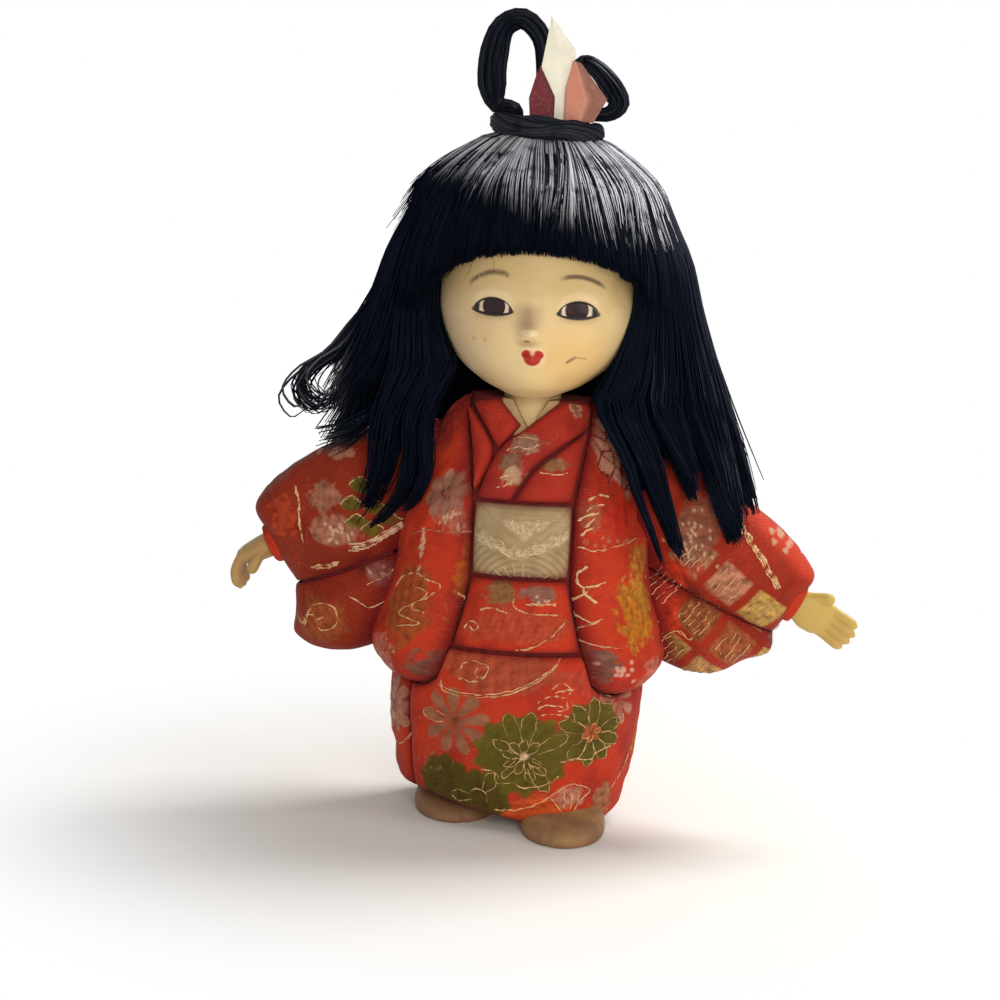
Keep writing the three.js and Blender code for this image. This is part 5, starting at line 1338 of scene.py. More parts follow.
class MakeSleeves(bpy.types.Operator):
    """Jacket sleeves, hanging kimono sleeves and cuff rings"""

    bl_idname = "doll.make_sleeves"
    bl_label = "Sleeves"

    def execute(self, context):
        paint = {
            ("haori", "right"): self.upper_right, ("kimono", "right"): self.lower_right,
            ("haori", "left"): self.upper_left, ("kimono", "left"): self.lower_left,
        }
        for name, sign in SIDES:
            sleeve = Sleeve(name, sign)
            for garment, first, last in (("haori", 0, 6), ("kimono", 6, 12)):
                slot = "lattice_brocade" if (garment, name) == ("haori", "left") else "brocade"
                for face, word in ((-1, "front"), (1, "back")):
                    sheet = sleeve.panel(first, last, face, 60 + first + face)
                    # The sleeve's ground holds painted shade.
                    ground = np.array(SLEEVE_GROUNDS_SHADED[name])
                    dye = Dye(sheet, 70 + first + sign, tuple(ground), tuple(0.72 * ground))
                    paint[garment, name](dye)
                    # Painted shade: deep red where the sleeve meets the jacket.
                    dye.lay(0.9 * self.shade_beside_jacket(sheet.outer), SHADE_AND_CRACK_RED)
                    dress(f"{garment}_sleeve_{word}_{name}", sheet, dye, slot)
            self.cuff(sleeve, name)
        return {"FINISHED"}

    def shade_beside_jacket(self, points):
        """1 where the sleeve meets the jacket's form, falling to 0 a few millimetres outside it: the mask
        of the painted shade there.
        """
        x, y, z = np.moveaxis(points, -1, 0)
        wide, deep = JACKET.value(1, z), JACKET.value(2, z)
        return 1 - ease((np.hypot(x / wide, y / deep) - 1) * wide / 7.5)

    def upper_right(self, dye):
        """A brown band along the top, mauve petals, green leaves and a gold edge under them."""
        x, z = dye.grid[..., 0], dye.grid[..., 1]
        top = np.interp(x, [-80, -61, -48, -38], [88, 103.5, 108, 110])
        dye.lay(0.85 * ease((z - top + dye.cloud(6)) / 1.5), dye.shades(BROWN, 4))
        dye.dots((-56, 104.6), (9, 1.6), 14, 0.9, PINK)
        dye.patch((-58.4, 93), (4.4, 3.8), (0.34, 0.14, 0.085), 0.9, 0.2)
        dye.patch((-55, 84.4), (6.6, 4.4), (0.34, 0.14, 0.085), 0.9, 0.2)
        dye.dots((-54, 83.6), (6, 3), 22, 0.4)
        for place in ((-48.8, 96.9), (-51, 91.8), (-49.3, 87), (-45.1, 85), (-44, 91), (-40, 87.6)):
            dye.patch(place, (3, 1.9), GREEN, 0.95, 0.05)
            x, z = place
            dye.lines(((x - 3.2, z - 0.4), (x, z + 2.1), (x + 3.2, z + 0.2)), half=0.2)
        dye.patch((-70, 86), (4, 6), (0.5, 0.06, 0.02), 0.6)
        edge = np.array(((-51, 79.2), (-46.8, 79.9), (-43, 82.1), (-37, 85.5)))
        dye.lines(*(edge + (0, 0.6 * k) for k in range(-1, 3)), colour=PALE, half=0.42)
        dye.lines(
            ((-66.6, 95), (-65.4, 90), (-64.6, 84), (-63.4, 80)), ((-61, 73.2), (-57, 74), (-53.5, 75.2)),
            ((-60, 72.6), (-57, 73.2), (-54, 74.2)), half=0.36,
        )

    def lower_right(self, dye):
        """A mauve patch at the arm, slanted strokes and a brown-gold scroll."""
        dye.patch((-42.4, 74), (4.8, 3.4), (0.3, 0.13, 0.1))
        dye.dots((-40.6, 73.6), (4, 2.4), 14, 0.45)
        dye.patch((-57.8, 59.4), (7, 6), (0.3, 0.08, 0.02), 0.7)
        dye.patch((-40, 60), (6, 6), CRIMSON, 0.5)
        dye.lines(
            ((-62, 58), (-60, 63.4), (-55, 64), (-53.4, 59.6), (-57, 57), (-59, 59.6), (-57, 61)),
            ((-64.4, 60), (-62.6, 58.6), (-61.6, 61), (-59.6, 61.4)),
            ((-50.2, 66.7), (-47.4, 65), (-45, 64), (-41.3, 65.7)),
            ((-46, 70.2), (-42.4, 72), (-38.7, 74.6)),
        )

    def net(self, dye):
        """Diamonds of several colours between red bands: two sets of slanted lines through one crossing."""
        x, z = dye.grid[..., 0] - NET_X, dye.grid[..., 1] - NET_Z
        a, b = (0.77 * x - 0.64 * z) / NET_WIDE, (0.6 * x + 0.8 * z) / NET_TALL
        inside = ease((0.42 - np.abs(a % 1 - 0.5)) / 0.05) * ease((0.42 - np.abs(b % 1 - 0.5)) / 0.05)
        fills = {
            (-1, 0): (0.46, 0.2, 0.12), (0, 0): GOLD, (-1, -1): (0.26, 0.09, 0.025),
            (0, -1): (0.3, 0.09, 0.03), (-1, -2): (0.32, 0.2, 0.05), (0, -2): (0.46, 0.27, 0.09),
            (-2, 0): TAN, (1, -1): GOLD, (-2, -1): CRIMSON, (1, 0): MAUVE,
        }
        swing = np.linspace(0.18, 0.82, STEPS)
        for (column, row), fill in fills.items():
            here = inside * (np.floor(a) == column) * (np.floor(b) == row)
            dye.lay(0.85 * here, dye.shades(fill, 3, 0.4))
            across = column + np.linspace(0.22, 0.78, 5)[:, None] + 0 * swing
            along = row + swing + 0.05 * np.sin(14 * swing)
            aside = NET_WIDE * across * 0.8 + NET_TALL * along * 0.64
            up = NET_TALL * along * 0.77 - NET_WIDE * across * 0.6
            dye.sew(np.stack([NET_X + aside, NET_Z + up], -1), half=0.22)

    def upper_left(self, dye):
        """The net, a tan speckled patch at the shoulder, two thin lines, the plain red cuff, and a painted
        highlight of pale dots on the top edge.
        """
        self.net(dye)
        dye.patch((47, 68), (6, 12), tuple(bpy.context.scene.doll_cloth.ground), 0.9)
        dye.patch((50, 90), (6, 9), (0.26, 0.1, 0.06), 0.85)
        dye.dots((50, 87), (6, 8), 40, 0.4)
        cuff = ease((0.66 * (dye.grid[..., 0] - 78) + 0.75 * (dye.grid[..., 1] - 79)) / 3)
        dye.lay(0.9 * cuff, tuple(bpy.context.scene.doll_cloth.ground))
        dye.lines(
            *(((60.4 + k, 93), (65.6 + k, 86), (69.6 + k, 80.6), (73 + k, 75.4)) for k in (0, 0.7, 1.4)),
            half=0.36,
        )
        # Painted highlight: pale pink dots along the top edge stand in for light catching the rim.
        dye.dots((77, 90), (5, 5), 26, 0.8, (0.62, 0.36, 0.24))

    def lower_left(self, dye):
        """The net, with plain red near the body."""
        self.net(dye)
        dye.patch((41, 66), (6, 10), tuple(bpy.context.scene.doll_cloth.ground), 0.9)
        dye.lines(((44, 60), (47.6, 62.6), (50.4, 60.6), (53, 63)))

    def cuff(self, sleeve, name):
        """A rolled ring of cloth round the wrist: a small circle carried round the wrist's axis."""
        root, way = sleeve.wrist()
        spin, wind = np.linspace(0, TURN, 81), np.linspace(0, TURN, 25)
        around, over = np.meshgrid(spin, wind)
        upright = np.cross(way, (0, 1, 0))
        reach = (5.72 + 0.6 * np.cos(over) + 0.08 * np.sin(9 * around))[..., None]
        ring = np.cos(around)[..., None] * (0, 1, 0) + np.sin(around)[..., None] * upright
        points = root + way * (7.2 + 2.1 * np.sin(over))[..., None] + ring * reach
        sheet = Sheet(points, points, around * 5.7, over * 1.6, np.ones_like(over))
        colour = Dye(sheet, 90 + len(name)).colour
        uv = np.stack([sheet.u, sheet.v], -1)
        tints = {"dye": colour.reshape(-1, 3)}
        faces = [grid_faces(*over.shape)]
        piece = make_piece(f"cuff_ring_{name}_cloth", points, faces, weave("brocade"), uv, tints)
        settle(piece, BODY, "brocade", f"cuff_ring_{name}", fill=bpy.context.scene.doll_cloth.fill)


# Hands and feet

def shell_paste(name, base, stain, stain_share, paint=None, gloss=0.36):
    """Polished shell paste: warm white with yellowed clouds, fine cracks and soft gloss.

    paint takes the point and the colour so far, and returns the colour with its lines on it.
    """
    material, tree, shader = material_of(name)
    point = axis_point(tree)
    clouds = fade(noise(point, 0.06, 4, 0.6), 0.42, 0.75)
    colour = mixed(clouds * stain_share, base, stain)
    crack = near(noise(point, 0.11, 3) - 0.5, 0.003) * fade(noise(point, 0.05, 2), 0.56, 0.64)
    specks = fade(cells(point, 0.22), 0.05, 0.025)
    colour = mixed(most(crack * 0.3, specks * 0.35), colour, stain)
    if paint:
        colour = paint(point, colour)
    skin = dict(Subsurface_Weight=0.06, Subsurface_Radius=(0.002, 0.0012, 0.0007))
    finish(shader, colour, gloss + 0.2 * noise(point, 0.3, 4), Specular_IOR_Level=0.28, **skin)
    bump(shader, noise(point, 0.35, 4), 0.12)
    return material


def finger(bones, radius):
    """A tapering tube along bones: rings square to a smooth curve, rounded off at its tip."""
    t = np.linspace(0, 1, 22)
    path = through(bones, t * (len(bones) - 1))
    ahead = unit(np.gradient(path, axis=0))
    side = unit(np.cross((0, 1, 0), ahead))
    up = np.cross(ahead, side)
    rounded = np.sqrt(1 - np.clip((t - 0.86) / 0.145, 0, 1) ** 2)
    girth = radius * (1.1 - 0.22 * t + 0.08 * np.sin(3 * math.pi * t)) * rounded
    turns = circle(16)
    spokes = np.cos(turns)[:, None] * side[:, None] + np.sin(turns)[:, None] * up[:, None]
    return path[:, None] + girth[:, None, None] * spokes


def hand_rings(curl, thumb_side):
    """Rings of the wrist and palm, and of the five fingers, along x with the palm facing -z."""
    x = np.linspace(0, 21, 40)
    stops = [0, 5, 9, 13, 17, 19.5, 21]
    wide = np.interp(x, stops, [4.5, 4.4, 4.6, 6.2, 6.1, 4.8, 1.0])
    thick = np.interp(x, stops, [4.4, 4.2, 3.9, 3.6, 3.0, 2.2, 0.4])
    turns = circle(24)
    shape = (np.repeat(x[:, None], 24, 1), wide[:, None] * np.cos(turns), thick[:, None] * np.sin(turns))
    made = [np.stack(shape, -1)]
    for k in range(4):
        y = thumb_side * mix(6.2, -6.2, (k + 0.5) / 4) * 0.86
        length = 11 * (1 - 0.09 * abs(k - 1.4))
        bend = curl * (1 + 0.06 * k)
        first = 0.45 * length
        joint = np.array([18.2 + first * math.cos(bend / 2), y, -first * math.sin(bend / 2)])
        tip = joint + 0.55 * length * np.array([math.cos(bend), 0, -math.sin(bend)])
        made.append(finger([(15.5, y * 0.85, 0.2), (18.2, y * 0.97, 0.3), joint, tip], 1.65))
    root = np.array([11, thumb_side * 3.7, -0.4])
    tip = np.array([17.6, thumb_side * 7.6, -0.6 - 4.5 * math.sin(curl)])
    middle = (root + tip) / 2 + (0.3, 0.7 * thumb_side, 0)
    made.append(finger([root - (3, 2 * thumb_side, 0), root, middle, tip], 1.8))
    return made


# The doll's right hand is given a darker colour as painted shade, for the side away from the light.
HAND_COLOURS_RIGHT_SHADED = {"right": (0.42, 0.26, 0.1), "left": (0.54, 0.38, 0.1)}


class MakeHands(bpy.types.Operator):
    """The curled right hand and the open left hand"""

    bl_idname = "doll.make_hands"
    bl_label = "Hands"

    def execute(self, context):
        face = context.scene.doll_face
        for name, sign, curl, lean in (("right", -1, 1.25, 0), ("left", 1, 0.25, -75 * DEGREE)):
            material = shell_paste(f"hand_{name}_paste", HAND_COLOURS_RIGHT_SHADED[name], face.stain, 0.5)
            root, way = Sleeve(name, sign).wrist()
            flat = np.array([0, sign, 0])
            across = flat * math.cos(lean) + np.cross(way, flat) * math.sin(lean)
            basis = np.stack([way, across, np.cross(way, across)])
            points, faces, count = [], [], 0
            for rings in hand_rings(curl, -sign):
                spots, quads = tube(rings, count)
                points.append(spots @ basis + root)
                faces.append(quads)
                count += len(spots)
            points, faces = np.concatenate(points), [np.concatenate(faces)]
            piece = make_piece(f"hand_{name}_shell", points, faces, material)
            self.fuse(context, piece)
            settle(piece, f"hand_{name}_unit", "shell_white", f"hand_{name}")
        return {"FINISHED"}

    def fuse(self, context, piece):
        """Joins the fingers to the palm by remeshing, then smooths the skin, and keeps the result."""
        join = piece.modifiers.new("join", "REMESH")
        join.mode = "VOXEL"
        join.voxel_size = 0.3 * MM
        soften = piece.modifiers.new("soften", "SMOOTH")
        soften.factor = 0.5
        soften.iterations = 5
        solved = piece.evaluated_get(context.evaluated_depsgraph_get())
        mesh = bpy.data.meshes.new_from_object(solved)
        piece.modifiers.clear()
        old = piece.data
        piece.data = mesh
        bpy.data.meshes.remove(old)
        mesh.shade_smooth()


class MakeFeet(bpy.types.Operator):
    """Feet in split-toe socks: oval domes that get lower towards the toes"""

    bl_idname = "doll.make_feet"
    bl_label = "Feet"

    def execute(self, context):
        face = context.scene.doll_face
        # The feet's colour holds painted shade.
        material = shell_paste("tabi_paste", face.tabi, face.stain, 0.55, gloss=0.55)
        top = HEM_Z - SEAT
        reach = [0, 0.5, 0.8, 0.9, 0.965, 0.99, 1, 1, 0.985, 0.95, 0.89, 0.8, 0.68, 0.5, 0.25, 0]
        lift = [0, 0, 0, 0, 0.04, 0.12, 0.24, 0.38, 0.54, 0.69, 0.81, 0.9, 0.96, 0.99, 1, 1]
        turns = circle(96)
        reach, lift = np.array(reach)[:, None], np.array(lift)[:, None]
        for name, x, y in (("right", -16.5, -2), ("left", 16.5, -20)):
            along = reach * -np.cos(turns)
            height = mix(5, top, np.clip(1 + 1.1 * along, 0, 1))
            toe = np.sin(turns) + (0.3 if x > 0 else -0.3)
            split = np.exp(-((toe / 0.07) ** 2)) * (np.cos(turns) > 0.3)
            shrink = 1 - 0.035 * split * (lift > 0.02)
            spots = (reach * shrink * np.sin(turns) * 12.6 + x, along * shrink * 19 + y, lift * height)
            faces = [grid_faces(len(reach), len(turns), wrap=True)]
            piece = make_piece(f"foot_{name}_tabi", np.stack(spots, -1), faces, material)
            settle(piece, BODY, "shell_white", f"foot_{name}")
        return {"FINISHED"}


# Head

EYES = {"right": (-11.6, 153.9), "left": (12.85, 154.0)}
EYE_HALF = 5.7
MOUTH_X = 0.55
UPPER_LID = 3.3
LOWER_LID = 0.85


def lobe(x, z, wide, tall):
    """Rounded bump that falls off as the exponent of the squared distance."""
    return np.exp(-((x / wide) ** 2) - (z / tall) ** 2)


def face_rise(x, z):
    """Relief of the face in millimetres: nose, lips, cheeks and chin, with shallow eye hollows."""
    rise = 0.5 * lobe(x, z - mix(NOSE_Z, EYE_Z, 0.8), 2.4, 6)
    rise += 2.7 * lobe(x, z - NOSE_Z, 2.5, 3)
    rise += 0.8 * (lobe(x - 2.6, z - NOSE_Z + 1.3, 1.5, 1.4) + lobe(x + 2.6, z - NOSE_Z + 1.3, 1.5, 1.4))
    x_lips = x - MOUTH_X
    rise += 1.3 * lobe(x_lips, z - MOUTH_Z - 0.9, 3.0, 1.3)
    rise += 1.2 * lobe(x_lips, z - MOUTH_Z + 1.4, 2.4, 1.3)
    rise -= 0.5 * lobe(x_lips, z - MOUTH_Z + 0.1, 3.6, 0.5)
    rise += 0.8 * lobe(x, z - CHIN_Z - 0.08 * HEAD_HEIGHT, 5, 3.5)
    for middle, corner in EYES.values():
        rise += 0.9 * lobe(x - 1.2 * middle, z - NOSE_Z + 3, 8, 9)
        rise -= 1.1 * lobe(x - middle, z - corner - 1, 7, 4.4)
        rise += 0.5 * lobe(x - middle, z - corner - UPPER_LID - 1.4, 5.5, 1.5)
    return rise


def face_at(x, z, lift=0.0):
    """Point of the face's front seen at x and z, lifted along its normal."""
    return HEAD_FORM.at(HEAD_FORM.turn_at(x, z), z, face_rise(x, z) + lift)


class MakeHead(bpy.types.Operator):
    """Head with its painted face, and the neck"""

    bl_idname = "doll.make_head"
    bl_label = "Head"

    def execute(self, context):
        face = context.scene.doll_face
        spin = circle(256)
        share = np.linspace(0, 1, 181)
        heights = CHIN_Z + HEAD_HEIGHT * (share - 0.012 * np.sin(TURN * share))
        turn, z = np.meshgrid(spin - 0.5 * np.sin(spin), heights)
        bare = HEAD_FORM.at(turn, z)
        relief = np.where(np.cos(turn) > 0, face_rise(bare[..., 0], z), 0)
        points, quads = tube(HEAD_FORM.at(turn, z, relief))
        foot = level("head", 0)
        radii = (0.5, 10.4, 10.4, 8.6, 8, 8, 0.5)
        levels = (foot, foot, mix(foot, THROAT_Z, 0.8), COLLAR_Z, CHIN_Z + 4, CHIN_Z + 9, CHIN_Z + 9)
        steps = np.linspace(0, 6, 73)[:, None]
        radius, height = np.interp(steps, np.arange(7), radii), np.interp(steps, np.arange(7), levels)
        turns = circle(48)
        rings = np.stack([radius * np.sin(turns), -radius * np.cos(turns), height + 0 * turns], -1)
        neck, neck_quads = tube(rings, len(points))
        material = shell_paste("face_shell_paste", face.shell, face.stain, 0.4, self.paint)
        faces = [np.concatenate([quads, neck_quads])]
        piece = make_piece("head_shell", np.concatenate([points, neck]), faces, material)
        settle(piece, HEAD, "shell_white", "head")
        return {"FINISHED"}

    def paint(self, point, colour):
        """Painted shade on the doll's right cheek, under the bangs and beside and under the nose, painted
        warm light on the left lower cheek and a highlight on the nose tip, then brows, lid lines, lips,
        nostril, scuff and hair cracks, each a band about a curve.
        """
        x, y, z = parts(point)
        front = fade(y, -6.0, -10.0)
        rub = noise(point, 0.9, 3)
        soft = noise(point, 0.12, 3)
        # Painted shade: a greyer, darker tint over the doll's right side of the face.
        colour = mixed(front * 0.6 * fade(x + 12 * (soft - 0.5), -4.0, -22.0), colour, (0.62, 0.46, 0.31))
        # Painted shadow of the bangs over the forehead, reaching down to the brows.
        bangs_shadow = front * 0.85 * fade(z + 8 * (soft - 0.5), 151.0, 167.0)
        colour = mixed(bangs_shadow, colour, (0.5, 0.365, 0.165))
        # Painted light: a warm golden pool on the doll's left lower cheek.
        low = far(x - 13, z - 139)
        colour = mixed(front * 0.45 * fade(low, 19.0, 3.0), colour, (0.78, 0.46, 0.14))
        # Painted shade beside the nose and under it.
        side = near(x + 1.4 - 0.1 * (z - 152), 3.2, 0.95) * fade(size_of(z - 152.2), 5.6, 1.2)
        under = near(x + 1.0, 2.4, 0.8) * near(z - NOSE_Z + 3.0, 0.8, 0.9)
        colour = mixed(front * most(0.62 * side, 0.5 * under), colour, (0.26, 0.15, 0.11))
        # Painted highlight on the nose tip.
        tip = self.ball(x + 0.4, z - NOSE_Z - 0.2, 3.0, 1.1)
        colour = mixed(front * 0.6 * fade(tip, 1.1, 0.6), colour, (0.88, 0.7, 0.44))
        for middle, corner in EYES.values():
            colour = self.lids(front, x - middle, z - corner, colour)
        colour = self.brows(front, x, z, rub, colour)
        colour = self.mouth(front, x, z, rub, colour)
        nostril = near(x + 1.2, 0.8) * near(z - NOSE_Z + 2.2, 0.3)
        scuff = 0.7 * near(z - 140.8 - 0.62 * (x - 11.4), 0.5, 0.8) * fade(size_of(x - 11.4), 1.8, 1.0)
        scuff = scuff * fade(rub, 0.3, 0.5)
        scratch = 0.45 * near(z - 141.4 + 0.12 * (x - 14), 0.22) * fade(size_of(x - 14.4), 1.9, 1.2)
        scuff = most(scuff, scratch)
        hairline = near(x + 19.0 - 0.3 * (z - 165) + 1.3 * (rub - 0.5), 0.12)
        hairline = hairline * fade(size_of(z - 165.4), 3.0, 2.2)
        second = near(x + 12.0 + 1.5 * (rub - 0.5), 0.1) * fade(size_of(z - 166.5), 2.2, 1.4)
        marks = most(most(0.7 * nostril, scuff), most(hairline, second) * 0.7)
        for dot in (-16.6, -13.3):
            away = far(x - dot, z - 145.4)
            marks = most(marks, 0.25 * near(away, 0.6))
        return mixed(front * marks, colour, (0.13, 0.05, 0.02))

    def lids(self, front, x, z, colour):
        """A painted highlight over the eye, painted shade under it, a dark line round the almond and a
        thicker one under it.
        """
        away = size_of(x) / EYE_HALF
        bow = most(1 - away * away, 0.0)
        upper = UPPER_LID * (bow**0.7)
        lower = -LOWER_LID * (bow**0.8)
        # Painted highlight above the upper lid.
        glow = near(z - upper - 1.6, 1.3, 0.9) * fade(away, 1.25, 0.8)
        colour = mixed(front * 0.3 * glow, colour, (0.9, 0.74, 0.5))
        ends = fade(away, 1.14, 1.0)
        top = near(z - upper - 0.1, 0.36, 0.5) * ends
        bottom = near(z - lower + 0.25, 0.28 + 0.36 * bow, 0.45) * ends
        # Painted shade under the lower lid.
        under_lid_shade = fade(z - lower, -3.0, -0.4) * fade(z - lower, 0.4, -0.4) * fade(away, 1.2, 0.7)
        colour = mixed(front * 0.4 * under_lid_shade, colour, (0.3, 0.15, 0.1))
        return mixed(front * most(top, bottom), colour, bpy.context.scene.doll_face.ink)

    def brows(self, front, x, z, rub, colour):
        """Two soft brows: a bold arch on the left and a rubbed, steeper one on the right."""
        brow = x - 12.2
        arch = z - 164.6 + 0.042 * (brow * brow) + 0.05 * brow
        left = near(arch, 0.62, 0.7) * fade(size_of(brow - 1.6), 7.4, 4.0)
        colour = mixed(front * 0.85 * left * fade(rub, 0.15, 0.4), colour, (0.06, 0.03, 0.018))
        brow = x + 10.9
        arch = z - 164.8 + 0.06 * (brow * brow)
        right = near(arch, 0.75, 0.8) * fade(size_of(brow + 2.1), 6.6, 4.4)
        return mixed(front * 0.85 * right * fade(rub, 0.22, 0.44), colour, (0.1, 0.055, 0.035))

    def mouth(self, front, x, z, rub, colour):
        """Rosebud lips: two round lobes over a rounded bottom, with a pale rim and a painted highlight in
        the notch.
        """
        x = x - MOUTH_X
        sides = size_of(x) - 1.65
        bud = calc("MINIMUM", self.ball(sides, z - 142.0, 1.55, 1.4), self.ball(x, z - 140.9, 2.5, 2.1))
        colour = mixed(front * 0.5 * fade(bud, 1.7, 1.1), colour, (0.86, 0.66, 0.42))
        lips = fade(bud, 1.12, 0.84) * fade(rub, 0.05, 0.3)
        colour = mixed(front * lips, colour, bpy.context.scene.doll_face.lips)
        dark = self.ball(x + 1.6, z - 141.7, 1.0, 0.5)
        colour = mixed(front * 0.5 * fade(dark, 1.3, 0.5), colour, (0.2, 0.01, 0.006))
        # Painted highlight: a pale spot in the notch of the upper lip.
        notch = fade(self.ball(x, z - 142.9, 0.8, 1.3), 1.3, 0.4)
        return mixed(front * 0.75 * notch, colour, (0.8, 0.5, 0.32))

    def ball(self, x, z, wide, tall):
        """Radius about a middle, 1 at an oval."""
        return far(x / wide, z / tall)


class MakeEyes(bpy.types.Operator):
    """Glass eyes: almond domes that stand on the face, with flat backs sunk in it"""

    bl_idname = "doll.make_eyes"
    bl_label = "Eyes"

    def execute(self, context):
        for name, (middle, corner) in EYES.items():
            around = circle(96)
            share = np.array([0.02, 0.2, 0.4, 0.6, 0.75, 0.86, 0.94, 0.985, 1, 1])[:, None]
            depth = np.array([0, 0, 0, 0, 0, 0, 0, 0, -0.3, -2.6])[:, None]
            tall = np.where(np.sin(around) > 0, UPPER_LID, LOWER_LID)
            bow = np.abs(np.sin(around)) ** np.where(np.sin(around) > 0, 1.4, 1.6)
            x = middle + EYE_HALF * share * np.cos(around)
            z = corner + 0.5 * (1 - share) + share * tall * bow * np.sign(np.sin(around))
            points, quads = tube(face_at(x, z, 0.1 + 0.75 * (1 - share**2) + depth))
            glass = self.glass(name, middle - 0.035 * middle, corner + 1.1)
            piece = make_piece(f"eye_{name}_glass", points, [quads], glass)
            settle(piece, HEAD, "eye_glass", f"eye_{name}")
        return {"FINISHED"}

    def glass(self, name, middle, level):
        """Dark red-brown iris with a darker rim and pupil on a warm white, darkened at the top as the lid
        line and painted shade of the upper lid, under a clear coat.
        """
        face = bpy.context.scene.doll_face
        material, tree, shader = material_of(f"eye_{name}_glass")
        x, _, z = parts(axis_point(tree))
        x, z = x - middle, z - level
        away = far(x, z)
        colour = mixed(fade(away, 2.9, 3.2), face.iris, (0.7, 0.56, 0.42))
        colour = mixed(fade(size_of(x), 3.9, 4.6), colour, face.ink)
        colour = mixed(0.6 * fade(away, 1.6, 0.9), colour, (0.01, 0.004, 0.006))
        colour = mixed(near(away - 2.95, 0.35), colour, (0.012, 0.004, 0.005))
        # Lid line and painted shade of the upper lid over the top of the glass.
        colour = mixed(0.8 * fade(z, 1.3, 2.2), colour, (0.015, 0.006, 0.007))
        finish(shader, colour, 0.3 + 0.1 * noise(joined(x, z), 0.8), Specular_IOR_Level=0.25)
        return material


# Hair

def silk_hair(name, sheen_share):
    """Silk hair: blue-black, glossier from strand to strand, over a dull under-layer.

    Pale grey strands of painted sheen lie on the crown, further down on the doll's left, where a few
    painted highlights hang too.
    """
    settings = bpy.context.scene.doll_hair
    material, tree, shader = material_of(name)
    tone = carried(tree, "tone", "Fac")
    point = axis_point(tree)
    x, _, z = parts(point)
    colour = mixed(tone * 0.8, settings.black, (0.004, 0.006, 0.016))
    low = z + 9.0 * tone + 0.33 * x
    # Painted sheen: pale grey strands on the crown, where the strands catch the light, fading lower down.
    worn = fade(tone, 0.1, 0.7) * fade(low, 185.0, 198.0) * fade(noise(point, 0.2, 3), 0.2, 0.5)
    # Painted highlights: a few pale strands on the doll's left.
    lit_strands = fade(x, 26.0, 40.0) * fade(tone, 0.88, 0.98) * fade(noise(point, 0.05, 2), 0.45, 0.6)
    curled = fade(x, -52.0, -60.0) * fade(tone, 0.3, 0.8)
    light = worn * sheen_share + 0.13 * lit_strands + 0.14 * curled
    rough = 0.4 + 0.2 * tone + 0.5 * fade(tone, 0.09, 0.02)
    gloss = dict(Specular_IOR_Level=0.08, Specular_Tint=(0.5, 0.7, 1, 1))
    finish(shader, mixed(light, colour, settings.crown_sheen), rough, **gloss)
    return material


def hair_piece(name, paths, thickness, material, seed, base):
    """One object of strands, tapering from root to tip, over a dark under-layer."""
    rng = np.random.default_rng(seed)
    count, steps = paths.shape[:2]
    along = np.linspace(0, 1, steps)
    taper = 1 - 0.62 * along**3
    widths = thickness * rng.uniform(0.6, 1.25, (count, 1)) * taper
    points, quads, caps = strand_tubes(paths, widths)
    tone = np.repeat(rng.uniform(0.1, 1, count), steps * 3)
    under, under_faces = base
    faces = [quads, under_faces + len(points), caps]
    points = np.concatenate([points, under])
    tints = {"tone": np.concatenate([tone, np.zeros(len(under))])}
    return make_piece(name, points, faces, material, tints=tints, fix=False)


def sheet_of(form, turn, z, rise, thickness):
    """Closed under-layer of a hank: the form let in by rise, and by the thickness more."""
    points, faces = slab(form(turn, z, rise), form(turn, z, rise - thickness))
    return points, faces[0]


def outward(points, faces):
    """The faces turned so that the closed solid's volume is positive."""
    a, b, c, d = (points[faces[:, k]] for k in range(4))
    volume = np.einsum("ij,ij->", a, np.cross(b, c)) + np.einsum("ij,ij->", a, np.cross(c, d))
    return points, faces if volume > 0 else faces[:, ::-1]


def frizz(paths, rng, amount):
    """Slow seeded sway along each strand, growing to its tip."""
    count, steps = paths.shape[:2]
    along = np.linspace(0, 1, steps)[None, :, None]
    pace, phase = rng.uniform(3, 9, (count, 1, 3)), rng.uniform(0, 6.3, (count, 1, 3))
    return paths + amount * along**1.3 * np.sin(pace * along + phase)


BANGS_TURN = 57 * DEGREE
BACK_TURN = 118 * DEGREE
SIDE_START = 50 * DEGREE
ROOTS_Z = (186, 192)
UNDER_TOP_Z = 188.0

# Front edge of the side hair from the crown down: height, distance from the middle and depth.
TEMPLE = ((205, 18, -14), (188, 24, -16), (175, 28.6, -17), (165, 29, -14))
FRONT_EDGE = {
    "right": (
        *TEMPLE, (155, 28.8, -11), (148, 28.2, -11.5), (141, 25.4, -14), (135, 23.6, -15.5),
        (129, 26.8, -17.5), (120, 29.6, -20.5), (106, 28.4, -23), (96, 31.8, -24), (86, 42, -24),
    ),
    "left": (
        *TEMPLE, (156, 28.6, -11), (149, 27.2, -11.5), (141, 24.8, -14), (133, 22, -16.5),
        (128.5, 19.4, -19), (120, 23.4, -21.5), (112, 28.6, -23.4), (104, 31.6, -24.4), (95, 36, -25),
        (78, 42.4, -25),
    ),
}

# Locks of the side hair: share of the way from the front edge to the back seam, and height of the tip.
LOCKS = {
    "right": (
        (0.05, 93), (0.12, 88), (0.2, 92), (0.34, 122), (0.42, 119), (0.52, 122), (0.62, 128), (0.73, 126),
        (0.84, 120), (0.95, 112),
    ),
    "left": (
        (0.04, 83), (0.15, 84), (0.24, 101), (0.33, 88.5), (0.5, 96.5), (0.62, 98), (0.74, 97), (0.85, 96),
        (0.95, 96),
    ),
}

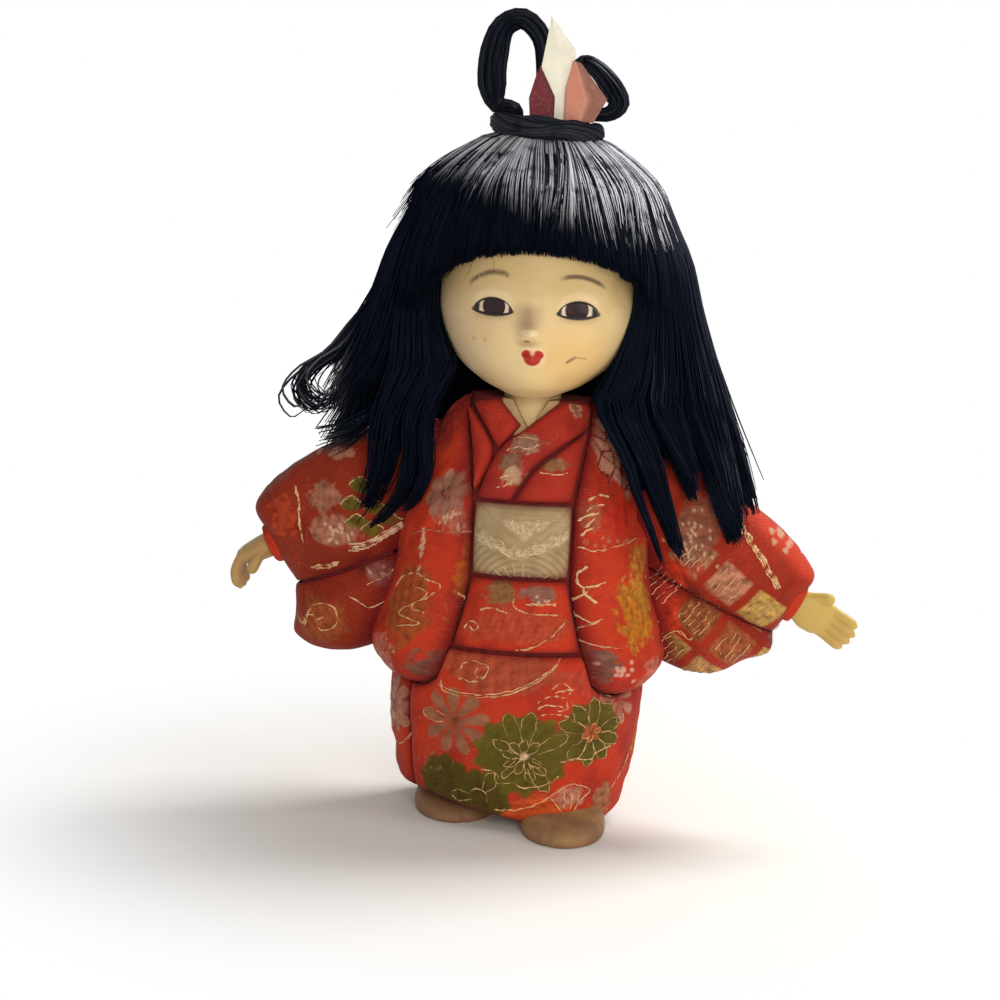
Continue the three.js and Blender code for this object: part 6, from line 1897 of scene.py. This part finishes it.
# Loose curls beside the right sleeve: points from root to tip.
WISPS = (
    ((-45, -4, 157), (-52.9, -5, 146), (-58.2, -6, 138), (-66, -6, 132), (-69, -6, 126), (-64, -6, 121),
     (-59, -5, 124)),
    ((-47, -4, 141), (-51.3, -6, 129), (-53.8, -7, 121.4), (-58.2, -8, 111.6)),
    ((-43, -8, 124), (-47.2, -12, 119), (-52.6, -14, 114.6), (-58.5, -14, 112)),
)


def bangs_low(turn):
    """Height of the bangs' cut edge, which sags to both sides and a little more to the right."""
    side = np.clip(turn / SIDE_START, -1, 1)
    return CHIN_Z + 42.7 - 7.2 * side**2 + 1.8 * side**3 - 9 * side**4


def side_form(name, share, z, rise):
    """Point of the side hair: share runs from its front edge to the seam behind the ear.

    The front edge hugs the cheek and swings forward under the jaw; further back the hair lies on the bell.
    """
    edge = np.array(FRONT_EDGE[name][::-1], float)
    spot = np.clip(np.interp(z, edge[:, 0], np.arange(len(edge))), 0, len(edge) - 1)
    line = through(edge, spot, even=True)
    snug = np.stack([line[..., 1], line[..., 2], z + 0 * spot], -1)
    inward = np.asarray(rise, float)[..., None] * (0.15, -1, 0)
    bell = HAIR.at(mix(SIDE_START, BACK_TURN, share), z, rise)
    return mix(snug + inward, bell, ease(share / 0.42)[..., None])


def clear_of_sleeve(points, name, front):
    """Pushes hair in front of or behind a sleeve where it hangs below the sleeve's top."""
    outline = Sleeve(name, 1).outline[2:6][::-1]
    x, y, z = points[..., 0], points[..., 1], points[..., 2]
    top = np.interp(np.abs(x), outline[:, 0], outline[:, 1]) + 3
    beside = ease((np.abs(x) - 16) / 14)
    limit = (SLEEVE_DEPTH + 4.5) * ease((top + 9 - z) / 14) * beside
    pushed = np.where(front, np.minimum(y, -limit), np.maximum(y, limit))
    return np.stack([x, np.where(limit > 0.01, pushed, y), z], -1)


class MakeHair(bpy.types.Operator):
    """Bangs, side hair, back hair and crown, strand by strand over a dark under-layer"""

    bl_idname = "doll.make_hair"
    bl_label = "Hair"

    def execute(self, context):
        settings = context.scene.doll_hair
        self.count, self.width = settings.strands, settings.width
        self.black = silk_hair("silk_hair", 0.012)
        self.bangs()
        for name, sign in SIDES:
            self.side(name, sign)
        self.back()
        self.crown()
        return {"FINISHED"}

    def hang(self, piece, node):
        """Bakes the hanging hair's placement into its mesh and hides the node that it stands for."""
        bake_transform(piece)
        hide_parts(node)

    def bangs(self):
        """Strands straight down from the crown to the cut edge, bent in at their ends."""
        rng = np.random.default_rng(11)
        v = np.linspace(0, 1, 9)[None, :]
        turn = rng.uniform(-1.05, 1.05, (self.count, 1)) * BANGS_TURN
        low = bangs_low(turn) + rng.normal(0, 0.3, (self.count, 1))
        z = mix(198.5, low, v)
        layer = rng.uniform(0, 3.2, (self.count, 1))
        paths = HAIR.at(turn + 0.02 * np.sin(3 * v + 40 * turn), z, -layer - 3.4 * v**2.2)
        turns, share = np.meshgrid(np.linspace(-1.04, 1.04, 61) * BANGS_TURN, np.linspace(0, 1, 25))
        sunk = -2.4 - 3.2 * (1 - share) ** 2.2
        under = outward(*sheet_of(HAIR.at, turns, mix(bangs_low(turns) + 1.2, 196.0, share), sunk, 1.6))
        piece = hair_piece("wig_bangs_hair", frizz(paths, rng, 0.25), self.width, self.black, 12, under)
        settle(piece, HEAD, "hair", "wig_bangs")

    def side(self, name, sign):
        """Strands from under the crown into pointed locks, with strays that stand off at their tips."""
        rng = np.random.default_rng(20 + sign)
        count = int(0.65 * self.count)
        v = np.linspace(0, 1, 18)[None, :]
        locks = np.array(LOCKS[name])
        share = rng.uniform(0, 1, (count, 1)) ** 1.25
        chosen = np.abs(share - locks[:, 0]).argmin(1)
        lock, tip = locks[chosen, :1], locks[chosen, 1:]
        stray = rng.uniform(0, 1, (count, 1)) > 0.95
        low = tip + 60 * np.abs(share - lock) + rng.exponential(1.6 if sign > 0 else 3, (count, 1))
        low = low + stray * rng.uniform(-8 if sign < 0 else 0, 18, (count, 1))
        z = mix(rng.uniform(*ROOTS_Z, (count, 1)), low, v)
        place = mix(share, lock, 0.75 * v**3.2)
        layer = rng.uniform(0, 1, (count, 1)) ** 1.5 * (4 + 5 * np.sin(math.pi * v))
        loose = np.where(stray & (share > 0.3), 2.5, 0.8)
        flare = (1.0 if sign > 0 else 2.2) * v**3 * rng.normal(0, 1, (count, 1)) * loose
        paths = clear_of_sleeve(side_form(name, place, z, flare - layer), name, place < 0.5)
        paths = frizz(paths, rng, 0.4 if sign > 0 else 0.8) * (sign, 1, 1)
        if sign < 0:
            paths = np.concatenate([paths, self.wisps(rng, v.shape[1])])
        shares, heights = np.meshgrid(np.linspace(0.04, 1, 41), np.linspace(0, 1, 41))
        tall = mix(np.interp(shares, locks[:, 0], locks[:, 1]) + 20, UNDER_TOP_Z, heights)

        def form(place, z, rise):
            return clear_of_sleeve(side_form(name, place, z, rise), name, place < 0.5) * (sign, 1, 1)

        under = outward(*sheet_of(form, shares, tall, -4.5 * ease(shares / 0.2) - 1.5, 1.5))
        piece = hair_piece(f"wig_side_{name}_hair", paths, 1.5 * self.width, self.black, 30 + sign, under)
        self.hang(piece, f"wig_side_{name}")

    def wisps(self, rng, steps):
        """Loose curls on the doll's right: smooth lines with seeded neighbours that spread to the tips."""
        lines = [through(np.array(stops, float), np.linspace(0, len(stops) - 1, steps)) for stops in WISPS]
        paths = np.repeat(lines, 50, axis=0)
        along = np.linspace(0, 1, steps)[None, :, None]
        return paths + rng.normal(0, 1, (len(paths), 1, 3)) * (0.6 + 1.8 * along)

    def shorter(self, turn):
        """How much higher the back hair ends towards the doll's right."""
        return 22 * ease((turn - 195 * DEGREE) / (40 * DEGREE))

    def back(self):
        """Strands down the back of the bell to uneven tips."""
        rng = np.random.default_rng(31)
        count = int(0.75 * self.count)
        v = np.linspace(0, 1, 12)[None, :]
        ends = BACK_TURN - 0.06, TURN - BACK_TURN + 0.06
        turn = rng.uniform(*ends, (count, 1))
        locks = np.sort(rng.uniform(*ends, 17))
        lock = locks[np.abs(turn - locks).argmin(1)][:, None]
        low = 93 + 2.5 * np.sin(lock * 9) + 30 * np.abs(turn - lock) + rng.exponential(1.5, (count, 1))
        low = low + self.shorter(turn)
        z = mix(rng.uniform(*ROOTS_Z, (count, 1)), low, v)
        layer = rng.uniform(0, 1, (count, 1)) ** 1.5 * (3 + 4 * np.sin(math.pi * v))
        paths = HAIR.at(mix(turn, lock, 0.35 * v**2), z, -layer + rng.normal(0, 0.8, (count, 1)) * v**3)
        turns, heights = np.meshgrid(np.linspace(*ends, 61), np.linspace(0, 1, 41))
        foot = 104 + self.shorter(turns)
        sunk = np.full(turns.shape, -4.0)
        under = outward(*sheet_of(HAIR.at, turns, mix(foot, UNDER_TOP_Z, heights), sunk, 1.6))
        paths = frizz(paths, rng, 0.5)
        piece = hair_piece("wig_back_hair", paths, 1.45 * self.width, self.black, 32, under)
        self.hang(piece, "wig_back")

    def crown(self):
        """Strands from the tie over the dome of the crown, with tufts that stand off on the right."""
        rng = np.random.default_rng(41)
        count = int(0.95 * self.count)
        v = np.linspace(0, 1, 10)[None, :]
        turn = rng.uniform(0, TURN, (count, 1))
        low = rng.uniform(172, 186, (count, 1))
        z = mix(CROWN_Z + 0.5, low, v**1.25)
        aside = np.exp(-(((turn - 1.5 * math.pi) / 0.35) ** 2))
        tuft = 5 * v**2 * aside * rng.uniform(0, 1, (count, 1)) ** 2
        lift = 0.5 - rng.uniform(0, 1.6, (count, 1)) - 1.2 * v**3 + tuft
        paths = HAIR.at(turn + 0.05 * np.sin(2.5 * v + 9 * turn), np.minimum(z, CROWN_Z), lift)
        gather = mix(0.62, 1.0, ease(v / 0.16))
        raised = (1 - ease(v / 0.2)) * 2.6
        paths = paths * np.stack([gather, gather, np.ones_like(gather)], -1) + raised[..., None] * (0, 0, 1)
        turns, share = np.meshgrid(circle(72), np.linspace(0, 1, 25))
        under = outward(*tube(HAIR.at(turns, mix(181.0, CROWN_Z - 0.3, share), -1.8)))
        crown_sheen = silk_hair("crown_hair", 1.0)
        piece = hair_piece("wig_crown_hair", frizz(paths, rng, 0.3), self.width, crown_sheen, 42, under)
        settle(piece, HEAD, "hair", "wig_crown")


# Topknot. A loop is a list of stops: distance to the side, share of the loop's height and half width.
SMALL_LOOP_HEIGHT = 20.0
SMALL_LOOP = (
    (6.5, 0, 1.8), (6.5, 0.3, 1.8), (7, 0.66, 1.8), (9.5, 0.86, 2), (13, 0.8, 2.4), (18, 0.54, 3.2),
    (20.4, 0.3, 3.2), (18, 0.15, 2.2), (11.5, 0.1, 1.6), (10.5, 0, 1.6),
)
LARGE_LOOP_HEIGHT = 32.0
LARGE_LOOP = (
    (-1.6, 0, 2.2), (-1.6, 0.12, 2.2), (-1.6, 0.45, 2.4), (-3, 0.74, 2.8), (-8.5, 0.9, 3),
    (-14, 0.83, 3.4), (-16.5, 0.6, 4.2), (-16.8, 0.3, 4.2), (-14.8, 0.12, 2.6), (-9.6, 0.09, 1.9),
    (-9, 0, 1.9),
)
LOOP_Z = KNOT_TOP_Z + 0.4
KNOT_WIDE = 14
KNOT_DEEP = 9.5
TIE_RADIUS = 2.4


class MakeTopknot(bpy.types.Operator):
    """Topknot, the band that ties it and the two hair loops"""

    bl_idname = "doll.make_topknot"
    bl_label = "Topknot"

    def execute(self, context):
        settings = context.scene.doll_hair
        self.width = settings.width
        self.black = silk_hair("loop_hair", 0.03)
        self.loop("hair_loop_left", SMALL_LOOP, SMALL_LOOP_HEIGHT, settings.loop_strands, 51)
        self.loop("hair_loop_right", LARGE_LOOP, LARGE_LOOP_HEIGHT, settings.loop_strands, 52)
        self.stem()
        self.tie()
        return {"FINISHED"}

    def loop(self, node, stops, height, count, seed):
        """Strands carried along a loop, spread over an oval across it, round a dark middle."""
        rng = np.random.default_rng(seed)
        table = np.array(stops)
        steps = np.linspace(0, len(stops) - 1, 31)
        spots = np.stack([table[:, 0], 0 * table[:, 0], LOOP_Z + table[:, 1] * height], -1)
        line = through(spots, steps)
        half = np.interp(steps, np.arange(len(stops)), table[:, 2])
        out = unit(np.cross(np.gradient(line, axis=0), (0, 1, 0)))
        radius = np.sqrt(rng.uniform(0.3, 1, (count, 1)))
        sway = 0.5 * np.sin(np.linspace(0, 3, 31) + rng.uniform(0, 6, (count, 1)))
        swing = rng.uniform(0, TURN, (count, 1)) + sway
        aside = (radius * np.cos(swing) * half)[..., None] * out
        paths = line + aside + (radius * np.sin(swing) * 4.0)[..., None] * (0, 1, 0)
        turns = circle(20)
        oval = (half[:, None] * np.cos(turns))[..., None] * out[:, None]
        oval = oval + (4 * np.sin(turns))[:, None] * (0, 1, 0)
        under = outward(*tube(line[:, None] + 0.8 * oval))
        piece = hair_piece(node + "_hair", paths, 1.2 * self.width, self.black, seed + 5, under)
        settle(piece, HEAD, "hair", node)

    def stem(self):
        """A low mound of gathered hair: strands up its side and over its top."""
        rng = np.random.default_rng(61)
        count = 420
        v = np.linspace(0, 1, 10)[None, :]
        turn = rng.uniform(0, TURN, (count, 1)) + 0.3 * v
        reach = np.interp(v, [0, 0.35, 0.6, 0.8, 1], [1.05, 0.9, 0.88, 0.7, 0.25])
        reach = reach * rng.uniform(0.93, 1, (count, 1))
        z = mix(KNOT_Z, KNOT_TOP_Z, np.interp(v, [0, 0.55, 0.8, 1], [0, 0.8, 1, 1])) + 0 * turn
        paths = np.stack([KNOT_WIDE * reach * np.sin(turn), -KNOT_DEEP * reach * np.cos(turn), z], -1)
        turns = circle(40)
        profile = np.array([(0.98, 0), (0.86, 0.3), (0.84, 0.8), (0.7, 0.97), (0.3, 0.98)])
        wide, tall = profile[:, :1], mix(KNOT_Z, KNOT_TOP_Z, profile[:, 1:])
        rings = (KNOT_WIDE * wide * np.sin(turns), -KNOT_DEEP * wide * np.cos(turns), tall + 0 * turns)
        rings = np.stack(rings, -1)
        piece = hair_piece("topknot_stem_hair", paths, self.width, self.black, 62, outward(*tube(rings)))
        settle(piece, HEAD, "hair", "topknot_stem")

    def tie(self):
        """A ragged band: strands wound round an oval ring that slopes down to the doll's left."""
        rng = np.random.default_rng(71)
        turn = np.linspace(0, TURN, 49)[None, :]
        count = 190
        start = rng.uniform(0, TURN, (count, 1))
        twist = start + 0.5 * np.sin(3 * turn + start)
        girth = TIE_RADIUS * np.sqrt(rng.uniform(0.5, 1.1, (count, 1)))
        girth = girth * (1 + 0.1 * np.sin(7 * turn + 2 * start))
        wide, deep = 0.86 * KNOT_WIDE + TIE_RADIUS, 0.86 * KNOT_DEEP + TIE_RADIUS
        out = girth * np.cos(twist)
        lift = 1.25 * girth * np.sin(twist)
        paths = self.slope((wide + out) * np.sin(turn), (deep + out) * np.cos(turn), lift)
        turns, over = np.meshgrid(circle(72), np.linspace(0, TURN, 17), indexing="ij")
        out = 0.8 * TIE_RADIUS * np.cos(over)
        lift = TIE_RADIUS * np.sin(over)
        ring = self.slope((wide + out) * np.sin(turns), (deep + out) * np.cos(turns), lift)
        ring = np.concatenate([ring, ring[:1]])
        under = outward(ring.reshape(-1, 3), grid_faces(ring.shape[0], ring.shape[1]))
        black = silk_hair("tie_cord", 0.06)
        piece = hair_piece("topknot_tie_cord", paths, 1.2 * self.width, black, 72, under)
        settle(piece, HEAD, "hair", "topknot_tie")

    def slope(self, x, y, z):
        """Points of the tie, tilted about the depth axis and set on the knot."""
        tilt = 4 * DEGREE
        middle = mix(KNOT_Z, KNOT_TOP_Z, 0.63)
        spots = x * math.cos(tilt) + z * math.sin(tilt), y, middle + z * math.cos(tilt) - x * math.sin(tilt)
        return np.stack(spots, -1)


PAPER_HEIGHT = 31.0


class MakePapers(bpy.types.Operator):
    """Folded papers between the hair loops"""

    bl_idname = "doll.make_papers"
    bl_label = "Papers"

    def execute(self, context):
        paper = context.scene.doll_paper
        shapes = (
            ("crimson", ((-5, 0), (-5.6, 0.2), (-3.6, 0.44), (-2.8, 0.5)),
             ((4, 0), (4, 0.16), (-2.8, 0.5))),
            ("cream", ((2, 0), (2, 0.22), (-2.4, 0.487), (-0.1, 0.97)),
             ((5.6, 0), (5.6, 0.33), (7.6, 0.645), (4.3, 0.78), (-0.1, 0.97))),
            ("pink", ((5, 0), (5, 0.3), (6.8, 0.56)), ((13.5, 0), (17.2, 0.22), (9.1, 0.54), (6.8, 0.56))),
        )
        for layer, (name, left, right) in enumerate(shapes):
            self.sheet(name, getattr(paper, name), layer, np.array(left), np.array(right))
        return {"FINISHED"}

    def sheet(self, name, colour, layer, left, right):
        """A thin sheet between two edges, bent along its middle and curled towards its corner."""
        u, v = np.meshgrid(np.linspace(0, 1, 25), np.linspace(0, 1, 49))
        ends = []
        for edge in (left, right):
            gaps = np.hypot(np.diff(edge[:, 0]), PAPER_HEIGHT * np.diff(edge[:, 1]))
            run = np.concatenate([[0], np.cumsum(gaps)])
            ends.append([np.interp(v, run / run[-1], edge[:, k]) for k in (0, 1)])
        x, share = mix(ends[0][0], ends[1][0], u), mix(ends[0][1], ends[1][1], u)
        z = LOOP_Z + share * PAPER_HEIGHT
        crease = u - 0.5
        y = -4.65 - layer * 1.2 + 0.9 * np.abs(crease) - 0.5 * share**2 + 0.1 * crumple(x, z, layer, 7)
        face = np.stack([x, y, z], -1)
        points, faces = slab(face + (0, -0.4, 0), face)
        material, tree, shader = material_of(f"{name}_paper")
        point = axis_point(tree)
        fibre = noise(point, 0.9, 5, 0.7)
        bend = carried(tree, "fold", "Fac")
        dark = tuple(0.36 * part for part in colour)
        tone = mixed(0.25 * fade(noise(point, 0.1, 3), 0.35, 0.75), colour, dark)
        # Painted shade: the paper darkens on one side of its fold, most on the pink paper.
        tone = mixed((0.2, 0.06, 0.9)[layer] * fade(bend, -0.06, 0.2), tone, dark)
        tone = mixed(0.08 * layer * fade(size_of(bend), 0.04, 0.0), tone, (0.8, 0.62, 0.48))
        tone = mixed(0.1 * fade(fibre, 0.45, 0.75), tone, (0.8, 0.66, 0.5))
        finish(shader, tone, 0.6 + 0.25 * fibre)
        bump(shader, fibre, 0.1)
        uv = np.tile(np.stack([x, z], -1).reshape(-1, 2), (2, 1))
        folds = {"fold": np.tile(crease.ravel(), 2)}
        piece = make_piece(f"paper_{name}_sheet", points, faces, material, uv, folds)
        settle(piece, HEAD, f"{name}_paper", f"paper_{name}")


class FinishCore(bpy.types.Operator):
    """Materials of the core, pegs, dowels and pins, whose own solids stay"""

    bl_idname = "doll.finish_core"
    bl_label = "Core and pins"

    def execute(self, context):
        paste, tree, shader = material_of("wood_paste")
        point = axis_point(tree)
        x, y, z = parts(point)
        grain = noise(point, 0.5, 5, 0.65)
        # Painted shade: the core is coloured deep red so the seam gaps between the panels read as shaded
        # grooves; the bare paste shows only at the throat.
        groove_shade_red = mixed(fade(grain, 0.3, 0.7), (0.22, 0.01, 0.012), (0.12, 0.006, 0.008))
        throat = fade(z, THROAT_Z - 2.5, THROAT_Z - 1.5) * fade(size_of(x), 8.6, 7.8) * fade(y, -6.0, -7.0)
        bare = mixed(grain, (0.52, 0.36, 0.2), (0.4, 0.26, 0.13))
        finish(shader, mixed(throat, groove_shade_red, bare), 0.8 + 0.15 * grain)
        bump(shader, grain, 0.2)
        wood, tree, shader = material_of("peg_wood")
        x, y, z = parts(axis_point(tree))
        rings = noise(joined(x * 2.0, y * 2.0, z * 0.2), 0.5, 4)
        colour = mixed(fade(rings, 0.35, 0.65), (0.5, 0.3, 0.12), (0.34, 0.18, 0.07))
        finish(shader, colour, 0.6 + 0.2 * rings)
        wire, tree, shader = material_of("pin_wire")
        rust = noise(axis_point(tree), 1.2, 4)
        colour = mixed(fade(rust, 0.45, 0.7), (0.5, 0.48, 0.44), (0.2, 0.1, 0.05))
        finish(shader, colour, 0.3 + 0.4 * rust, Metallic=0.9)
        kinds = {"core": paste, "pin": wire, "peg": wood, "dowel": wood}
        for name, node in frame["nodes"].items():
            for word, material in kinds.items():
                if word in name.split("_"):
                    node.data.materials.clear()
                    node.data.materials.append(material)
        return {"FINISHED"}


class SetStage(bpy.types.Operator):
    """Camera, lights, white surroundings and floor"""

    bl_idname = "doll.set_stage"
    bl_label = "Stage"

    def execute(self, context):
        stage = context.scene.doll_stage
        target = Vector(AXIS) + Vector((-8.1, 0, 95)) * MM
        turn, tilt = stage.azimuth, stage.elevation
        way = Vector((math.sin(turn) * math.cos(tilt), -math.cos(turn) * math.cos(tilt), math.sin(tilt)))
        camera = bpy.data.objects.new("camera", bpy.data.cameras.new("camera"))
        camera.data.lens = stage.lens
        camera.data.sensor_width = 36
        camera.data.clip_start = 0.01
        self.aim(camera, target + way * stage.distance, target, stage.lean)
        context.scene.collection.objects.link(camera)
        context.scene.camera = camera
        lamps = (
            ("key", (0.17, -0.88, 0.22), 0.4, stage.key, (1.0, 0.92, 0.78)),
            ("side", (0.75, -0.3, 0.3), 0.4, 0.35 * stage.key, (1.0, 0.93, 0.84)),
            ("rim", (0.4, 0.3, 0.6), 0.3, stage.rim, (1.0, 0.97, 0.92)),
        )
        for name, spot, size, power, colour in lamps:
            lamp = bpy.data.objects.new(name, bpy.data.lights.new(name, "AREA"))
            lamp.data.size = size
            lamp.data.energy = power
            lamp.data.color = colour
            self.aim(lamp, target + Vector(spot), target, 0)
            context.scene.collection.objects.link(lamp)
        self.surround(context, stage.ambient)
        self.floor(context)
        context.scene.view_settings.view_transform = "Standard"
        return {"FINISHED"}

    def aim(self, thing, spot, target, lean):
        """Puts a thing at spot, looking at target, leant about its line of sight."""
        look = (target - spot).to_track_quat("-Z", "Y").to_matrix() @ Matrix.Rotation(lean, 3, "Z")
        thing.matrix_world = Matrix.Translation(spot) @ look.to_4x4()

    def seen(self, tree):
        """1 for what the camera sees, directly or in a mirror or glass."""
        rays = tree.nodes.new("ShaderNodeLightPath")
        words = ("Camera", "Glossy", "Transmission")
        kinds = [Wire(tree, rays.outputs[f"Is {word} Ray"]) for word in words]
        return most(most(kinds[0], kinds[1]), kinds[2])

    def surround(self, context, ambient):
        """White surroundings that light the doll more softly than they look."""
        world = bpy.data.worlds.new("studio")
        world.use_nodes = True
        tree = world.node_tree
        background = tree.nodes["Background"]
        background.inputs["Color"].default_value = (1, 1, 1, 1)
        plug(ambient + (1 - ambient) * self.seen(tree), background.inputs["Strength"])
        context.scene.world = world

    def floor(self, context):
        """Pale floor that keeps the shadow near the doll and fades to white further off."""
        mesh = bpy.data.meshes.new("floor")
        end = 6.0
        corners = [(-end, -end, 0), (end, -end, 0), (end, end, 0), (-end, end, 0)]
        mesh.from_pydata(corners, [], [(0, 1, 2, 3)])
        material, tree, shader = material_of("pale_floor")
        finish(shader, (0.9, 0.89, 0.88, 1), 0.9)
        point = axis_point(tree)
        x, y, _ = parts(point)
        off = far(x, y)
        glow = tree.nodes.new("ShaderNodeEmission")
        blend = tree.nodes.new("ShaderNodeMixShader")
        plug(self.seen(tree) * fade(off, 60.0, 190.0), blend.inputs[0])
        tree.links.new(shader.outputs[0], blend.inputs[1])
        tree.links.new(glow.outputs[0], blend.inputs[2])
        tree.links.new(blend.outputs[0], tree.nodes["Material Output"].inputs["Surface"])
        mesh.materials.append(material)
        floor = bpy.data.objects.new("floor", mesh)
        context.scene.collection.objects.link(floor)


OPERATORS = (
    FinishCore, MakeFeet, MakeSkirt, MakeWaist, MakeNeckline, MakeJacket, MakeSleeves, MakeHands,
    MakeHead, MakeEyes, MakeHair, MakeTopknot, MakePapers, SetStage,
)


class DollPanel(bpy.types.Panel):
    """Lists the doll's settings and the steps that make it"""

    bl_idname = "VIEW3D_PT_doll"
    bl_label = "Kimekomi doll"
    bl_space_type = "VIEW_3D"
    bl_region_type = "UI"
    bl_category = "Doll"

    def draw(self, context):
        for name, group in SETTINGS.items():
            box = self.layout.box()
            for key in group.__annotations__:
                box.prop(getattr(context.scene, name), key)
        for operator in OPERATORS:
            self.layout.operator(operator.bl_idname)


def register():
    """Registers the settings, operators and panel."""
    for name, group in SETTINGS.items():
        bpy.utils.register_class(group)
        setattr(bpy.types.Scene, name, PointerProperty(type=group))
    for operator in OPERATORS:
        bpy.utils.register_class(operator)
    bpy.utils.register_class(DollPanel)


def unregister():
    """Takes them all away again."""
    bpy.utils.unregister_class(DollPanel)
    for operator in reversed(OPERATORS):
        bpy.utils.unregister_class(operator)
    for name, group in SETTINGS.items():
        delattr(bpy.types.Scene, name)
        bpy.utils.unregister_class(group)


def main():
    """Makes the doll."""
    register()
    for operator in OPERATORS:
        group, name = operator.bl_idname.split(".")
        getattr(getattr(bpy.ops, group), name)()


if __name__ == "__main__":
    main()
